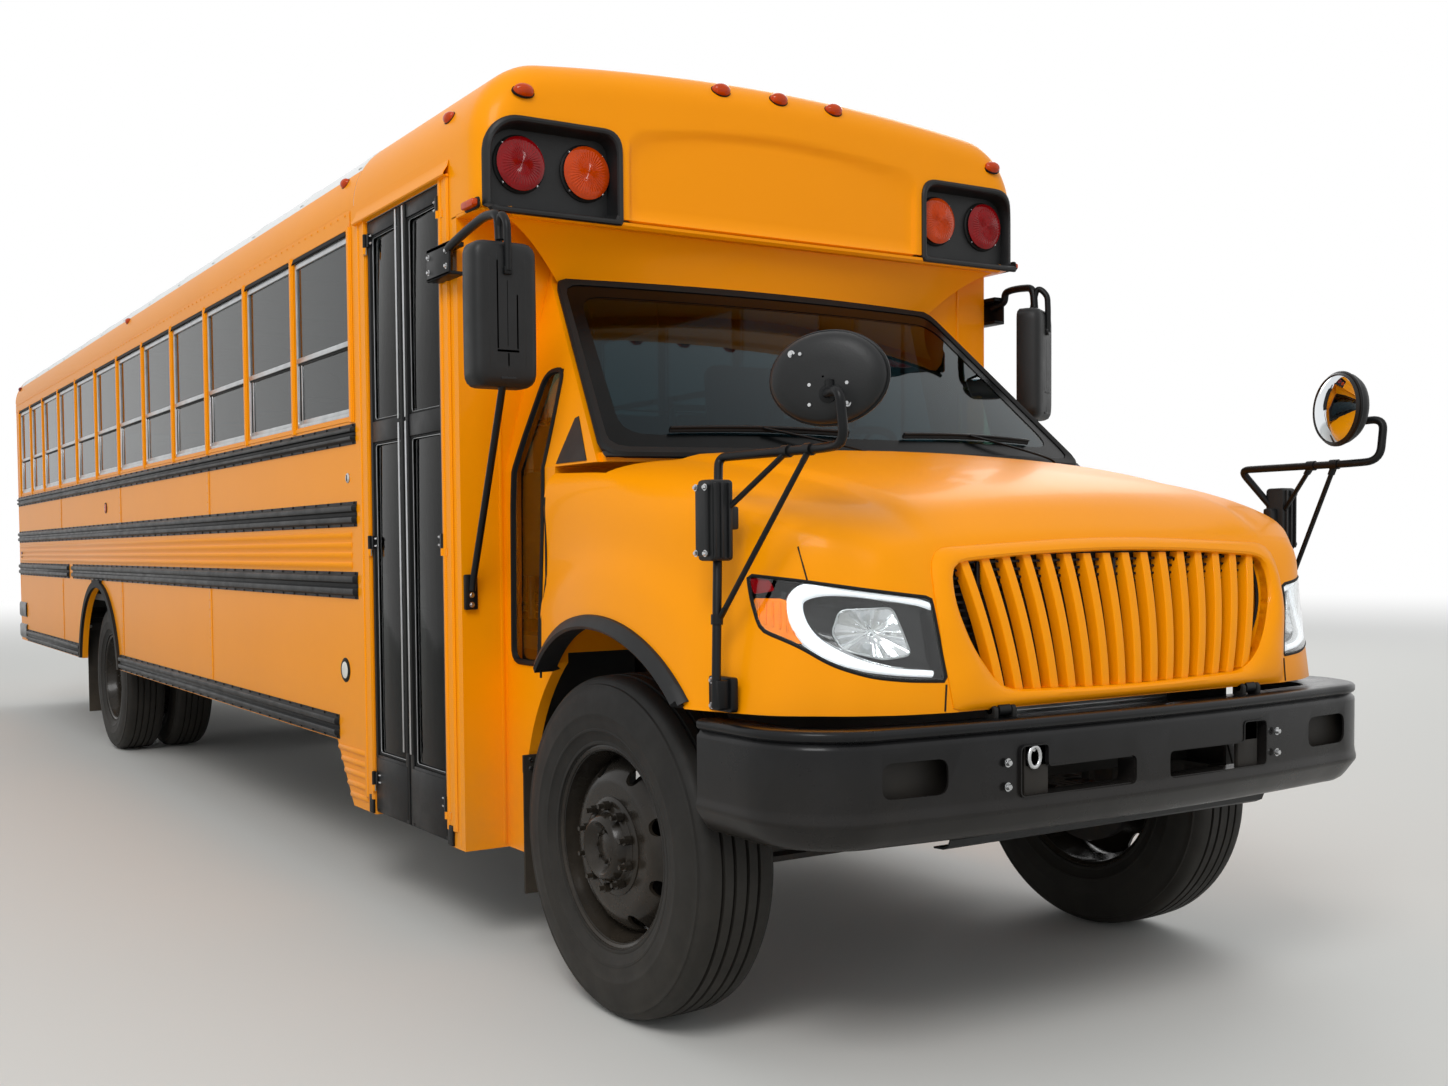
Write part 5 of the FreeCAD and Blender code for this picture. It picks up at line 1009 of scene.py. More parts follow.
def make_cross_mirrors():
    """Convex oval mirrors on bent black tubes that stand on each wing."""
    m = Shape()
    centre, turn = (1022, -896, 1803), 58
    m.sheet("grained_polymer", oval(centre, turn, 148, 112, ((0.02, 38), (0.4, 37), (0.7, 33), (0.88, 25), (0.95, 14),
                                                             (0.97, 0), (0.97, -8), (0.93, -13))), -4, loop=True)
    m.tube("black_powder_coat", oval(centre, turn, 148, 112, ((1.0, -2),))[0], 5.5, 10, loop=True)
    m.sheet("silvered_glass", oval(centre, turn, 148, 112, ((0.95, -9), (0.9, -13), (0.7, -23), (0.45, -31), (0.2, -35),
                                                            (0.02, -36))), -2, loop=True)
    a = math.radians(turn)
    w, u = Vector((math.sin(a), -math.cos(a), 0)), Vector((math.cos(a), math.sin(a), 0))
    hub = Vector(centre) + w * 40 - u * 12 - Vector((0, 0, 42))
    m.turned("black_powder_coat", [(0, -6), (22, -6), (22, 4), (12, 8), (10, 16), (0, 16)], tuple(hub),
             (tuple(u), (0, 0, 1), tuple(w)), 24)
    m.block("black_powder_coat", (hub.x - 9, hub.x + 9), (hub.y - 16, hub.y + 4), (hub.z - 12, hub.z + 34), 4)
    arm = soften([(1180, -636, 985), (1146, -604, 1480), (1078, -512, 1632), (1052, -915, 1632), (1064, -1004, 1636),
                  (1080, -1006, 1766), tuple(hub + w * 12)], [0, 0, 34, 30, 44, 40, 0], 7, False)
    m.tube("black_powder_coat", arm, 12, 14)
    for line in ([(1150, -610, 1470), (1061, -780, 1630)], [(1160, -626, 1210), (1056, -862, 1630)]):
        m.tube("black_powder_coat", line, 7.5, 10)
        for end, other in (line, line[::-1]):
            way = (Vector(other) - Vector(end)).normalized()
            m.tube("black_powder_coat", [tuple(Vector(end) - way * 4), tuple(Vector(end) + way * 34)], 12, 10, 0.6)
    for spot, way in (((1147, -606, 1466), (-0.1, 0.1, 1)), ((1061, -780, 1632), (0, -1, 0)),
                      ((1056, -862, 1632), (0, -1, 0)), ((1164, -621, 1210), (-0.07, 0.06, 1))):
        c = Vector(spot)
        m.tube("black_powder_coat", [tuple(c - Vector(way) * 13), tuple(c + Vector(way) * 13)], 16, 14)
    m.plate("black_powder_coat", oblong(-662, -560, 972, 1062, 10), "x", 1128, 1150, 3)
    m.plate("black_powder_coat", oblong(-654, -622, 980, 1056, 6), "x", 1148, 1184, 4)
    m.plate("grained_polymer", oblong(-640, -575, 1360, 1568, 14), "x", 1122, 1192, 8)
    m.plate("grained_polymer", oblong(-632, -583, 1372, 1556, 10), "x", 1190, 1204, 4)
    for x in (1134, 1158, 1180):
        m.plate("grained_polymer", oblong(-646, -638, 1368, 1560, 3, 2), "x", x, x + 7, 1)
    m.block("grained_polymer", (1090, 1130), (-620, -588), (1440, 1500), 6)
    m.mirror()
    m.make("cross_view_mirrors", "hood", ["cross_mirrors"])
    spots = []
    for side in (-1, 1):
        for y in (-608, -574):
            for z in (984, 1050):
                spots.append(((side * 1150, y, z), (side, 0, 0)))
        for y, z in ((-628, 1380), (-587, 1380), (-628, 1548), (-587, 1548)):
            spots.append(((side * 1204, y, z), (side, 0, 0)))
        for dx, dz in ((-47, -24), (47, -24), (-47, 24), (47, 24), (94, 60), (70, 58)):
            spot = Vector(centre) + Vector((0, 0, dz - 42 if abs(dx) == 47 else dz)) + u * (dx - 12) + w * 35
            spots.append(((side * spot.x, spot.y, spot.z), (side * w.x, w.y, 0)))
    fixings("mirror_bolts", spots, "hood", radius=6, height=5)
# ---------------------------------------------------------------- bumper

TOW_SLOT = soften([(68, 742), (500, 742), (500, 878), (395, 878), (395, 820), (68, 820)], [20, 20, 20, 16, 10, 20], 4)
BUMPER_LINE = ((1166, -520), (1166, -740), (1094, -908.5), (900, -985), (0, -1030))


def bumper_plan():
    """Front bumper in plan, street side end to curb side end, with its outward directions."""
    a, b, c, d = BUMPER_LINE[:4]
    half = [near(a, b, k / 4) for k in range(4)] + arc_through(b, c, d, 12)
    half += arc_through(d, (0, -1030), (-d[0], d[1]), 24)[1:13]
    line = half + [(-x, y) for x, y in reversed(half[:-1])]
    ways = []
    for i in range(len(line)):
        p, q = Vector(line[max(i - 1, 0)]), Vector(line[min(i + 1, len(line) - 1)])
        t = (q - p).normalized()
        ways.append((-t.y, t.x))
    return line, ways


def make_bumper():
    """Pressed steel bumper: rolled lip, stepped head, flat face and a foot that kicks back under a crease."""
    line, ways = bumper_plan()
    section = [(150, 934), (95, 940), (70, 943), (20, 945), (9, 943), (4, 937), (4, 925), (8, 919), (17, 915),
               (12, 908),
               (6, 902), (5, 896), (5, 748), (3, 730), (0, 719), (0, 711), (4, 703), (26, 670), (38, 654), (52, 644),
               (72, 640), (100, 640)]
    rows = []
    for (x, y), (nx, ny) in zip(line, ways):
        if nx * x < 0 or (abs(x) < 1000 and ny > 0):
            nx, ny = -nx, -ny
        rows.append([(x - nx * d, y - ny * d, z) for d, z in section])
    shell = Shape()
    shell.sheet("black_bumper_enamel", rows, 6)
    bumper = link("bumper_shell", shell.mesh("bumper_shell"))
    slots = Shape()
    for s in (-1, 1):
        slots.plate("black_bumper_enamel", [(s * x, z) for x, z in TOW_SLOT], "y", -1100, -940)
        x0, x1 = sorted((s * 728, s * 930))
        slots.plate("black_bumper_enamel", oblong(x0, x1, 772, 862, 32), "y", -1100, -900)
    cut(bumper, slots, 40)
    settle(bumper, "chassis", ["front_bumper"])
    more = Shape()
    for s in (-1, 1):
        lip = [(s * x, z) for x, z in TOW_SLOT]
        more.frame("black_bumper_enamel", lip, drawn_in(lip, 4), "y", -1019, -965)
        more.block("chassis_enamel", (s * 430 - 45, s * 430 + 45), (-1006, -905), (815, 900), 6)
        more.block("chassis_enamel", (s * 430 - 45, s * 430 + 45), (-1006, -990), (700, 905), 6)
        for x in (s * 500 - 33, s * 500 + 33):
            more.plate("chassis_enamel", soften([(-968, 940), (-932, 940), (-932, 972), (-950, 983), (-968, 972)], 8),
                       "x", x - 7, x + 7, 2)
        more.turned("plated_steel", [(0, -40), (10, -40), (10, 40), (0, 40)], (s * 500, -950, 965), "x", 20)
        more.block("chassis_enamel", (s * 808 - 168, s * 808 + 168), (-946, -939), (705, 905), 2)
    ring = [(-446 + 20 * math.cos(a), -1013, 844 + 27 * math.sin(a)) for a in [k * math.pi / 12 for k in range(24)]]
    more.tube("plated_steel", ring, 6, 12, loop=True)
    more.tube("plated_steel", [(-446, -1012, 866), (-446, -990, 866), (-446, -960, 866)], 8, 12)
    more.sheet("grained_polymer", [[(x, y, z) for x in range(-640, 641, 160)] for y, z in
                                   ((-905, 646), (-912, 630), (-905, 612), (-885, 602), (-850, 600))], 5)
    for s in (-1, 1):
        more.block("chassis_enamel", (s * 430 - 40, s * 430 + 40), (-905, -820), (640, 735), 6)
    more.make("bumper_fittings", "chassis")
    spots = [((s * 545, -1018, z), (0, -1, 0)) for s in (-1, 1) for z in (776, 838)]
    fixings("bumper_bolts", spots, "chassis", radius=9, height=7, washer=1.3)


# ---------------------------------------------------------------- front roof cap

CROWN_R, CORNER_R, ROOF_TOP, CORNER_X, CORNER_CZ = 9000.0, 276.0, 3078.0, 943.0, 2750.9
CAP_FRONT, CAP_ROUND, CAP_LOW = 600.0, 110.0, 2520.0
CAP = {}


def roof_half(inset, low_z):
    """Half outline of the roof, from the lower side up and over to the middle."""
    crown_z = ROOF_TOP - CROWN_R
    side = [(HALF_WIDTH - inset, mix(low_z, CORNER_CZ, k / 8)) for k in range(8)]
    tilt = math.asin(CORNER_X / (CROWN_R - CORNER_R))
    r = CORNER_R - inset
    corner = [(CORNER_X + r * math.sin(a), CORNER_CZ + r * math.cos(a))
              for a in (mix(math.pi / 2, tilt, k / 14) for k in range(15))]
    last = corner[-1][0]
    spots = [last + (700 - last) * k / 5 for k in range(1, 6)] + [665, 657, 650, 643, 636, 600, 480, 340, 200, 90, 0]
    crown = [(x, crown_z + math.sqrt((CROWN_R - inset) ** 2 - x * x)) for x in spots]
    return side + corner + crown


def whole(half):
    return half + [(-x, z) for x, z in reversed(half[:-1])]


def recess(x, z):
    """Depth of the pressed panel between the warning lamps."""
    x = abs(x)
    head = 2868 - 62 * (x / 645) ** 2
    corner = step((645 - x) + (head - z), 24, 50)
    return 15 * (1 - step(x, 636, 658)) * (1 - step(z, head - 12, head + 8)) * corner


def cap_rows():
    """Rows of the cap's outer face from the corner panels forward, round the edge and down the front."""
    rows = [[(x, y, z) for x, z in whole(roof_half(0, CAP_LOW))] for y in (840, 770, 710)]
    for k in range(1, 9):
        a = math.pi / 2 * k / 8
        inset = CAP_ROUND * (1 - math.cos(a))
        y = CAP_FRONT + CAP_ROUND * (1 - math.sin(a))
        rows.append([(x, y, z) for x, z in whole(roof_half(inset, CAP_LOW))])
    edge = whole(roof_half(CAP_ROUND, CAP_LOW))
    wide = HALF_WIDTH - CAP_ROUND
    goal = []
    for i, (x, z) in enumerate(edge):
        j = min(i, len(edge) - 1 - i)
        sign = 1 if i < len(edge) / 2 else -1
        reach = abs(x) if j > 27 else mix(wide, 700, j / 27)
        goal.append(sign * reach)
    for share in (0.04, 0.10, 0.16, 0.20, 0.23, 0.26, 0.30, 0.36, 0.46, 0.58, 0.70, 0.80, 0.88, 0.95, 1.0):
        row = []
        for (x, z), gx in zip(edge, goal):
            px, pz = mix(x, gx, share ** 0.8), mix(z, CAP_LOW, share)
            row.append((px, CAP_FRONT + recess(px, pz) * (1 - step(CAP_LOW + 22 - pz, 0, 20)), pz))
        rows.append(row)
    return rows


def lip_rows(start):
    """The cap's rolled lower lip and the slope back to the head of the windscreen."""
    rows = []
    for y, z in ((597, 2510), (598, 2500), (606, 2491), (622, 2488), (640, 2494)):
        rows.append([(x, y, z) for x, _, _ in start])
    head = []
    for x, _, _ in start:
        hx = x * 852 / 1109
        head.append((hx, 700 + 60 * (hx / 852) ** 2, 2316))
    for k in range(1, 7):
        t = k / 6
        rows.append([(mix(x, hx, t), mix(640, hy, t), mix(2494, hz, t) + 22 * math.sin(math.pi * t))
                     for (x, _, _), (hx, hy, hz) in zip(start, head)])
    return rows


CAP_REAR = 1749


def make_cap():
    """Moulded front cap: crowned, round at its edges, with a pressed panel and a rolled lip over the screen."""
    front = cap_rows()
    shell = Shape()
    shell.sheet("yellow_enamel", front, -12)
    cap = link("cap_shell", shell.mesh("cap_shell"))
    bm = bmesh.new()
    grid = [[bm.verts.new(p) for p in row] for row in front]
    for a, b in zip(grid, grid[1:]):
        for j in range(len(a) - 1):
            bm.faces.new((a[j], a[j + 1], b[j + 1], b[j]))
    CAP["face"] = BVHTree.FromBMesh(bm)
    bm.free()
    holes = Shape()
    holes.plate("yellow_enamel", box_outline(), "y", 560, 700)
    holes.mirror()
    cut(cap, holes, 40)
    settle(cap, "chassis", ["front_cap"])
    rest = Shape()
    rest.sheet("yellow_enamel", [[(x, y, z) for x, z in whole(roof_half(0, CORNER_CZ))] for y in
                                 (840, 1000, 1200, 1450, CAP_REAR)], 12, inner_finish="headliner")
    rest.sheet("yellow_enamel", lip_rows(front[-1]), -8)
    for s in (-1, 1):
        lid = [(s * HALF_WIDTH, 840), (s * HALF_WIDTH, 706), (s * 1203, 655), (s * 1165, 617), (s * 1109, 601),
               (s * 1050, 640), (s * 820, 765), (s * 820, 840)]
        rest.plate("yellow_enamel", lid, "z", 2509, 2521, 4)
    rest.make("cap_rear_and_brow", "chassis")
    joints = Shape()
    joints.tube("seal_rubber", [(x, CAP_REAR, z + 0.5) for x, z in whole(roof_half(-0.5, CORNER_CZ))], 3, 6)
    joints.make("cap_joint", "chassis")


def cap_face(x, z, proud=0.0):
    hit = CAP["face"].ray_cast(Vector((x, 0, z)), Vector((0, 1, 0)))[0]
    return (x, (hit.y if hit else 600) - proud, z)


def box_outline(shrink=0.0):
    """Warning lamp housing: high rounded outer corner, smaller inner one."""
    s = shrink
    return spread(soften([(690 + s, 2503 + s), (1190 - s, 2503 + s), (1190 - s, 2812 - s), (690 + s, 2812 - s)],
                         [14, 14, 120 - s * 0.6, 70 - s * 0.6], 10), 96, True)


def make_warning_lamps():
    """Black housings sunk in the cap, each with a red and an amber lamp."""
    house = Shape()
    house.sheet("grained_polymer", [[cap_face(x, z, d) for x, z in box_outline(s)] for s, d in
                                    ((-7, -3), (-7, 5), (-3, 11), (4, 12), (11, 9), (15, 2))], -4, loop=True)
    back = 654
    wall = [[cap_face(x, z, 2) for x, z in box_outline(15)], [(x, 632, z) for x, z in box_outline(20)],
            [(x, back, z) for x, z in box_outline(24)]]
    house.sheet("grained_polymer", wall, -3, loop=True)
    house.plate("grained_polymer", box_outline(22), "y", back, back + 6)
    for x, z, name in ((1056, 2674, "red_acrylic"), (803, 2672, "amber_acrylic")):
        house.turned("seal_rubber", [(84, 2), (97, 2), (97, -5), (92, -9), (84, -9), (84, 2)], (x, back, z), "y", 40)
        house.turned("metallised_reflector", [(0, 1), (84, 1), (84, -4), (60, -2), (0, 0)], (x, back, z), "y", 32)
        rows = []
        for r in (88, 84, 76, 64, 50, 36, 22, 10, 1):
            bulge = 10 + 18 * math.sqrt(max(1 - (r / 92) ** 2, 0))
            ridge = 1.6 if 20 < r < 80 else 0.3
            rows.append([(x + r * math.cos(a), back - bulge - (ridge if k % 2 else 0), z + r * math.sin(a))
                         for k, a in enumerate(2 * math.pi * j / 80 for j in range(80))])
        house.sheet(name, rows, 3, loop=True)
        house.turned(name, [(0, -31), (9, -30), (10, -25), (0, -25)], (x, back, z), "y", 20)
    house.mirror()
    house.make("warning_lamps", "chassis", ["warning_boxes"], sharp=22)
    spots = []
    for s in (-1, 1):
        for x, z in ((1056, 2672), (803, 2672)):
            for k in range(4):
                a = math.pi / 4 + k * math.pi / 2
                spots.append(((s * (x + 91 * math.cos(a)), 644, z + 91 * math.sin(a)), (0, -1, 0)))
    fixings("warning_lamp_screws", spots, "chassis", radius=3.5, height=3, sides=10, washer=1.1)


def marker(shape, at, way, wide=38, tall=24, deep=26, finish_name="amber_acrylic"):
    """Small clearance lamp: an oval lens on a thin gasket, facing one way."""
    w = Vector(way).normalized()
    u = Vector((1, 0, 0)) if abs(w.x) < 0.8 else Vector((0, 1, 0))
    u = (u - w * u.dot(w)).normalized()
    axes = (tuple(u), tuple(w.cross(u)), tuple(w))
    squash = tall / wide
    shape.turned("seal_rubber", [(0, -6), (wide + 3, -6), (wide + 3, 2), (0, 2)], at, axes, 28, squash=squash)
    dome = [(0, 1)] + [(wide * math.cos(a), 2 + deep * math.sin(a)) for a in (math.pi / 2 * k / 7 for k in range(7))]
    shape.turned(finish_name, dome + [(0, 2 + deep)], at, axes, 28, squash=squash)


def make_markers():
    """Amber clearance lamps over the screen, at the cap's corners and along the roof's edge; red ones behind."""
    lamps = Shape()
    for x, z in ((0, 3030), (257, 3027), (-257, 3027), (1061, 2906), (-1061, 2906)):
        hit = CAP["face"].ray_cast(Vector((x, 300, z - 6)), Vector((0, 1, 0)))
        at = hit[0] if hit[0] else Vector((x, 622, z))
        marker(lamps, tuple(at), (0, -1, 0.63))
    for s in (-1, 1):
        lamps.plate("amber_acrylic", oblong(628, 722, 2516, 2542, 11), "x", s * 1216, s * 1240, 5, 3)
        lamps.plate("seal_rubber", oblong(622, 728, 2510, 2547, 14), "x", s * 1214, s * 1222, 2)
        for y in (900, 1905, 5830, 10190):
            name = "amber_acrylic" if y < 9000 else "red_acrylic"
            a = 0.46
            at = (s * (CORNER_X + CORNER_R * math.cos(a)), y, CORNER_CZ + CORNER_R * math.sin(a))
            marker(lamps, at, (s * math.cos(a), 0, math.sin(a)), 34, 20, 20, name)
    lamps.make("clearance_lamps", "chassis")


# ---------------------------------------------------------------- windscreen

def screen(s, t, out=0.0):
    """Point on the windscreen: s from -1 to 1 across, t from the foot to the head."""
    def arc(half, y_side, y_mid, z):
        return Vector((half * s, mix(y_mid, y_side, s * s), z))
    low, high = arc(1030, 150, 30, 1690), arc(848, 755, 695, 2320)
    normal = Vector((0.12 * s, -0.72, 0.68)).normalized()
    return tuple(low.lerp(high, t) + normal * out)


def screen_loop(grow_s, grow_t, radius=0.07, count=160):
    line = soften([(-1 - grow_s, -grow_t), (1 + grow_s, -grow_t), (1 + grow_s, 1 + grow_t), (-1 - grow_s, 1 + grow_t)],
                  radius, 8)
    return spread(line, count, True)


COWL_X = 1050.0
LEAN_FOOT, COWL_LEAN = 1660, 0.273


def make_screen():
    """Bonded windscreen: baked black edge, rubber seal, wipers and the vent panel at its foot."""
    edge = Shape()
    loops = [(screen_loop(gs, gt), out) for gs, gt, out in ((0.012, 0.016, -8), (0.015, 0.02, 4), (0.01, 0.014, 8),
                                                             (0.0, 0.0, 7), (-0.012, -0.02, 2))]
    edge.sheet("seal_rubber", [[screen(s, t, out) for s, t in line] for line, out in loops], 4, loop=True)
    band = [screen_loop(-0.01, -0.015), screen_loop(-0.04, -0.05, 0.09), screen_loop(-0.066, -0.09, 0.1)]
    edge.sheet("ceramic_frit", [[screen(s, t, 1.2) for s, t in line] for line in band], 1.5, loop=True)
    edge.sheet("ceramic_frit", [[screen(s, t, 1.0) for s in [-0.96 + 0.08 * k for k in range(25)]] for t in
                                (0.985, 0.95, 0.9)], 1.5)
    for a, b in ((-0.78, -0.12), (0.12, 0.78)):
        blade = [screen(mix(a, b, k / 10), 0.105 + 0.012 * math.sin(math.pi * k / 10), 10) for k in range(11)]
        edge.tube("seal_rubber", blade, 5, 8, 1.5)
        edge.tube("black_powder_coat", [tuple(Vector(p) + Vector((0, -5, 8))) for p in blade], 5, 8)
        arm = [screen(b + 0.03, -0.045, 14), screen(b, -0.01, 26), screen(mix(a, b, 0.72), 0.06, 26),
               screen(mix(a, b, 0.5), 0.115, 20)]
        edge.tube("black_powder_coat", smooth_line(arm, 6), 7, 8, 0.6)
        edge.turned("black_powder_coat", [(0, -6), (20, -6), (20, 16), (14, 22), (0, 22)], screen(b + 0.03, -0.05, 6),
                    "z", 20)
    edge.make("screen_surround", "chassis")
    vent = Shape()
    rows = []
    for t, z in ((0.0, 1672), (0.3, 1676), (0.7, 1682), (1.0, 1688)):
        rows.append([(1040 * s, mix(16 + 118 * s * s, 32 + 122 * s * s, t),
                      z) for s in [-1 + k / 16 for k in range(33)]])
    vent.sheet("grained_polymer", rows, 6)
    for s in (-1, 1):
        tri = [(236, 1668), (432, 1668), (420, 1700), (372, 1812), (352, 1816)]
        points = [(s * (COWL_X + 3 - (z - LEAN_FOOT) * COWL_LEAN), y, z) for y, z in tri]
        deep = [(x - s * 6, y, z) for x, y, z in points]
        faces = vent.skin("grained_polymer", points + deep, prism_faces(len(tri)))
        bmesh.ops.recalc_face_normals(vent.bm, faces=faces)
    vent.make("screen_vent_panel", "chassis")


QUARTER = ((560, 1010), (750, 1010), (740, 1660), (650, 1990), (530, 1990), (510, 1660))


def lean(y, z, out=0.0):
    """Point on the cowl's side, which leans in above the cowl top."""
    return (COWL_X + out - max(z - LEAN_FOOT, 0) * COWL_LEAN, y, z)


def make_quarter_seals():
    """Rubber seal and dark edge round each tall corner window."""
    seal = Shape()
    line = spread(soften(QUARTER, [50, 50, 160, 50, 40, 160], 7), 120, True)
    seal.sheet("seal_rubber", [[lean(y, z, out) for y, z in drawn_in(line, shrink)] for shrink, out in
                               ((-4, -6), (-5, 3), (-1, 6), (5, 5), (8, -8))], 3, loop=True)
    seal.mirror()
    seal.make("quarter_window_seals", "chassis")
    trim = Shape()
    for s in (-1, 1):
        trim.tube("yellow_enamel", [(s * 1216, 837, z) for z in (372, 1200, 2500)], 5, 8)
        trim.plate("yellow_enamel", [(797, 372), (803, 372), (803, 2505), (797, 2505)], "x", s * 1060, s * 1072, 1)
    trim.make("corner_post_trim", "chassis")
# ---------------------------------------------------------------- body sides

SILL_Z, HEADER_Z = 1931.0, 2654.0
PILLARS = [1803 + 711 * i for i in range(11)] + [1803 + 7110 + 600 * i for i in (1, 2)]
RAILS = ((1818, 1900, 1770, 10270), (1490, 1591, 1770, 10270), (1200, 1309, 1770, 7750), (1200, 1309, 7900, 10270),
         (614, 716, 2010, 6170), (614, 716, 7530, 9950))


def folded(shape, name, profile, y0, y1, taper=0.0, thick=2.0):
    """Rolled strip along both sides: profile is (out, z) from its lower edge up, ends pinched by taper mm."""
    stations = [(y0, 0.2), (y0 + taper, 1.0), (y1 - taper, 1.0), (y1, 0.2)] if taper else [(y0, 1.0), (y1, 1.0)]
    rows = [[(HALF_WIDTH + out * k, y, z) for out, z in profile] for y, k in stations]
    shape.sheet(name, rows, thick)


def rail_profile(z0, z1):
    """Two rolled ribs between the bolted edges of a rub rail."""
    h = z1 - z0
    half = [(0.5, 0), (3, 0.5), (3, 10), (15, 15), (20, 20), (21, 26), (21, h * 0.33), (19, h * 0.38), (8, h * 0.44)]
    return [(out, z0 + z) for out, z in half] + [(out, z1 - z) for out, z in reversed(half)]


def make_rails():
    rails = Shape()
    for z0, z1, y0, y1 in RAILS:
        folded(rails, "black_powder_coat", rail_profile(z0, z1), y0, y1, 12)
    rails.mirror()
    rails.make("rub_rail_strips", "chassis", ["rub_rails"])
    spots = []
    for z0, z1, y0, y1 in RAILS:
        count = round((y1 - y0) / 152)
        for k in range(count + 1):
            y = mix(y0 + 22, y1 - 22, k / count)
            spots += [((s * (HALF_WIDTH + 3), y, z), (s, 0, 0)) for s in (-1, 1) for z in (z0 + 5.5, z1 - 5.5)]
    fixings("rub_rail_bolts", spots, "chassis", "black_powder_coat", radius=5, height=4, sides=6, washer=1.2)


def make_panels():
    """Folds, laps and ribs of the painted side sheets."""
    folds = Shape()
    ribs = [(0.4, 1312), (1.2, 1314)]
    for z in (1337, 1377, 1417, 1457):
        ribs += [(1.2, z - 14), (6.5, z - 8), (7.5, z), (6.5, z + 7), (1.2, z + 11)]
    folded(folds, "yellow_enamel", ribs + [(1.2, 1486), (0.4, 1488)], 1832, 10270, 10)
    for z0, z1 in ((2668, 2738), (1910, 1929)):
        folded(folds, "yellow_enamel", [(0.4, z0), (3, z0 + 2), (3, z1 - 2), (0.4, z1)], 1790, 10290)
    for y in PILLARS:
        rows = [[(HALF_WIDTH + out, y + dy, z) for dy, out in ((21, 0.4), (19, 3), (11, 3), (8, 9), (-8, 9), (-11, 3),
                                                             (-19, 3), (-21, 0.4))] for z in (1906, 2676)]
        folds.sheet("yellow_enamel", rows, -2)
    for y in (3936, 6069, 8202):
        for z0, z1 in ((720, 1198), (1593, 1816)):
            rows = [[(HALF_WIDTH + out, y + dy, z) for dy, out in ((24, 0.4), (22, 1.8), (-22, 1.8), (-24, 0.4))]
                    for z in (z0, z1)]
            folds.sheet("yellow_enamel", rows, -1.2)
    folds.mirror()
    folds.make("side_folds", "chassis")
    spots = []
    for y in (3936, 6069, 8202):
        for z in list(range(740, 1190, 50)) + list(range(1606, 1806, 50)):
            spots += [((s * (HALF_WIDTH + 1.8), y + dy, z), (s, 0, 0)) for s in (-1, 1) for dy in (-12, 12)]
    for y in range(1840, 10280, 80):
        spots += [((s * (HALF_WIDTH + 3), y, 2728), (s, 0, 0)) for s in (-1, 1)]
    fixings("side_rivets", spots, "chassis", "yellow_enamel", radius=4.5, height=2.2, sides=8, washer=1.1)
    step = Shape()
    for z, y in ((585, 2028), (540, 1995), (495, 1962), (450, 1929), (405, 1896)):
        for s in (-1, 1):
            rows = [[(s * (HALF_WIDTH + out), yy, z + dz) for dz, out in
                     ((-12, 0.4), (-9, 5), (0, 8), (9, 5), (12, 0.4))][::s] for yy in (1700, 1712, y - 14, y)]
            for row, k2 in zip(rows, (0.2, 1, 1, 0.2)):
                row[:] = [(s * (HALF_WIDTH + (abs(px) - HALF_WIDTH) * k2), py, pz) for px, py, pz in row]
            step.sheet("yellow_enamel", rows, 1.5)
    step.make("step_skirt_ribs", "chassis")


def window_spans():
    return [(a + 25, b - 25) for a, b in zip(PILLARS, PILLARS[1:])]


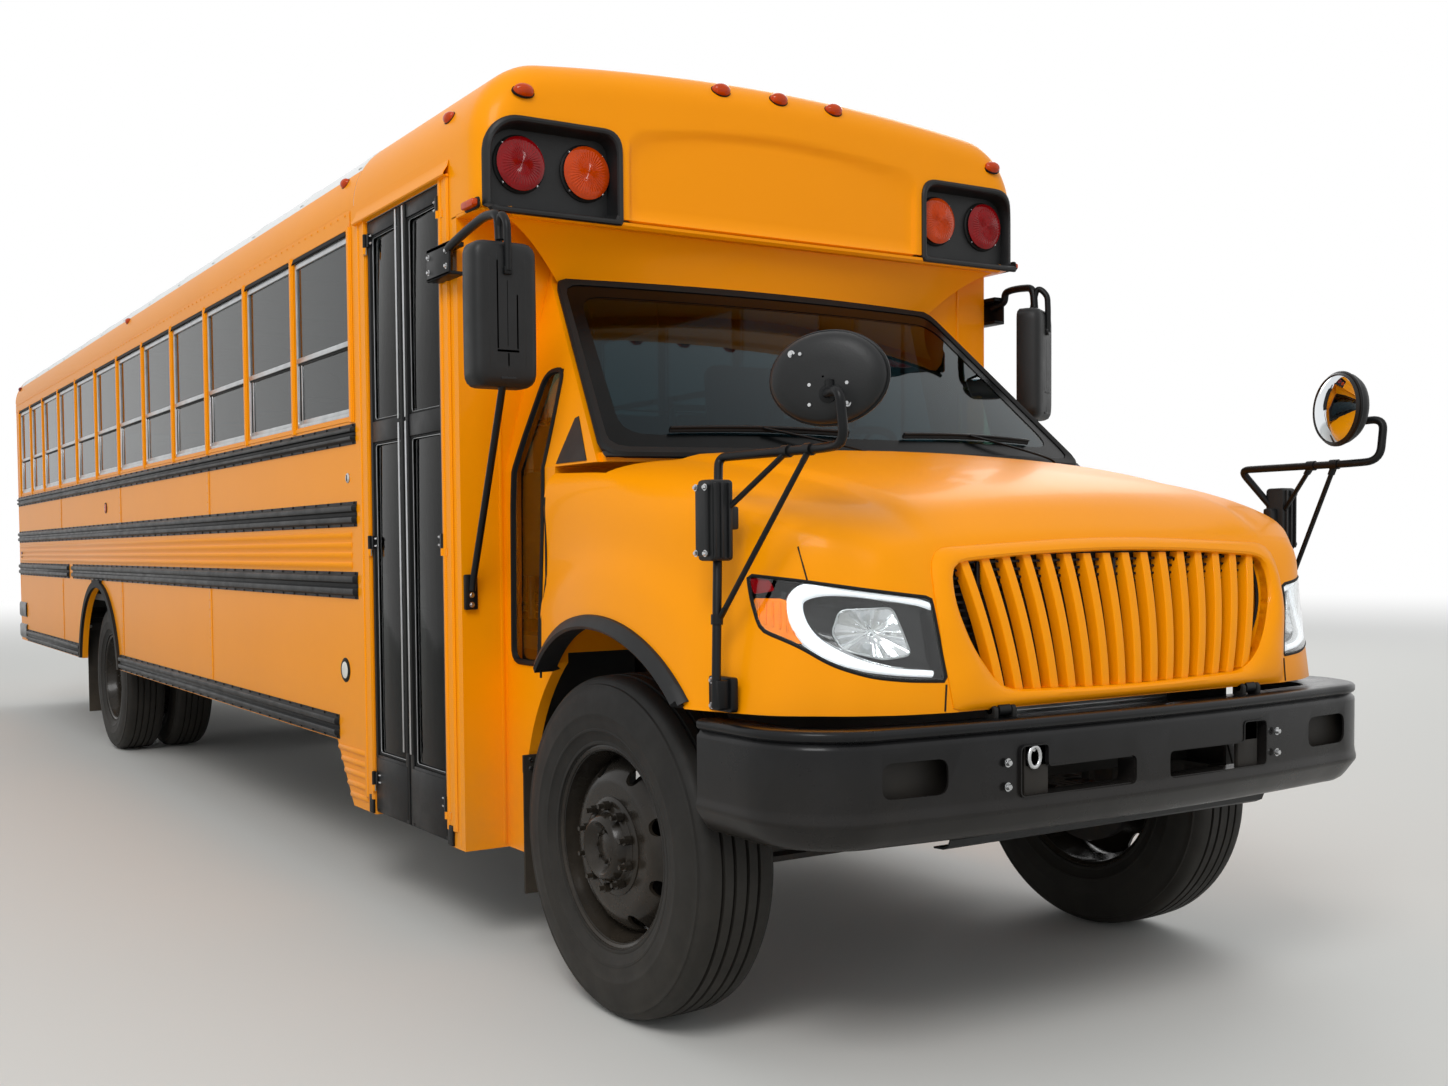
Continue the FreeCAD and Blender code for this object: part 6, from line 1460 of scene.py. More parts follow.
def make_windows():
    """Split-sash windows: aluminium channel, header, meeting rail and a lower sash set further in."""
    sash = Shape()
    for y0, y1 in window_spans():
        hole = [(y0, SILL_Z), (y1, SILL_Z), (y1, HEADER_Z), (y0, HEADER_Z)]
        inner = soften([(y0 + 11, SILL_Z + 16), (y1 - 11, SILL_Z + 16), (y1 - 11, HEADER_Z - 30),
                        (y0 + 11, HEADER_Z - 30)], 12, 3)
        outer = soften(hole, 2, 3)
        sash.frame("anodised_aluminium", outer, inner, "x", 1190, 1214, 2)
        hood = [(y0 - 8, HEADER_Z - 12), (y0 - 8, HEADER_Z - 4), (y0 + 16, HEADER_Z + 12), (y1 - 16, HEADER_Z + 12),
                (y1 + 8, HEADER_Z - 4), (y1 + 8, HEADER_Z - 12), (y1 - 2, HEADER_Z - 4), (y0 + 2, HEADER_Z - 4)]
        sash.plate("seal_rubber", hood, "x", 1216, 1226, 1)
        sash.block("anodised_aluminium", (1203, 1215), (y0 + 11, y1 - 11), (2214, 2236), 2)
        # Black strip under the meeting rail: a painted shadow of the rail, put in as a dark sheet.
        sash.block("seal_rubber", (1203, 1209), (y0 + 11, y1 - 11), (2202, 2214), 1)
        sash.block("seal_rubber", (1203, 1208), (y1 - 52, y1 - 11), (SILL_Z + 16, 2204), 1)
        sash.block("anodised_aluminium", (1203, 1212), (y1 - 26, y1 - 18), (SILL_Z + 16, 2204), 1)
        sash.block("anodised_aluminium", (1203, 1210), (y1 - 60, y1 - 52), (SILL_Z + 16, 2204), 1)
        sash.block("anodised_aluminium", (1203, 1209), (y0 + 11, y1 - 11), (SILL_Z + 16, SILL_Z + 34), 2)
        sash.frame("anodised_aluminium", soften([(y0 + 1, SILL_Z + 1), (y1 - 1, SILL_Z + 1), (y1 - 1, HEADER_Z - 1),
                                                 (y0 + 1, HEADER_Z - 1)], 2, 3), inner, "x", 1176, 1192, 2)
        for y in (y0 + 90, y1 - 90):
            sash.block("black_powder_coat", (1172, 1192), (y - 22, y + 22), (2206, 2228), 3)
    sash.mirror()
    sash.make("window_sashes", "chassis")
    driver = Shape()
    hole = [(962, 1762), (1598, 1762), (1598, 2598), (962, 2598)]
    driver.frame("anodised_aluminium", soften(hole, 2, 4), soften([(978, 1780), (1582, 1780), (1582, 2580),
                                                                 (978, 2580)], 14, 4), "x", 1188, 1216, 2)
    driver.frame("seal_rubber", soften([(950, 1750), (1610, 1750), (1610, 2610), (950, 2610)], 20, 4),
                 soften(hole, 2, 4), "x", 1217, 1224, 2)
    driver.block("anodised_aluminium", (1203, 1214), (1268, 1290), (1780, 2580), 2)
    driver.make("driver_window", "chassis")


# ---------------------------------------------------------------- entrance door

DOOR_OUT = -HALF_WIDTH
LEAVES = {"door_leaf_front": (936.0, 1269.0, 932.0, 1), "door_leaf_rear": (1281.0, 1614.0, 1618.0, -1)}


def make_leaf(node):
    """One door leaf: black stiles and rails, two panes in rubber, a bright strip on its meeting edge."""
    y0, y1, axis_y, sign = LEAVES[node]
    leaf = Shape()
    x0, x1 = DOOR_OUT, DOOR_OUT + 38
    paint = "black_powder_coat"
    low, high = (y0 + 24, y1 - 34) if sign > 0 else (y0 + 34, y1 - 24)
    for a, b in ((y0, low), (high, y1)):
        leaf.block(paint, (x0, x1), (a, b), (375, 2654), 4)
    for z0, z1 in ((375, 600), (1810, 1890), (2599, 2654)):
        leaf.block(paint, (x0 + 1, x1 - 1), (low - 4, high + 4), (z0, z1), 3)
    leaf.block(paint, (x0 - 1.5, x0 + 3), (y0 + 14, y1 - 14), (388, 588), 3)
    for z0, z1 in ((600, 1810), (1890, 2599)):
        hole, rim, glass = (soften([(low + d, z0 + d), (high - d, z0 + d), (high - d, z1 - d), (low + d, z1 - d)],
                                   radius, 4) for d, radius in ((0, 3), (8, 14), (3, 8)))
        leaf.frame("seal_rubber", hole, rim, "x", x0 + 6, x1 - 6, 2)
        leaf.frame("anodised_aluminium", rim, [(mix(y, (y0 + y1) / 2, 0.03), mix(z, (z0 + z1) / 2, 0.005))
                                               for y, z in rim], "x", x0 + 9, x0 + 13, 1)
        leaf.plate("door_glass", glass, "x", x0 + 16, x0 + 21, 1)
    edge = y1 if sign > 0 else y0
    inward = -sign
    a, b = sorted((edge + inward * 4, edge + inward * 16))
    for z0, z1 in ((640, 1868), (1882, 2650)):
        leaf.block("anodised_aluminium", (x0 - 5, x0 + 1), (a, b) if sign > 0 else (a + 34, b + 34), (z0, z1), 2)
    lip = edge - inward * 5.4
    leaf.block("seal_rubber", (x0 + 4, x1 - 6), tuple(sorted((edge, lip))), (380, 2650), 1)
    a, b = sorted((edge + inward * 18, edge + inward * 34))
    leaf.block("seal_rubber", (x0 - 2, x0 + 1), (a, b) if sign > 0 else (a - 14, b - 6), (640, 2650), 1)
    for z in (480, 1400, 2560):
        leaf.turned(paint, [(0, 0.15), (8, 0.15), (8, 50), (6, 52), (0, 52)], (-1227, axis_y, z), "z", 16)
        a, b = sorted((axis_y, axis_y + sign * 30))
        leaf.block(paint, (-1226, -1218), (a, b), (z + 0.2, z + 50), 1)
    leaf.tube("anodised_aluminium", smooth_line([(x1 - 2, mix(y0, y1, 0.3), 1200), (x1 + 36, mix(y0, y1, 0.3), 1205),
                                                 (x1 + 40, mix(y0, y1, 0.3), 1480), (x1 - 2, mix(y0, y1, 0.3), 1490)],
                                                 6),
              13, 12)
    leaf.make(node + "_panel", node, [node])
    spots = [((x0 - 0.5, axis_y + sign * dy, z + dz), (-1, 0, 0)) for z in (480, 1400, 2560) for dy in (38, 48)
             for dz in (12, 40)]
    fixings(node + "_screws", spots, node, "plated_steel", radius=4, height=2.5, sides=8, washer=1.2)


def make_portal():
    """Folded posts and header round the entrance, with the hinge blocks at its foot."""
    frame_posts = Shape()
    for profile in (((858, 0.4), (862, 7), (878, 7), (882, 3), (912, 3), (916, 8), (925, 8), (927, 0.4)),
                    ((1625, 0.4), (1627, 8), (1637, 8), (1641, 3), (1688, 3), (1692, 7), (1708, 7), (1712, 0.4))):
        rows = [[(-HALF_WIDTH - out, y, z) for y, out in profile] for z in (420, 2672)]
        frame_posts.sheet("yellow_enamel", rows, -2.5)
    rows = [[(-HALF_WIDTH - out, y, z) for z, out in ((2662, 0.4), (2664, 20), (2668, 24), (2676, 22), (2700, 6),
                                                     (2716, 3), (2718, 0.4))] for y in (852, 1718)]
    frame_posts.sheet("yellow_enamel", rows, -2.5)
    frame_posts.make("entrance_posts", "chassis")
    blocks = Shape()
    for y0, y1 in ((884, 926), (1626, 1668)):
        blocks.block("black_powder_coat", (-1229, -HALF_WIDTH), (y0, y1), (364, 436), 3)
    blocks.frame("seal_rubber", [(931, 372), (1619, 372), (1619, 2659), (931, 2659)],
                 [(936, 374), (1614, 374), (1614, 2655), (936, 2655)], "x", -1214, -1184, 0.5)
    blocks.make("entrance_blocks", "chassis")
    small = Shape()
    outward = ((0, 1, 0), (0, 0, 1), (-1, 0, 0))
    small.turned("seal_rubber", [(0, -4), (50, -4), (50, 2), (44, 6), (36, 6), (36, 2), (0, 2)],
                 (-HALF_WIDTH, 1928, 907), outward, 36)
    small.turned("clear_acrylic", [(0, 9), (20, 8.5), (34, 6), (36, 2), (0, 2)], (-HALF_WIDTH, 1928, 907), outward, 36)
    small.turned("plated_steel", [(0, -3), (20, -3), (20, 3), (15, 6), (0, 6)], (-HALF_WIDTH, 1865, 1687),
                 outward, 28)
    small.block("seal_rubber", (-1226.5, -1224), (1862, 1868), (1675, 1699), 1)
    for s in (-1, 1):
        way = ((0, 1, 0), (0, 0, 1), (s, 0, 0))
        for y, name in ((6518, "amber_acrylic"), (10180, "red_acrylic")):
            small.turned(name, [(0, 7), (26, 6), (32, 2), (32, 0), (0, 0)],
                         (s * HALF_WIDTH, y, 1700 if y < 9000 else 1390), way, 28)
            small.turned("seal_rubber", [(32, 0), (36, 0), (36, 4), (32, 5), (32, 0)],
                         (s * HALF_WIDTH, y, 1700 if y < 9000 else 1390), way, 28)
    small.make("side_lamp_latch_reflectors", "chassis")


# ---------------------------------------------------------------- rear view mirrors

def make_flat_mirrors():
    """Tall mirror heads with a ribbed back, on a channel beam, a bent tube and a strut to the corner post."""
    mirrors = Shape()
    head_z = 2120.0
    for s, head_y, turn in ((-1, 375.0, 0.0), (1, 570.0, 28.0)):
        pole = s * 1270.0
        head = Shape()
        outline = spread(soften([(pole - 106, 1898), (pole + 106, 1898), (pole + 106, 2342), (pole - 106, 2342)],
                                40, 8), 88, True)
        swell = [(x + (x - pole) * 0.02 * math.cos((z - head_z) / 230 * 1.2), z) for x, z in outline]
        rows = []
        for shrink, y in ((0.965, 43), (1.0, 38), (1.0, -8), (0.985, -22), (0.95, -33), (0.88, -40), (0.76, -44),
                          (0.5, -45), (0.15, -45), (0.01, -45)):
            rows.append([(mix(pole, x, shrink), head_y + y, mix(head_z, z, 1 - (1 - shrink) * 0.55))
                         for x, z in swell])
        head.sheet("grained_polymer", rows, 3, loop=True)
        head.plate("grained_polymer", [(mix(pole, x, 0.95), mix(head_z, z, 0.97)) for x, z in swell], "y",
                   head_y + 34, head_y + 38)
        for z0, z1, proud in ((2062, 2322, 40), (1918, 2042, 41)):
            head.plate("silvered_glass", oblong(pole - 88, pole + 88, z0, z1, 24, 6), "y", head_y + 37,
                       head_y + proud, 1)
        front = head_y - 45
        for x0, x1, z0, z1 in ((-38, -30, 2010, 2300), (-38, 40, 2000, 2010), (30, 38, 2010, 2180), (-2, 6, 1925, 2000),
                               (-24, 28, 1918, 1926), (-64, -60, 1960, 2290), (60, 64, 1960, 2290)):
            head.block("grained_polymer", (pole + x0, pole + x1), (front - 3, front + 3), (z0, z1), 1.5)
        path = [(pole, head_y + 10, 2340), (pole, head_y - 10, 2424), (pole, head_y - 46, 2400),
                (pole, head_y - 53, 2350), (pole, head_y - 53, 2250)]
        head.tube("black_powder_coat", smooth_line(path, 8), 12, 12)
        head.block("black_powder_coat", (pole - 14, pole + 14), (front - 14, front + 1), (2238, 2262), 3)
        angle = s * math.radians(turn)
        bmesh.ops.rotate(head.bm, cent=place(pole, head_y, 0), matrix=Matrix.Rotation(angle, 3, "Z"),
                         verts=head.bm.verts)
        head.make("mirror_head_" + ("street" if s > 0 else "curb"), "chassis")
        far = sorted((s * HALF_WIDTH, s * 1276))
        mirrors.block("black_powder_coat", tuple(far), (740, 925), (2404, 2420), 3)
        mirrors.block("black_powder_coat", tuple(far), (740, 925), (2310, 2322), 3)
        mirrors.block("black_powder_coat", tuple(sorted((s * 1268, s * 1276))), (740, 925), (2310, 2420), 3)
        arm = [(pole - s * 15, 790, 2380), (pole, 740, 2400), (pole, head_y + 150, 2440), (pole, head_y + 60, 2442),
               (pole, head_y + 12, 2425), (pole, head_y, 2352)]
        mirrors.tube("black_powder_coat", smooth_line(arm, 8), 15, 14)
        strut = [(pole, head_y, 1895), (pole, head_y + 6, 1870), (s * 1200, 690, 1440), (s * 1190, 765, 1300),
                 (s * 1190, 778, 1256)]
        mirrors.tube("black_powder_coat", smooth_line(strut, 8), 12, 12)
        mirrors.block("black_powder_coat", (s * 1190 - 24, s * 1190 + 24), (781, 800), (1190, 1310), 5)
    mirrors.make("mirror_beams_and_struts", "chassis", ["rear_view_mirrors"])
    spots = [((s * 1190, 781, z), (0, -1, 0)) for s in (-1, 1) for z in (1207, 1240)]
    spots += [((s * 1276, y, z), (s, 0, 0)) for s in (-1, 1) for y in (762, 905) for z in (2340, 2390)]
    fixings("mirror_bolts", spots, "chassis", radius=7, height=6, washer=1.4)
# ---------------------------------------------------------------- wheels and tyres

TYRE_X, DUAL_PITCH = 1010.0, 330.0


def tyre_profile():
    """Half section from the tread's middle to the bead, then back inside: (radius, offset)."""
    tread = [(510, 0), (510, 16), (497, 18), (497, 25), (509.5, 27), (509, 54), (496, 56), (496, 63), (508, 65),
             (506.5, 92), (502, 106), (494, 115), (484, 121)]
    wall = [(482, 127), (476, 128.5), (470, 128), (462, 132), (440, 137.5), (420, 140.5), (400, 141.5), (398, 142),
            (392, 142), (390, 141), (372, 140), (352, 136), (350, 137), (344, 136), (342, 133), (326, 126), (314, 120),
            (310, 121.5), (304, 120), (302, 113), (292, 107), (284, 104)]
    inner = [(290, 96), (330, 112), (400, 124), (460, 112), (484, 80), (492, 0)]
    return tread + wall, inner


def make_tyre(shape, x_mid, y):
    outer, inner = tyre_profile()
    half = outer + inner[:-1]
    loop = half + [(inner[-1][0], 0)] + [(r, -u) for r, u in reversed(half[1:])] + [(510, 0)]
    shape.turned("tyre_compound", loop, (x_mid, y, AXLE_Z), "x", 120)


def rim_parts(shape, side, x_mid, y):
    """Rim with its flanges and well."""
    ring = [(303, 112), (303, 107), (294, 105), (291, 96), (289, 78), (272, 52), (270, 20), (272, -40), (286, -70),
            (289, -98), (294, -105), (303, -107), (303, -112), (296, -113), (286, -104), (282, -72), (264, -42),
            (262, 20), (265, 54), (281, 82), (284, 98), (288, 108), (296, 113), (303, 112)]
    shape.turned("black_wheel_enamel", [(r, side * u) for r, u in ring], (x_mid, y, AXLE_Z), "x", 72)


def disc(side, x_mid, y, root, face, hub_r, name, body):
    """Wheel disc pressed from sheet, with its hand holes cut through."""
    line = [(281, root - 4), (276, root + 4), (268, mix(root, face, 0.10)), (252, mix(root, face, 0.42)),
            (232, mix(root, face, 0.74)), (212, mix(root, face, 0.93)), (196, mix(root, face, 0.995)),
            (180, face), (hub_r, face)]
    back = [(r - 2, u - 11 * (1 if r < 275 else 0.6)) for r, u in reversed(line)]
    plate = Shape()
    plate.turned("black_wheel_enamel", [(r, side * u) for r, u in line + back + [line[0]]], (x_mid, y, AXLE_Z), "x", 80)
    item = link(name, plate.mesh(name, 30))
    holes = Shape()
    for k in range(8):
        a = 2 * math.pi * (k + 0.5) / 8
        at = (x_mid + side * mix(root, face, 0.7), y + 234 * math.cos(a), AXLE_Z + 234 * math.sin(a))
        holes.turned("black_wheel_enamel", [(0, -70), (26, -70), (26, 70), (0, 70)], at, "x", 20)
    cut(item, holes, 30)
    settle(item, body)
    return item


def make_wheels():
    """Tyres, rims, discs, hubs and their studs."""
    for word, side in (("left", 1), ("right", -1)):
        front = "front_wheel_" + word
        x = side * TYRE_X
        wheel = Shape()
        rim_parts(wheel, side, x, 0)
        centre = (x, 0, AXLE_Z)
        hub = [(0, 128), (34, 128), (40, 124), (52, 122), (60, 126), (72, 148), (80, 153), (88, 150), (96, 140),
               (104, 118), (118, 112), (122, 108), (140, 107), (146, 103), (146, 84), (0, 84)]
        wheel.turned("black_wheel_enamel", [(r, side * u) for r, u in hub], centre, "x", 48)
        wheel.turned("cast_iron", [(r, side * u) for r, u in ((60, 84), (110, 80), (112, -40), (90, -60), (36, -60),
                                                             (36, 60), (60, 84))], centre, "x", 32)
        wheel.turned("cast_iron", [(r, side * u) for r, u in ((38, -58), (205, -56), (208, -104), (196, -108),
                                                             (38, -100), (38, -58))], centre, "x", 48)
        wheel.make("rim_and_hub_" + front, front, [front])
        disc(side, x, 0, 22, 100, 140, "disc_" + front, front)
        stud_ring("studs_" + front, [(x + side * 126, 0, AXLE_Z)], front, 10, 122, 7.5, 50, slot="wheel_paint")
        stud_ring("nuts_" + front, [(x + side * 124, 0, AXLE_Z)], front, 10, 122, 14, 22, slot="wheel_paint")
        stud_ring("cap_screws_" + front, [(x + side * 127, 0, AXLE_Z)], front, 8, 46, 5, 10, slot="wheel_paint")
        rubber = Shape()
        make_tyre(rubber, x, 0)
        rubber.make("tread_front_tyre_" + word, front, ["front_tyre_" + word])
        rear = "rear_wheels_" + word
        twin = Shape()
        y = WHEELBASE
        for xx, s in ((x, side), (x - side * DUAL_PITCH, -side)):
            rim_parts(twin, s, xx, y)
        hub = [(0, 60), (62, 60), (80, 56), (90, 44), (100, 30), (108, -40), (116, -90), (128, -128), (128, -150),
               (0, -150)]
        twin.turned("black_wheel_enamel", [(r, side * u) for r, u in hub], (x, y, AXLE_Z), "x", 48)
        drum = [(63, -186), (205, -186), (212, -200), (212, -300), (204, -304), (63, -300), (63, -186)]
        twin.turned("cast_iron", [(r, side * u) for r, u in drum], (x, y, AXLE_Z), "x", 48)
        twin.make("rims_and_hub_" + rear, rear, [rear])
        disc(side, x, y, -30, -152, 112, "outer_disc_" + rear, rear)
        disc(-side, x - side * DUAL_PITCH, y, -30, -152, 112, "inner_disc_" + rear, rear)
        stud_ring("studs_" + rear, [(x - side * 128, y, AXLE_Z)], rear, 10, 143, 8, 60, slot="wheel_paint")
        stud_ring("nuts_" + rear, [(x - side * 136, y, AXLE_Z)], rear, 10, 143, 16, 26, slot="wheel_paint")
        stud_ring("shaft_screws_" + rear, [(x + side * 62, y, AXLE_Z)], rear, 8, 66, 6, 12, slot="wheel_paint")
        rubber = Shape()
        for xx in (x, x - side * DUAL_PITCH):
            make_tyre(rubber, xx, y)
        rubber.make("treads_rear_tyres_" + word, rear, ["rear_tyres_" + word])


# ---------------------------------------------------------------- under the floor

def make_axles():
    """Forged front axle, cast rear casing and leaf springs."""
    iron = Shape()
    beam = [(-40, 400), (40, 400), (40, 418), (14, 426), (14, 474), (40, 482), (40, 500), (-40, 500), (-40, 482),
            (-14, 474), (-14, 426), (-40, 418)]
    iron.sheet("cast_iron", [[(x, y, z) for y, z in beam] for x in (-640, -320, 0, 320, 640)], -8, loop=True)
    for s in (-1, 1):
        rise = [[(s * x, y * k, mix(455, z, k) + up) for y, z in beam] for x, up, k in
                ((640, 0, 1), (700, 14, 1), (760, 42, 1), (812, 58, 0.9))]
        iron.sheet("cast_iron", rise, -8 * s, loop=True)
        iron.turned("cast_iron", [(21, -55), (42, -55), (42, 55), (21, 55), (21, -55)], (s * 832, 0, 510), "z", 28)
        iron.plate("cast_iron", soften([(s * 430 - 50, -80), (s * 430 + 50, -80), (s * 430 + 50, 80),
                                        (s * 430 - 50, 80)], 12), "z", 496, 600, 4)
    iron.make("front_axle_beam", "chassis", ["front_axle"])
    rear = Shape()
    y = WHEELBASE
    casing = [(0, -950), (60, -950), (60, -300), (66, -280), (84, -230), (150, -150), (196, -90), (212, -40), (212, 40),
              (196, 90), (150, 150), (84, 230), (66, 280), (60, 300), (60, 950), (0, 950)]
    rear.turned("cast_iron", casing, (0, y, AXLE_Z), "x", 40)
    rear.turned("cast_iron", [(0, 120), (150, 140), (120, 200), (86, 250), (74, 320), (62, 329), (0, 329)],
                (0, y, AXLE_Z), ((1, 0, 0), (0, 0.06, 1), (0, -1, 0.06)), 32)
    rear.turned("cast_iron", [(0, 190), (120, 190), (150, 205), (60, 222), (0, 224)], (0, y, AXLE_Z), "y", 32)
    for s in (-1, 1):
        rear.plate("cast_iron", soften([(s * 430 - 50, y - 90), (s * 430 + 50, y - 90), (s * 430 + 50, y + 90),
                                        (s * 430 - 50, y + 90)], 12), "z", 500, 600, 4)
    rear.make("rear_axle_casing", "chassis", ["rear_axle"])
    springs = Shape()
    for y_mid, half in ((0, 620), (WHEELBASE, 680)):
        for s in (-1, 1):
            x0, x1 = s * 430 - 38, s * 430 + 38
            for k in range(7):
                reach = half - 30 - k * half * 0.12
                if k == 0:
                    reach = half - 20
                line = [(y_mid + reach * t, 604 + 7.6 * k) for t in (-1, -0.6, -0.2, 0.2, 0.6, 1)]
                springs.sheet("cast_iron", [[(x0, yy, zz) for yy, zz in line], [(x1, yy, zz) for yy, zz in line]],
                              6.4)
            for yy in (y_mid - half + 30, y_mid + half - 30):
                springs.turned("cast_iron", [(0, -39), (24, -39), (24, 39), (0, 39)], (s * 430, yy, 626), "x", 20)
                springs.plate("cast_iron", soften([(yy - 30, 604), (yy + 30, 604), (yy + 22, 730), (yy - 22, 730)], 10),
                              "x", x0 - 8, x0 - 1, 2)
                springs.plate("cast_iron", soften([(yy - 30, 604), (yy + 30, 604), (yy + 22, 730), (yy - 22, 730)], 10),
                              "x", x1 + 1, x1 + 8, 2)
            for yy in (y_mid - 55, y_mid + 55):
                bow = [(x0 - 6, yy, 592), (x0 - 6, yy, 655), (x0 + 4, yy, 668), (x1 - 4, yy, 668), (x1 + 6, yy, 655),
                       (x1 + 6, yy, 592)]
                springs.tube("cast_iron", bow, 8, 10)
            top = 604 + 7.6 * 7
            springs.block("cast_iron", (x0 - 4, x1 + 4), (y_mid - 75, y_mid + 75), (top, top + 8), 3)
    springs.make("leaf_spring_stacks", "chassis", ["leaf_springs"])


def make_hanging_parts():
    """Exhaust, tank straps, battery door, flap clamps and flap bolts."""
    pipes = Shape()
    x, z = -610.0, 630.0
    drum = [(0, -650), (58, -650), (96, -640), (108, -622), (110, -600), (110, 600), (108, 622), (96, 640), (58, 650),
            (0, 650)]
    pipes.turned("aluminised_steel", drum, (x, 3250, z), "y", 40)
    for y in (2750, 3250, 3720):
        pipes.turned("plated_steel", [(110.5, -16), (113, -16), (113, 16), (110.5, 16), (110.5, -16)], (x, y, z), "y",
                     40)
    lead = [(x, 2600, z), (x, 2150, z), (-150, 1700, z), (-150, 850, 660), (-150, 850, 849)]
    tail = [(x, 3900, z), (x, 5600, z), (-300, 6000, 685), (-300, 7700, 685), (x, 8100, 560), (x, 10328, 560)]
    for path in (lead, tail):
        fine = [path[0]]
        for a, b, c in zip(path, path[1:], path[2:]):
            p, q = Vector(b) + (Vector(a) - Vector(b)).normalized() * 110, Vector(b) + (Vector(c) - Vector(b)
                                                                                      ).normalized() * 110
            fine += [tuple(p.lerp(Vector(b), t).lerp(Vector(b).lerp(q, t), t)) for t in (0, 0.2, 0.4, 0.6, 0.8, 1)]
        pipes.tube("aluminised_steel", fine + [path[-1]], 44, 20)
    for y, low in ((2700, z), (3700, z), (5300, z), (8400, 560), (10100, 560)):
        pipes.block("chassis_enamel", (x - 15, x + 15), (y, y + 40), (low + 40, 790), 3)
        pipes.block("chassis_enamel", (x - 15, -470), (y, y + 40), (765, 790), 3)
    pipes.make("exhaust_line", "chassis", ["exhaust"])
    tank = Shape()
    for y in (3560, 4000, 4440):
        band = oblong(466, 1123, 477, 883, 63, 8)
        tank.frame("plated_steel", band, [(mix(bx, 795, 0.01), mix(bz, 680, 0.014)) for bx, bz in band], "y", y - 20,
                   y + 20)
        tank.block("chassis_enamel", (470, 520), (y - 30, y + 30), (735, 900), 4)
    tank.turned("plated_steel", [(0, 0), (46, 0), (46, 26), (38, 34), (0, 34)], (1090, 4000, 760),
                ((0, 1, 0), (0, 0.5, 1), (1, 0, 0.5)), 24)
    tank.block("grained_polymer", (1176, 1181), (2260, 2940), (650, 970), 3)
    tank.block("plated_steel", (1180, 1187), (2570, 2630), (800, 830), 3)
    tank.make("tank_straps_and_battery_door", "chassis")
    flaps = Shape()
    for s in (-1, 1):
        low, high = sorted((s * 850, s * 1075))
        flaps.block("flap_rubber", (low, high), (637, 643), (230, 700), 2)
        flaps.block("chassis_enamel", (low, high), (643.5, 649), (640, 700), 2)
        low, high = sorted((s * 560, s * 1160))
        flaps.block("chassis_enamel", (low, high), (7562, 7569), (812, 868), 2)
    flaps.make("flap_clamps", "chassis")
    spots = [((s * xx, 637, zz), (0, -1, 0)) for s in (-1, 1) for xx in (880, 960, 1050) for zz in (655, 685)]
    spots += [((s * xx, 7562, 840), (0, -1, 0)) for s in (-1, 1) for xx in range(600, 1150, 90)]
    fixings("flap_bolts", spots, "chassis", radius=8, height=6, washer=1.5)
# ---------------------------------------------------------------- padding

def puff(name, size, radius, voxel, swell, cap_mm, bend=None, tufts=()):
    """Padded form grown from a slightly small rounded block by cloth under pressure; centre at the origin, in mm."""
    w, d, h = size
    form = Shape()
    outline = spread(soften([(-w / 2, -h / 2), (w / 2, -h / 2), (w / 2, h / 2), (-w / 2, h / 2)], radius, 5), 72, True)
    form.plate("bench_vinyl", outline, "y", MIDDLE - d / 2, MIDDLE + d / 2, radius * 0.6, 3)
    item = link(name, form.mesh(name))
    remesh = item.modifiers.new("voxels", "REMESH")
    remesh.mode, remesh.voxel_size = "VOXEL", voxel / 1000
    bake(item)
    still = [v.co.copy() for v in item.data.vertices]
    cloth = item.modifiers.new("pad", "CLOTH")
    cloth.settings.use_pressure = True
    cloth.settings.uniform_pressure_force = swell
    cloth.settings.effector_weights.gravity = 0
    cloth.settings.quality = 4
    cloth.settings.mass = 0.4
    for frame_number in range(1, 21):
        bpy.context.scene.frame_set(frame_number)
    shaped = item.evaluated_get(bpy.context.evaluated_depsgraph_get()).to_mesh()
    moved = [v.co.copy() for v in shaped.vertices]
    item.evaluated_get(bpy.context.evaluated_depsgraph_get()).to_mesh_clear()
    item.modifiers.clear()
    bpy.context.scene.frame_set(1)
    for vertex, a, b in zip(item.data.vertices, still, moved):
        step_way = b - a
        if step_way.length > cap_mm / 1000:
            step_way = step_way.normalized() * cap_mm / 1000
        p = a + step_way
        for x, y, z, reach, deep in tufts:
            gap = math.hypot((p.x * 1000 - x) if x is not None else 0, (p.y * 1000 - y) if y is not None else 0,
                             (p.z * 1000 - z) if z is not None else 0)
            side = 1 if p.y > 0 else -1
            p.y -= side * deep / 1000 * math.exp(-(gap / reach) ** 2)
        vertex.co = bend(p) if bend else p
    smooth = item.modifiers.new("settle", "SMOOTH")
    smooth.factor, smooth.iterations = 0.5, 4
    bake(item)
    return item


def pads(item, places, name, node):
    """Copies of a padded form at the given places, as one piece."""
    bm = bmesh.new()
    for at, turn in places:
        part = item.data.copy()
        part.transform(Matrix.Translation(place(*at)) @ turn)
        bm.from_mesh(part)
        bpy.data.meshes.remove(part)
    mesh = bpy.data.meshes.new(name)
    bm.to_mesh(mesh)
    bm.free()
    mesh.materials.append(FINISHES["bench_vinyl"])
    mesh.polygons.foreach_set("use_smooth", [True] * len(mesh.polygons))
    piece = link(name, mesh)
    settle(piece, "chassis", [node] if node else ())
    return piece


FLOOR_Z = 1100.0
BENCH_X, BENCH_PITCH, BENCH_Y = 680.0, 711.0, 2150.0


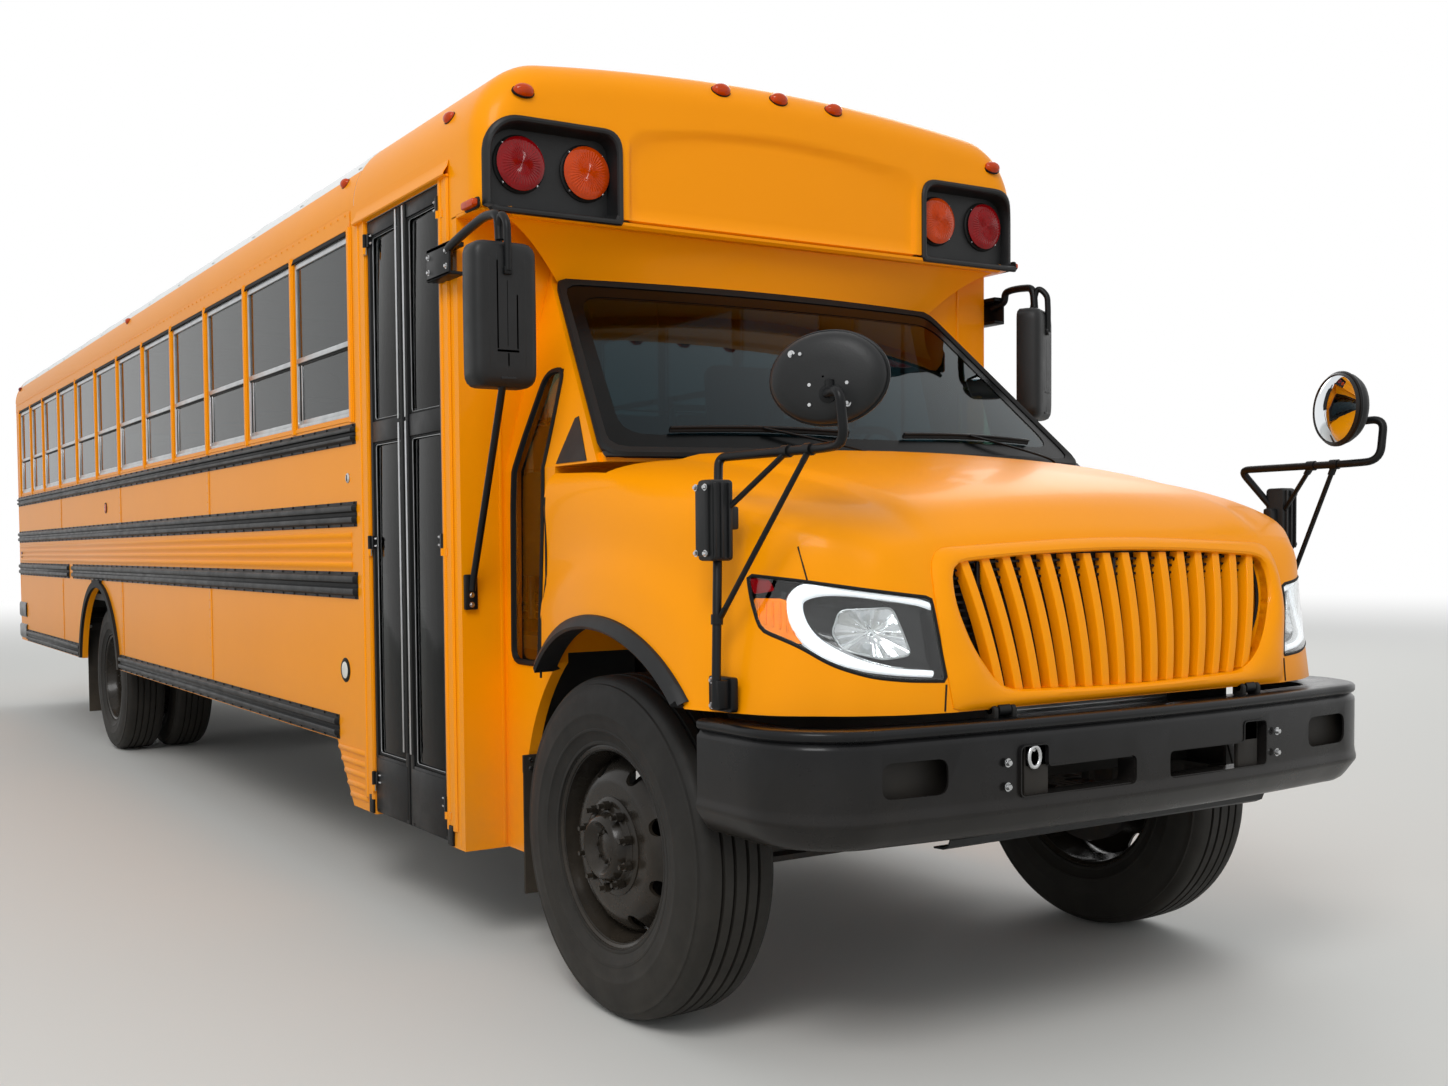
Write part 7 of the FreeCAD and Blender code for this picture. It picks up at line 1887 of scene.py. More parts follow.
def make_benches():
    """Twenty-two benches: crowned cushions and tall backs with piped edges, on steel legs."""
    upright = Matrix.Rotation(math.radians(90), 4, "X")
    cushion = puff("cushion_form", (930, 88, 430), 34, 13, 3.5, 12, None,
                   ((None, None, 0, 5, 5),))
    back = puff("back_form", (940, 62, 640), 40, 14, 3.5, 12, lambda p: Vector((p.x, p.y + p.z * 0.078, p.z)),
                ((None, None, 200, 6, 4), (None, None, -120, 6, 4)))
    seats, backs = [], []
    for side in (-1, 1):
        for row in range(11):
            y = BENCH_Y + BENCH_PITCH * row
            seats.append(((side * BENCH_X, y + 225, FLOOR_Z + 388), upright))
            backs.append(((side * BENCH_X, y + 452, FLOOR_Z + 658), Matrix.Identity(4)))
    pads(cushion, seats, "bench_cushions", "seats")
    pads(back, backs, "bench_backs", None)
    for item in (cushion, back):
        bpy.data.objects.remove(item)
    legs = Shape()
    for side in (-1, 1):
        for row in range(11):
            y = BENCH_Y + BENCH_PITCH * row
            for x in (side * 265, side * 1095):
                run = [(x, y + 70, FLOOR_Z + 4), (x, y + 90, FLOOR_Z + 320), (x, y + 110, FLOOR_Z + 336),
                       (x, y + 410, FLOOR_Z + 330), (x, y + 425, FLOOR_Z + 310), (x, y + 430, FLOOR_Z + 4)]
                legs.tube("grey_enamel", run, 12, 8)
                legs.block("grey_enamel", (x - 30, x + 30), (y + 50, y + 450), (FLOOR_Z, FLOOR_Z + 6), 2)
            edge = spread(soften([(side * 215, FLOOR_Z + 350), (side * 1145, FLOOR_Z + 350),
                                  (side * 1145, FLOOR_Z + 988),
                                  (side * 215, FLOOR_Z + 988)], 60, 4), 40, True)
            legs.tube("bench_vinyl", [(x, y + 452 + (z - FLOOR_Z - 658) * 0.078, z) for x, z in edge], 5, 6, loop=True)
    legs.make("bench_legs_and_piping", "chassis")
    spots = []
    for side in (-1, 1):
        for row in range(11):
            y = BENCH_Y + BENCH_PITCH * row
            spots += [((side * x, y + dy, FLOOR_Z + 6), (0, 0, 1)) for x in (248, 282, 1078, 1112) for dy in (62, 438)]
    fixings("bench_bolts", spots, "chassis", radius=7, height=6, sides=6, washer=1.4)


def make_driver_place():
    """Driver's seat on its pedestal, dashboard with dials, steering wheel and column."""
    x, y = 620.0, 1180.0
    cushion = puff("driver_cushion_form", (460, 92, 450), 40, 12, 3.5, 14)
    back = puff("driver_back_form", (440, 74, 640), 60, 12, 3.5, 14,
                lambda p: Vector((p.x * (1 - 0.25 * max(p.z - 0.12, 0)), p.y + p.z * 0.12, p.z)),
                ((None, None, 90, 7, 5), (None, None, -130, 7, 5)))
    upright = Matrix.Rotation(math.radians(90), 4, "X")
    pads(cushion, [((x, y + 235, FLOOR_Z + 422), upright)], "driver_cushion", "driver_seat")
    pads(back, [((x, y + 484, FLOOR_Z + 800), Matrix.Identity(4))], "driver_back", None)
    for item in (cushion, back):
        bpy.data.objects.remove(item)
    base = Shape()
    base.block("grained_polymer", (x - 170, x + 170), (y + 70, y + 390), (FLOOR_Z, FLOOR_Z + 60), 12)
    for k in range(7):
        z = FLOOR_Z + 62 + k * 38
        swell = 12 if k % 2 else 0
        base.block("seal_rubber", (x - 140 - swell, x + 140 + swell), (y + 95 - swell, y + 365 + swell), (z, z + 38),
                   14)
    base.block("grained_polymer", (x - 215, x + 215), (y + 30, y + 440), (FLOOR_Z + 326, FLOOR_Z + 372), 14)
    belt = [(x + 180, y + 520, FLOOR_Z + 1080), (x + 120, y + 455, FLOOR_Z + 930), (x, y + 425, FLOOR_Z + 760),
            (x - 130, y + 400, FLOOR_Z + 560), (x - 225, y + 400, FLOOR_Z + 430)]
    base.tube("seal_rubber", smooth_line(belt, 6), 22, 8, 0.12)
    base.make("driver_pedestal", "chassis")
    dash = Shape()
    outline = soften([(470, 1655), (770, 1655), (856, 1570), (858, 1360), (800, 1302), (470, 1302)],
                     [4, 60, 40, 40, 20, 4], 6)
    dash.sheet("dash_polymer", [[(xx, yy, zz) for yy, zz in outline] for xx in range(-988, 989, 104)], 6, loop=True)
    for xx in (-988, 988):
        dash.plate("dash_polymer", outline, "x", xx - 2, xx + 2)
    hood_line = [(-250, 1652), (-240, 1712), (-150, 1748), (0, 1756), (150, 1748), (240, 1712), (250, 1652)]
    dash.sheet("grained_polymer", [[(x + u * k, yy, zz + dz) for u, zz in smooth_line(hood_line, 4)] for yy, k, dz in
                                   ((600, 0.9, -24), (660, 0.97, -8), (760, 1.0, 0), (842, 1.0, -4),
                                    (850, 0.97, -10))], 8)
    dash.plate("dash_polymer", [(x - 232, 1600), (x + 232, 1600), (x + 226, 1705), (x + 145, 1738), (x - 145, 1738),
                                (x - 226, 1705)], "y", 790, 800)
    for dx, r in ((-140, 46), (0, 58), (140, 46)):
        centre = (x + dx, 800, 1668)
        dash.turned("plated_steel", [(r, 0), (r + 5, 0), (r + 5, 8), (r, 10), (r, 0)], centre, "y", 36)
        dash.turned("seal_rubber", [(0, 2), (r, 2), (r, 0), (0, 0)], centre, "y", 36)
        for k in range(11):
            a = math.radians(225 - 27 * k)
            p, q = r * 0.78, r * 0.92
            # Dial marks with a painted glow from the same emitting finish, though the dials are not lit.
            dash.tube("light_guide", [(centre[0] + p * math.cos(a), 803, centre[2] + p * math.sin(a)),
                                      (centre[0] + q * math.cos(a), 803, centre[2] + q * math.sin(a))], 1.4, 6)
        dash.tube("red_acrylic", [(centre[0], 805, centre[2]), (centre[0] - r * 0.6, 805, centre[2] + r * 0.3)], 1.8, 6)
    for xx in (-800, -350, 60):
        dash.frame("grained_polymer", oblong(xx - 70, xx + 70, 1480, 1560, 14),
                   oblong(xx - 62, xx + 62, 1488, 1552, 10),
                   "y", 852, 866, 2)
        for k in range(5):
            dash.block("grained_polymer", (xx - 62, xx + 62), (854, 862), (1494 + 12 * k, 1498 + 12 * k), 1)
    dash.block("grained_polymer", (-40, 300), (846, 866), (1370, 1465), 8)
    for k in range(10):
        dash.block("seal_rubber", (-24 + 32 * k, 0 + 32 * k), (862, 872), (1395, 1440), 3)
    dash.make("dash_body", "chassis", ["dashboard"])
    axis = Vector((0, 0.5, math.cos(math.radians(30))))
    cross = Vector((1, 0, 0))
    flat = axis.cross(cross)
    axes = (tuple(cross), tuple(flat), tuple(axis))
    centre = Vector((620, 1010, 1740))
    column = Shape()
    column.turned("grained_polymer", [(0, -150), (44, -150), (48, -100), (46, -60), (36, -42), (0, -42)], tuple(centre),
                  axes, 24)
    column.turned("chassis_enamel", [(0, -368), (30, -368), (30, -150), (0, -150)], tuple(centre), axes, 20)
    for s in (-1, 1):
        a = centre + axis * -90 + cross * (s * 40)
        column.tube("grained_polymer", [tuple(a), tuple(a + cross * (s * 60) + axis * 6), tuple(a + cross * (s * 140) +
                                                                                              axis * 22)], [7, 6, 8],
                                                                                              10)
    column.make("steering_column", "chassis")
    wheel = Shape()
    ring = [centre + (cross * math.cos(a) + flat * math.sin(a)) * 225
            for a in (2 * math.pi * k / 72 for k in range(72))]
    wheel.tube("grained_polymer", [tuple(p) for p in ring], 15.5, 14, loop=True)
    wheel.turned("grained_polymer", [(0, -40), (40, -40), (62, -18), (66, -4), (56, 3), (0, 5)], tuple(centre), axes,
                 36)
    for degrees in (90, 210, 330):
        a = math.radians(degrees + 180)
        way = cross * math.cos(a) + flat * math.sin(a)
        path = [centre + way * 40 - axis * 18, centre + way * 120 - axis * 14, centre + way * 218]
        wheel.tube("grained_polymer", [tuple(p) for p in path], [18, 13, 12], 10, 0.6)
    wheel.make("steering_wheel_rim", "steering_wheel", ["steering_wheel"])


def make_cabin_trim():
    """Step nosings, handrails, barriers, aisle edges, roof bows inside and the inner mirror."""
    trim = Shape()
    depth, rise = (1179 - 480) / 3, (1100 - 400) / 3
    for k in range(1, 4):
        x, z = -1179 + depth * k, 400 + rise * k
        trim.block("yellow_enamel", (x - 22, x + 2) if k < 3 else (x - 4, x + 26), (902, 1648), (z, z + 4), 1.5)
    for k in range(3):
        x, z = -1179 + depth * k, 400 + rise * k
        for j in range(7):
            trim.block("ribbed_floor_rubber", (x + 30 + 27 * j, x + 42 + 27 * j), (910, 1640), (z, z + 3), 1)
    trim.tube("anodised_aluminium", [(-470, 1700, 1100), (-470, 1700, 2000), (-480, 1706, 2030), (-900, 1712, 2035),
                                     (-1140, 1716, 2030), (-1178, 1718, 2028)], 15, 12)
    trim.tube("anodised_aluminium", smooth_line([(-470, 1690, 1850), (-520, 1650, 1840), (-1100, 1640, 1300),
                                                 (-1170, 1640, 1290)], 6), 15, 12)
    trim.block("bench_vinyl", (-1150, -490), (1712, 1742), (1160, 1990), 14)
    trim.block("bench_vinyl", (390, 1160), (1868, 1900), (1160, 2000), 14)
    trim.tube("anodised_aluminium", [(360, 1884, 1100), (360, 1884, 2010), (372, 1884, 2030), (1170, 1884, 2030)], 15,
              12)
    for s in (-1, 1):
        trim.block("anodised_aluminium", (s * 190 - 12, s * 190 + 12), (1900, 10240), (1100, 1104), 1.5)
    for y in PILLARS[:-1]:
        bow = [(x * 0.972, y, z - 40) for x, z in whole(roof_half(38, 2660))]
        trim.tube("headliner", bow, 14, 6, 0.5)
    trim.tube("black_powder_coat", [(0, 760, 2640), (0, 800, 2560), (0, 830, 2500)], 9, 10)
    trim.block("silvered_glass", (-180, 180), (834, 842), (2400, 2520), 3)
    trim.block("grained_polymer", (-186, 186), (824, 835), (2394, 2526), 8)
    trim.make("cabin_trim", "chassis")
# ---------------------------------------------------------------- tail

TAIL = 10300.0


def lens(shape, x, z, r, name, deep=30, y=TAIL, way=1):
    """Round lamp facing rearwards: bezel, reflector and a stepped dome."""
    axes = ((1, 0, 0), (0, 0, 1), (0, way, 0))
    shape.turned("seal_rubber", [(0, 0), (r, 0), (r, 10), (r - 6, 16), (r - 12, 16), (r - 12, 6), (0, 6)], (x, y, z),
                 axes, 40)
    dome = [(0, deep)] + [((r - 12) * math.sin(a), 8 + (deep - 8) * math.cos(a)) for a in
                          (math.pi / 2 * k / 6 for k in range(1, 7))] + [(0, 8)]
    shape.turned(name, dome, (x, y, z), axes, 40)
    for k in range(1, 5):
        q = (r - 12) * k / 5
        h = 8 + (deep - 8) * math.sqrt(1 - (k / 5) ** 2)
        shape.turned(name, [(q - 2, h - 2), (q, h + 1.2), (q + 2, h - 2.5), (q - 2, h - 2)], (x, y, z), axes, 40)


def make_rear_lamps():
    lamps = Shape()
    for s in (-1, 1):
        lens(lamps, s * 1040, 2690, 95, "red_acrylic")
        lens(lamps, s * 800, 2690, 95, "amber_acrylic")
        lens(lamps, s * 1040, 1500, 95, "red_acrylic")
        lens(lamps, s * 1040, 1270, 65, "amber_acrylic", 26)
        lens(lamps, s * 860, 1500, 52, "clear_acrylic", 22)
        x0, x1 = sorted((s * 690, s * 1150))
        lamps.plate("black_powder_coat", oblong(x0, x1, 2580, 2800, 60, 6), "y", TAIL + 1, TAIL + 5, 1.5)
        lamps.plate("red_acrylic", oblong(s * 1100 - 36, s * 1100 + 36, 1040, 1110, 10), "y", TAIL + 1, TAIL + 8, 2)
    for x in (-160, 0, 160):
        marker(lamps, (x, TAIL, 2960), (0, 1, 0), 34, 22, 20, "red_acrylic")
    for x in (-960, 960):
        marker(lamps, (x, TAIL, 2890), (0, 1, 0), 34, 22, 20, "red_acrylic")
    lamps.make("rear_lamp_set", "chassis", ["rear_lamps"], sharp=25)


def make_tail():
    """Seals, corner folds, rub strips, blank plate and bumper across the tail."""
    tail = Shape()
    for s in (-1, 1):
        hole = [(s * 440, 1950), (s * 1040, 1950), (s * 1040, 2560), (s * 440, 2560)]
        grown = [(s * 424, 1934), (s * 1056, 1934), (s * 1056, 2576), (s * 424, 2576)]
        inner = [(s * 458, 1968), (s * 1022, 1968), (s * 1022, 2542), (s * 458, 2542)]
        tail.frame("seal_rubber", soften(grown, 34, 5), soften(hole, 30, 5), "y", TAIL - 6, TAIL + 7, 3)
        tail.frame("anodised_aluminium", soften(hole, 30, 5), soften(inner, 24, 5), "y", TAIL - 26, TAIL + 2, 2)
        for z0, z1 in ((1818, 1900), (1120, 1200)):
            rows = [[(x, TAIL + out, z) for out, z in [(o, mix(z0, z1, k)) for o, k in
                     ((0.5, 0), (3, 0.01), (3, 0.12), (16, 0.2), (18, 0.36), (7, 0.45), (7, 0.55), (18, 0.64),
                      (16, 0.8),
                      (3, 0.88), (3, 0.99), (0.5, 1))]] for x in (s * 1195, s * 352)]
            tail.sheet("black_powder_coat", rows, -2 * s)
    tail.frame("seal_rubber", [(-311, 1100), (311, 1100), (311, 2606), (-311, 2606)],
               [(-306, 1105), (306, 1105), (306, 2601), (-306, 2601)], "y", TAIL - 30, TAIL - 2, 0.5)
    tail.block("anodised_aluminium", (-330, 330), (TAIL, TAIL + 16), (2612, 2630), 4)
    tail.plate("white_sign_sheeting", oblong(680 - 152, 680 + 152, 1164, 1316, 14), "y", TAIL + 2, TAIL + 4, 0.6)
    tail.block("grained_polymer", (640, 720), (TAIL, TAIL + 28), (1326, 1350), 6)
    for s in (-1, 1):
        rows = [[(s * x, y, z) for x,
                 y in ((1190, TAIL + 1.5), (1212, TAIL + 1), (HALF_WIDTH, TAIL - 8), (1220.5, TAIL - 30))]
                for z in (960, 1600, 2740)]
        tail.sheet("yellow_enamel", rows, 1.5 * s)
    cap_line = [(x, TAIL - 1, z) for x, z in whole(roof_half(4, 2752))]
    tail.tube("yellow_enamel", cap_line, 7, 8)
    tail.make("tail_trim", "chassis")
    spots = [((680 + i * 88.9, TAIL + 4, 1240 + k * 60.3), (0, 1, 0)) for i in (-1, 1) for k in (-1, 1)]
    fixings("plate_bolts", spots, "chassis", radius=6, height=5, washer=1.5)
    spots = []
    for z in range(1000, 2740, 70):
        spots += [((s * x, TAIL + 0.5, z), (0, 1, 0)) for s in (-1, 1) for x in (1150, 345) if not 1810 < z < 1910 and
                  not 1110 < z < 1210 and not (x == 1150 and 1390 < z < 1610) and not (x == 1150 and 2570 < z < 2810)]
    fixings("tail_rivets", spots, "chassis", "yellow_enamel", radius=4.5, height=2.2, sides=8, washer=1.1)
    bumper = Shape()
    section = [(18, 616), (60, 622), (88, 632), (96, 644), (99, 664), (99, 745), (92, 755), (84, 762), (84, 820),
               (92, 828), (99, 838), (99, 930), (95, 948), (84, 958), (40, 962), (4, 962)]
    rows = [[(1231 - (99 - out), TAIL - 330, z) for out, z in section],
            [(1231 - (99 - out), TAIL + 20, z) for out, z in section]]
    for k in range(1, 7):
        a = math.pi / 2 * k / 6
        rows.append([(1151 + (80 - (99 - out)) * math.cos(a), TAIL + 20 + (80 - (99 - out)) * math.sin(a), z)
                     for out, z in section])
    for x in (1000, 600, 200, 0):
        rows.append([(x, TAIL + 1 + out, z) for out, z in section])
    bumper.sheet("black_bumper_enamel", rows, 5)
    bumper.mirror()
    bumper.make("rear_bumper_channel", "chassis", ["rear_bumper"])


def make_rear_door():
    """Emergency door: folded yellow panel, two rubber-set windows, handle and hinges."""
    node = "rear_door"
    y0, y1 = TAIL - 40, TAIL
    door = Shape()
    panes = ((1400, 1750), (1900, 2520))
    for x0, x1 in ((-305, -225), (225, 305)):
        door.block("yellow_enamel", (x0, x1), (y0, y1), (1106, 2600), 4)
    for z0, z1 in ((1106, 1400), (1750, 1900), (2520, 2600)):
        door.block("yellow_enamel", (-228, 228), (y0 + 1, y1 - 1), (z0, z1), 3)
    door.plate("yellow_enamel", oblong(-200, 200, 1150, 1350, 30, 5), "y", y1 - 4, y1 + 5, 3)
    for z0, z1 in panes:
        hole = soften([(-240, z0 - 15), (240, z0 - 15), (240, z1 + 15), (-240, z1 + 15)], 44, 6)
        inner = soften([(-208, z0 + 17), (208, z0 + 17), (208, z1 - 17), (-208, z1 - 17)], 30, 6)
        door.frame("seal_rubber", hole, inner, "y", y1 - 30, y1 + 6, 3)
        door.plate("tinted_glass", soften([(-222, z0 + 3), (222, z0 + 3), (222, z1 - 3), (-222, z1 - 3)], 20, 6), "y",
                   y0 + 14, y0 + 22, 1)
    for z in (1300, 1830, 2400):
        door.turned("plated_steel", [(0, 0.15), (8, 0.15), (8, 50), (6, 52), (0, 52)], (-308, TAIL + 8, z), "z", 16)
        door.block("plated_steel", (-308, -273), (TAIL, TAIL + 7), (z + 0.2, z + 50), 1)
    door.block("black_powder_coat", (214, 268), (y1, y1 + 12), (1560, 1700), 5)
    door.tube("plated_steel", smooth_line([(241, y1 + 10, 1680), (241, y1 + 40, 1672), (241, y1 + 44, 1600),
                                           (241, y1 + 10, 1590)], 5), 9, 12)
    door.tube("black_powder_coat", [(-190, y1 + 4, 1800), (-170, y1 + 22, 1800), (170, y1 + 22, 1800),
                                    (190, y1 + 4, 1800)], 9, 10)
    door.tube("black_powder_coat", [(-190, y1 + 4, 1850), (-170, y1 + 16, 1850), (170, y1 + 16, 1850),
                                    (190, y1 + 4, 1850)], 6, 10)
    door.make("rear_door_panel", node, [node])


# ---------------------------------------------------------------- stop arm

def make_stop_arm():
    """Blank red octagon with a pale border and two lamps, and the motor box that carries it."""
    cy, cz = 2180.0, 1500.0
    arm = Shape()
    corner = [(cy + 245 * math.cos(math.radians(22.5 + 45 * k)), cz + 245 * math.sin(math.radians(22.5 + 45 * k)))
              for k in range(8)]
    shrunk = [(mix(y, cy, 0.07), mix(z, cz, 0.07)) for y, z in corner]
    arm.plate("white_sign_sheeting", corner, "x", 1288, 1306, 2)
    arm.plate("red_sign_sheeting", shrunk, "x", 1286.5, 1307.5, 0.6)
    arm.plate("black_powder_coat", soften([(1850, 1440), (1990, 1440), (1990, 1560), (1850, 1560)], 16, 4), "x",
              1289, 1305, 3)
    arm.turned("black_powder_coat", [(9, -90), (18, -90), (18, 90), (9, 90), (9, -90)], (1297, 1850, 1500), "z", 24)
    for z in (1500 + 165, 1500 - 165):
        for s in (-1, 1):
            at = (1297 + s * 10, cy, z)
            axes = ((0, 1, 0), (0, 0, 1), (s, 0, 0))
            arm.turned("seal_rubber", [(0, 0), (44, 0), (44, 5), (40, 9), (37, 9), (37, 3), (0, 3)], at, axes, 28)
            arm.turned("red_acrylic", [(0, 14), (20, 12), (34, 7), (37, 3), (0, 3)], at, axes, 28)
    arm.make("stop_blade", "stop_arm", ["stop_arm"])
    base = Shape()
    base.plate("grained_polymer", soften([(1812, 1392), (1968, 1392), (1968, 1608), (1812, 1608)], 16, 5), "x", 1241,
               1265, 6)
    for z0, z1 in ((1390, 1405), (1595, 1610)):
        base.plate("black_powder_coat", soften([(1243, 1831), (1297, 1831), (1312, 1840), (1312, 1860), (1297, 1869),
                                                (1243, 1869)], 5, 3), "z", z0, z1, 2)
    base.turned("plated_steel", [(0, -110), (8, -110), (8, 110), (0, 110)], (1297, 1850, 1500), "z", 20)
    base.tube("seal_rubber", smooth_line([(1262, 1930, 1420), (1275, 1950, 1400), (1262, 1962, 1395)], 5), 6, 8)
    base.make("stop_arm_motor_box", "chassis", ["stop_arm_base"])
    spots = [((1265, y, z), (1, 0, 0)) for y in (1826, 1954) for z in (1408, 1592)]
    fixings("stop_arm_screws", spots, "chassis", radius=5, height=4, washer=1.3)


# ---------------------------------------------------------------- roof

def make_roof_skin():
    """Yellow lower edge, transverse bows and rivet rows on the roof."""
    skin = Shape()
    top = math.asin((2892 - CORNER_CZ) / CORNER_R)
    edge = [(CORNER_X + (CORNER_R + 1.2) * math.cos(a), CORNER_CZ + (CORNER_R + 1.2) * math.sin(a))
            for a in (top * k / 9 for k in range(10))]
    skin.sheet("yellow_enamel", [[(min(x, 1219.8), y, z) for x, z in [(1219.4, 2745)] + edge] for y in
                                 (1752, 4000, 7000, 10298)], 1.0)
    skin.mirror()
    skin.make("roof_edge_bands", "chassis")
    bows = Shape()
    half = roof_half(-2.5, 2760)
    line = [p for p in whole(half) if p[1] > 2890]
    flat = [p for p in whole(roof_half(-0.3, 2760)) if p[1] > 2890]
    for y in PILLARS[:-1] + [10262]:
        rows = [[(x, y - 22, z) for x, z in flat], [(x, y - 14, z) for x, z in line],
                [(x, y + 14, z) for x, z in line], [(x, y + 22, z) for x, z in flat]]
        bows.sheet("white_roof_enamel", rows, 1.0)
    bows.make("roof_bows", "chassis")
    spots = []
    for y in PILLARS[:-1]:
        for x in range(-840, 841, 120):
            z = ROOF_TOP - CROWN_R + math.sqrt(CROWN_R ** 2 - x * x) + 1.5
            spots.append(((x, y, z), (0, 0, 1)))
    fixings("roof_rivets", spots, "chassis", "white_roof_enamel", radius=5, height=2, sides=8, washer=1.1)


def make_hatches():
    """Raised roof hatches with rounded lids, seals and turn handles."""
    for word, y in (("front", 3500.0), ("rear", 8000.0)):
        node = "roof_hatch_" + word
        lid = Shape()
        z0 = ROOF_TOP + 0.3
        square = soften([(-328, y - 328), (328, y - 328), (328, y + 328), (-328, y + 328)], 50, 8)
        lid.plate("white_roof_enamel", square, "z", z0 + 6, z0 + 36, 14, 4)
        raised = soften([(-262, y - 262), (262, y - 262), (262, y + 262), (-262, y + 262)], 60, 8)
        lid.plate("white_roof_enamel", raised, "z", z0 + 30, z0 + 44, 9, 3)
        lid.frame("seal_rubber", square, [(x * 0.94, mix(y, yy, 0.94)) for x, yy in square], "z", z0 + 0.5, z0 + 8, 1)
        for x in (-200, 200):
            lid.block("black_powder_coat", (x - 30, x + 30), (y - 330, y - 318), (z0 + 1, z0 + 22), 3)
        lid.make(node + "_lid", node, [node])
    curb = Shape()
    for y in (3500.0, 8000.0):
        square = soften([(-312, y - 312), (312, y - 312), (312, y + 312), (-312, y + 312)], 40, 6)
        inner = soften([(-299, y - 299), (299, y - 299), (299, y + 299), (-299, y + 299)], 34, 6)
        curb.frame("white_roof_enamel", square, inner, "z", ROOF_TOP - 30, ROOF_TOP - 2, 2)
    curb.make("hatch_curbs", "chassis")


# ---------------------------------------------------------------- engine

def make_engine():
    """Plain diesel under the hood: block, cover, belts, fan, radiator, air cleaner and hoses."""
    iron = Shape()
    iron.block("cast_iron", (-230, 230), (-600, 240), (860, 1180), 14)
    iron.block("cast_iron", (-175, 175), (-590, 230), (1180, 1300), 12)
    iron.block("grained_polymer", (-120, 120), (-570, 210), (1300, 1390), 26)
    for y in range(-540, 200, 60):
        iron.block("grained_polymer", (-96, 96), (y, y + 22), (1386, 1398), 5)
    for s in (-1, 1):
        for y in range(-520, 200, 120):
            iron.block("cast_iron", (s * 262 - 34, s * 262 + 34), (y, y + 70), (1050, 1180), 16)
        iron.tube("cast_iron", [(s * 255, -560, 1120), (s * 262, 0, 1120), (s * 240, 180, 1100)], 46, 14)
        iron.block("chassis_enamel", (s * 300 - 70, s * 300 + 90), (-200, -90), (840, 900), 8)
    iron.turned("cast_iron", [(0, -30), (180, -30), (190, 0), (180, 300), (120, 640), (90, 650), (0, 650)],
                (0, 250, 945), "y", 28)
    iron.turned("cast_iron", [(0, -40), (88, -40), (88, 0), (60, 8), (60, 20), (88, 28), (88, 40), (0, 40)],
                (0, -640, 960), "y", 28)
    iron.turned("cast_iron", [(0, -24), (60, -24), (60, 24), (0, 24)], (150, -630, 1180), "y", 24)
    iron.turned("anodised_aluminium", [(0, 0), (70, 0), (74, 20), (74, 120), (60, 140), (0, 140)], (185, -600, 1240),
                "y", 24)
    iron.tube("seal_rubber", [(60, -640, 900), (88, -640, 960), (205, -630, 1170), (190, -625, 1236), (90, -630, 1200),
                              (-60, -640, 1010), (-80, -640, 930), (0, -640, 872)], 7, 8, 1.8, loop=True)
    iron.turned("grained_polymer", [(0, -14), (44, -14), (44, 14), (0, 14)], (0, -720, 1080), "y", 20)
    for k in range(9):
        a = 2 * math.pi * k / 9
        way = (math.cos(a), math.sin(a))
        side = (-way[1], way[0])
        rows = [[(way[0] * r + side[0] * u * w, -720 + u * 14, 1080 + way[1] * r + side[1] * u * w) for u in (-1, 0, 1)]
                for r, w in ((40, 22), (120, 34), (215, 42))]
        iron.sheet("grained_polymer", rows, 4)
    iron.frame("grained_polymer", spread(soften([(-330, 830), (330, 830), (330, 1330), (-330, 1330)], 30, 5), 64, True),
               [(232 * math.cos(a), 1080 + 232 * math.sin(a)) for a in (2 * math.pi * k / 64 + math.pi * 1.25 for k in
                                                                       range(64))], "y", -775, -720, 4)
    iron.block("anodised_aluminium", (-325, 325), (-815, -775), (840, 1320), 6)
    for z in range(850, 1320, 14):
        iron.block("anodised_aluminium", (-315, 315), (-819, -814), (z, z + 5), 1)
    iron.block("grained_polymer", (-335, 335), (-825, -770), (1316, 1345), 10)
    iron.block("grained_polymer", (-335, 335), (-825, -770), (815, 842), 10)
    iron.tube("seal_rubber",
              smooth_line([(200, -780, 1300), (220, -700, 1330), (160, -600, 1310), (120, -540, 1290)], 6),
              28, 14)
    iron.tube("seal_rubber", smooth_line([(-220, -780, 880), (-260, -700, 880), (-230, -620, 940)], 6), 28, 14)
    iron.turned("grained_polymer", [(0, 0), (120, 0), (124, 10), (124, 380), (118, 400), (90, 420), (0, 420)],
                (-520, -250, 1290), "y", 32)
    iron.tube("seal_rubber",
              smooth_line([(-520, -250, 1290), (-500, -330, 1290), (-400, -400, 1280), (-290, -420, 1200)], 6),
              52, 16)
    iron.block("milky_polyethylene", (440, 620), (50, 240), (1260, 1420), 30)
    iron.turned("grained_polymer", [(0, 0), (34, 0), (34, 22), (28, 28), (0, 28)], (530, 150, 1418), "z", 20)
    iron.block("chassis_enamel", (450, 610), (40, 300), (1248, 1264), 4)
    iron.block("grained_polymer", (430, 700), (-420, -180), (1060, 1240), 16)
    iron.make("engine_and_radiator", "chassis", ["engine_block"])


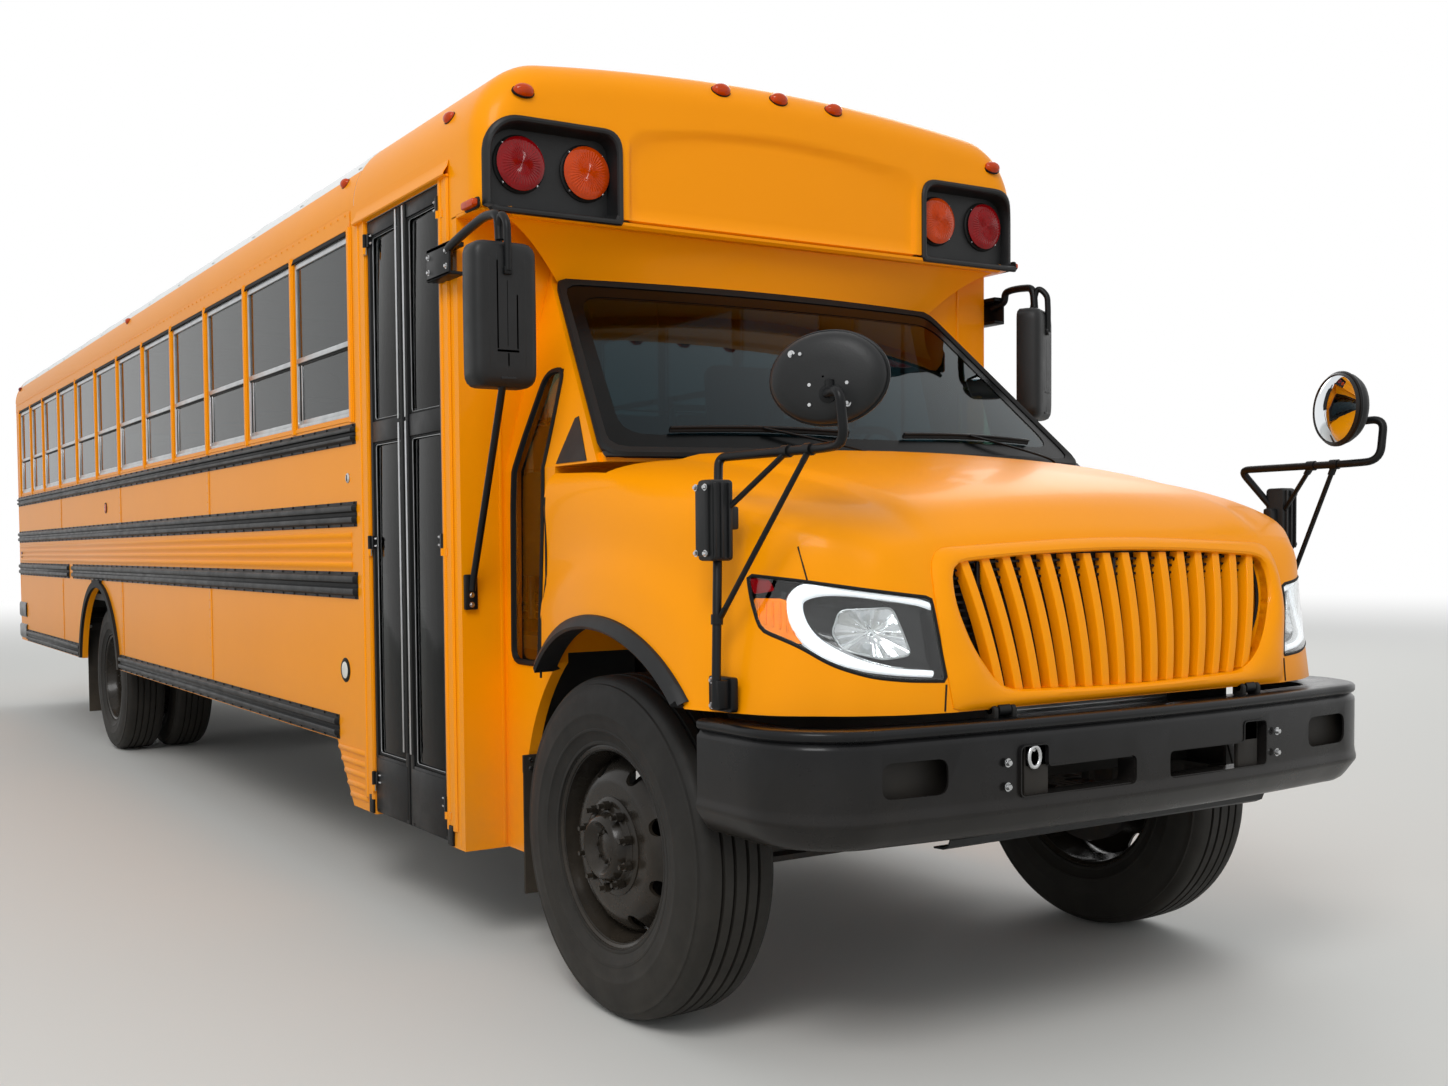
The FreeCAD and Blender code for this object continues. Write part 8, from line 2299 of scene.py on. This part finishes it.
def dress_frame():
    """Finishes of the pieces that keep the frame's own shape."""
    plain = {
        "frame_rails": "chassis_enamel", "floor": "ribbed_floor_rubber", "step_well": "ribbed_floor_rubber",
        "wall_left": "yellow_shell_enamel", "wall_right": "yellow_shell_enamel", "roof": "white_roof_enamel",
        "front_cap": "yellow_shell_enamel", "cowl": "yellow_enamel", "rear_wall": "yellow_enamel",
        "side_windows": "tinted_glass", "windshield": "laminated_glass", "quarter_windows": "bronze_glass",
        "rear_windows": "tinted_glass", "rub_rails": "black_powder_coat", "arch_flares": "flap_rubber",
        "front_bumper": "black_bumper_enamel", "rear_bumper": "black_bumper_enamel", "front_axle": "cast_iron",
        "rear_axle": "cast_iron", "leaf_springs": "cast_iron", "engine_block": "cast_iron",
        "drive_shaft": "shaft_steel", "fuel_tank": "chassis_enamel", "battery_box": "chassis_enamel",
        "exhaust": "aluminised_steel", "seats": "bench_vinyl", "driver_seat": "bench_vinyl",
        "dashboard": "dash_polymer", "rear_view_mirrors": "grained_polymer", "warning_boxes": "grained_polymer",
        "rear_lamps": "red_acrylic", "mud_flaps": "flap_rubber", "stop_arm_base": "grained_polymer",
        "hood": "yellow_enamel", "grille": "yellow_enamel", "headlamps": "clear_polycarbonate",
        "fender_flares": "grained_polymer", "cross_mirrors": "grained_polymer", "tie_rod": "cast_iron",
        "steering_wheel": "dash_polymer", "door_leaf_front": "black_powder_coat",
        "door_leaf_rear": "black_powder_coat", "rear_door": "yellow_enamel", "stop_arm": "red_sign_sheeting",
        "roof_hatch_front": "white_roof_enamel", "roof_hatch_rear": "white_roof_enamel",
        "knuckle_left": "cast_iron", "knuckle_right": "cast_iron",
    }
    for side in ("left", "right"):
        plain["front_wheel_" + side] = plain["rear_wheels_" + side] = "black_wheel_enamel"
        plain["front_tyre_" + side] = plain["rear_tyres_" + side] = "tyre_compound"
    for node, name in plain.items():
        dress(node, name)


# ---------------------------------------------------------------- stage, lamps and camera

CAMERA = {"at": (-3.2906, -8.3255, 1.4037), "yaw": 29.7127, "pitch": -2.1696, "roll": -0.6906, "focal": 1436.67,
          "centre": (580, 600)}
FRAME_W, FRAME_H = 1448, 1086


def make_camera():
    """Camera at eye height off the front curb-side corner, looking a little down the side."""
    yaw, pitch, roll = (math.radians(CAMERA[k]) for k in ("yaw", "pitch", "roll"))
    ahead = Vector((math.sin(yaw) * math.cos(pitch), math.cos(yaw) * math.cos(pitch), math.sin(pitch)))
    level = Vector((math.cos(yaw), -math.sin(yaw), 0))
    above = level.cross(ahead)
    right = math.cos(roll) * level + math.sin(roll) * above
    upward = right.cross(ahead)
    data = bpy.data.cameras.new("camera")
    data.sensor_width = 36.0
    data.lens = 36.0 * CAMERA["focal"] / FRAME_W
    data.shift_x = (FRAME_W / 2 - CAMERA["centre"][0]) / FRAME_W
    data.shift_y = (CAMERA["centre"][1] - FRAME_H / 2) / FRAME_W
    data.clip_end = 500
    camera = bpy.data.objects.new("camera", data)
    turn = Matrix((right, upward, -ahead)).transposed().to_4x4()
    camera.matrix_world = Matrix.Translation(Vector(CAMERA["at"])) @ turn
    bpy.context.scene.collection.objects.link(camera)
    bpy.context.scene.camera = camera


def seen_ray(tree):
    """One for rays from the camera, and for those that glass lets through or a gloss surface returns."""
    path = add(tree, "ShaderNodeLightPath")
    rays = add(tree, "ShaderNodeMath", {"operation": "MAXIMUM"}, {0: path.outputs["Is Camera Ray"],
                                                                1: path.outputs["Is Glossy Ray"]})
    return add(tree, "ShaderNodeMath", {"operation": "MAXIMUM"}, {0: rays.outputs[0],
                                                                1: path.outputs["Is Transmission Ray"]}).outputs[0]


def make_world():
    """Even pale sky: white to the camera, plain studio level on the bus."""
    world = bpy.data.worlds.new("studio")
    world.use_nodes = True
    tree = world.node_tree
    out = tree.nodes["World Output"]
    tree.nodes.remove(tree.nodes["Background"])
    way = add(tree, "ShaderNodeTexCoord").outputs["Generated"]
    height = add(tree, "ShaderNodeSeparateXYZ", None, {0: way})
    rise = add(tree, "ShaderNodeMapRange", {1: -0.1, 2: 0.7, 3: 0.42, 4: 0.7}, {0: height.outputs["Z"]})
    light = add(tree, "ShaderNodeBackground", {"Color": (0.93, 0.97, 1.0, 1)}, {"Strength": rise.outputs[0]})
    white = add(tree, "ShaderNodeBackground", {"Color": (1, 1, 1, 1), "Strength": 1.0})
    both = add(tree, "ShaderNodeMixShader", None, {0: seen_ray(tree), 1: light.outputs[0], 2: white.outputs[0]})
    tree.links.new(both.outputs[0], out.inputs["Surface"])
    bpy.context.scene.world = world


def make_floor():
    """Pale matt studio floor that runs out to white."""
    bm = bmesh.new()
    bmesh.ops.create_circle(bm, cap_ends=True, segments=96, radius=90)
    mesh = bpy.data.meshes.new("floor_sheet")
    bm.to_mesh(mesh)
    bm.free()
    material = bpy.data.materials.new("studio_floor")
    material.use_nodes = True
    tree = material.node_tree
    base = tree.nodes["Principled BSDF"]
    base.inputs["Base Color"].default_value = linear("#DAD8D3") + (1,)
    base.inputs["Roughness"].default_value = 0.7
    where = add(tree, "ShaderNodeTexCoord").outputs["Object"]
    reach = add(tree, "ShaderNodeVectorMath", {"operation": "LENGTH"}, {0: where})
    far = add(tree, "ShaderNodeMapRange", {"interpolation_type": "SMOOTHSTEP", 1: 9.0, 2: 34.0},
              {0: reach.outputs["Value"]})
    white = add(tree, "ShaderNodeEmission", {"Color": (1, 1, 1, 1), "Strength": 1.0})
    seen = add(tree, "ShaderNodeMath", {"operation": "MULTIPLY"}, {0: far.outputs[0], 1: seen_ray(tree)})
    both = add(tree, "ShaderNodeMixShader", None, {0: seen.outputs[0], 1: base.outputs[0], 2: white.outputs[0]})
    tree.links.new(both.outputs[0], tree.nodes["Material Output"].inputs["Surface"])
    mesh.materials.append(material)
    floor = bpy.data.objects.new("studio_floor", mesh)
    bpy.context.scene.collection.objects.link(floor)


def make_lamps():
    """One high soft key from the front curb side and a weak fill behind."""
    for name, energy, size, spot in (("key", 780, 5.0, (-8, -11, 10)), ("fill", 420, 8.0, (11, 6, 9))):
        data = bpy.data.lights.new(name, "AREA")
        data.energy = energy
        data.size = size
        lamp = bpy.data.objects.new(name, data)
        lamp.location = spot
        lamp.rotation_euler = (Vector((0, -1, 1.2)) - Vector(spot)).to_track_quat("-Z", "Y").to_euler()
        bpy.context.scene.collection.objects.link(lamp)


def make_stage():
    make_world()
    make_floor()
    make_lamps()
    make_camera()
    bpy.context.scene.view_settings.view_transform = "Standard"


# ---------------------------------------------------------------- add-on

class SchoolBusSettings(bpy.types.PropertyGroup):
    """Colours that a user may change; the sizes come from the frame."""
    paint_colour: bpy.props.FloatVectorProperty(
        name="Paint", description="Body enamel colour", subtype="COLOR", size=3, min=0, max=1,
        default=linear("#FF9D00"))
    roof_colour: bpy.props.FloatVectorProperty(
        name="Roof", description="Roof enamel colour", subtype="COLOR", size=3, min=0, max=1,
        default=linear("#E9EAE9"))
    seat_colour: bpy.props.FloatVectorProperty(
        name="Benches", description="Bench vinyl colour", subtype="COLOR", size=3, min=0, max=1,
        default=linear("#2C4258"))


class SCHOOLBUS_OT_finishes(bpy.types.Operator):
    """Make every finish and dress the frame's own pieces"""
    bl_idname = "schoolbus.finishes"
    bl_label = "Finishes"

    def execute(self, context):
        make_finishes()
        dress_frame()
        return {"FINISHED"}


class SCHOOLBUS_OT_hood(bpy.types.Operator):
    """Hood shell, grille, headlamps, arch lips and cross-view mirrors"""
    bl_idname = "schoolbus.hood"
    bl_label = "Hood"

    def execute(self, context):
        make_hood()
        make_grille()
        make_headlamps()
        make_flares()
        make_cross_mirrors()
        return {"FINISHED"}


class SCHOOLBUS_OT_front(bpy.types.Operator):
    """Bumper, roof cap, warning and clearance lamps, windscreen and corner windows"""
    bl_idname = "schoolbus.front"
    bl_label = "Front"

    def execute(self, context):
        make_bumper()
        make_cap()
        make_warning_lamps()
        make_markers()
        make_screen()
        make_quarter_seals()
        return {"FINISHED"}


class SCHOOLBUS_OT_sides(bpy.types.Operator):
    """Rub rails, side folds, window sashes, entrance door and rear view mirrors"""
    bl_idname = "schoolbus.sides"
    bl_label = "Sides"

    def execute(self, context):
        make_rails()
        make_panels()
        make_windows()
        for node in LEAVES:
            make_leaf(node)
        make_portal()
        make_flat_mirrors()
        return {"FINISHED"}


class SCHOOLBUS_OT_wheels(bpy.types.Operator):
    """Wheels, tyres, axles, springs, exhaust and what hangs under the floor"""
    bl_idname = "schoolbus.wheels"
    bl_label = "Wheels"

    def execute(self, context):
        make_wheels()
        make_axles()
        make_hanging_parts()
        return {"FINISHED"}


class SCHOOLBUS_OT_inside(bpy.types.Operator):
    """Padded benches, driver's place and cabin trim"""
    bl_idname = "schoolbus.inside"
    bl_label = "Inside"

    def execute(self, context):
        make_benches()
        make_driver_place()
        make_cabin_trim()
        return {"FINISHED"}


class SCHOOLBUS_OT_rear(bpy.types.Operator):
    """Tail, rear door, stop arm, roof and engine"""
    bl_idname = "schoolbus.rear"
    bl_label = "Tail, roof and engine"

    def execute(self, context):
        make_rear_lamps()
        make_tail()
        make_rear_door()
        make_stop_arm()
        make_roof_skin()
        make_hatches()
        make_engine()
        return {"FINISHED"}


class SCHOOLBUS_OT_stage(bpy.types.Operator):
    """Floor, lamps, sky and camera"""
    bl_idname = "schoolbus.stage"
    bl_label = "Stage"

    def execute(self, context):
        make_stage()
        return {"FINISHED"}


OPERATORS = (SCHOOLBUS_OT_finishes, SCHOOLBUS_OT_hood, SCHOOLBUS_OT_front, SCHOOLBUS_OT_sides,
             SCHOOLBUS_OT_wheels, SCHOOLBUS_OT_inside, SCHOOLBUS_OT_rear, SCHOOLBUS_OT_stage)


class SCHOOLBUS_PT_panel(bpy.types.Panel):
    """Sidebar panel that lists the bus's colours and its steps"""
    bl_idname = "SCHOOLBUS_PT_panel"
    bl_label = "School Bus"
    bl_space_type = "VIEW_3D"
    bl_region_type = "UI"
    bl_category = "School Bus"

    def draw(self, context):
        for key in SchoolBusSettings.__annotations__:
            self.layout.prop(context.scene.school_bus, key)
        for step in OPERATORS:
            self.layout.operator(step.bl_idname)


CLASSES = (SchoolBusSettings,) + OPERATORS + (SCHOOLBUS_PT_panel,)


def register():
    for item in CLASSES:
        bpy.utils.register_class(item)
    bpy.types.Scene.school_bus = bpy.props.PointerProperty(type=SchoolBusSettings)


def unregister():
    del bpy.types.Scene.school_bus
    for item in reversed(CLASSES):
        bpy.utils.unregister_class(item)


def main():
    register()
    for step in OPERATORS:
        group, name = step.bl_idname.split(".")
        getattr(getattr(bpy.ops, group), name)()


if __name__ == "__main__":
    main()
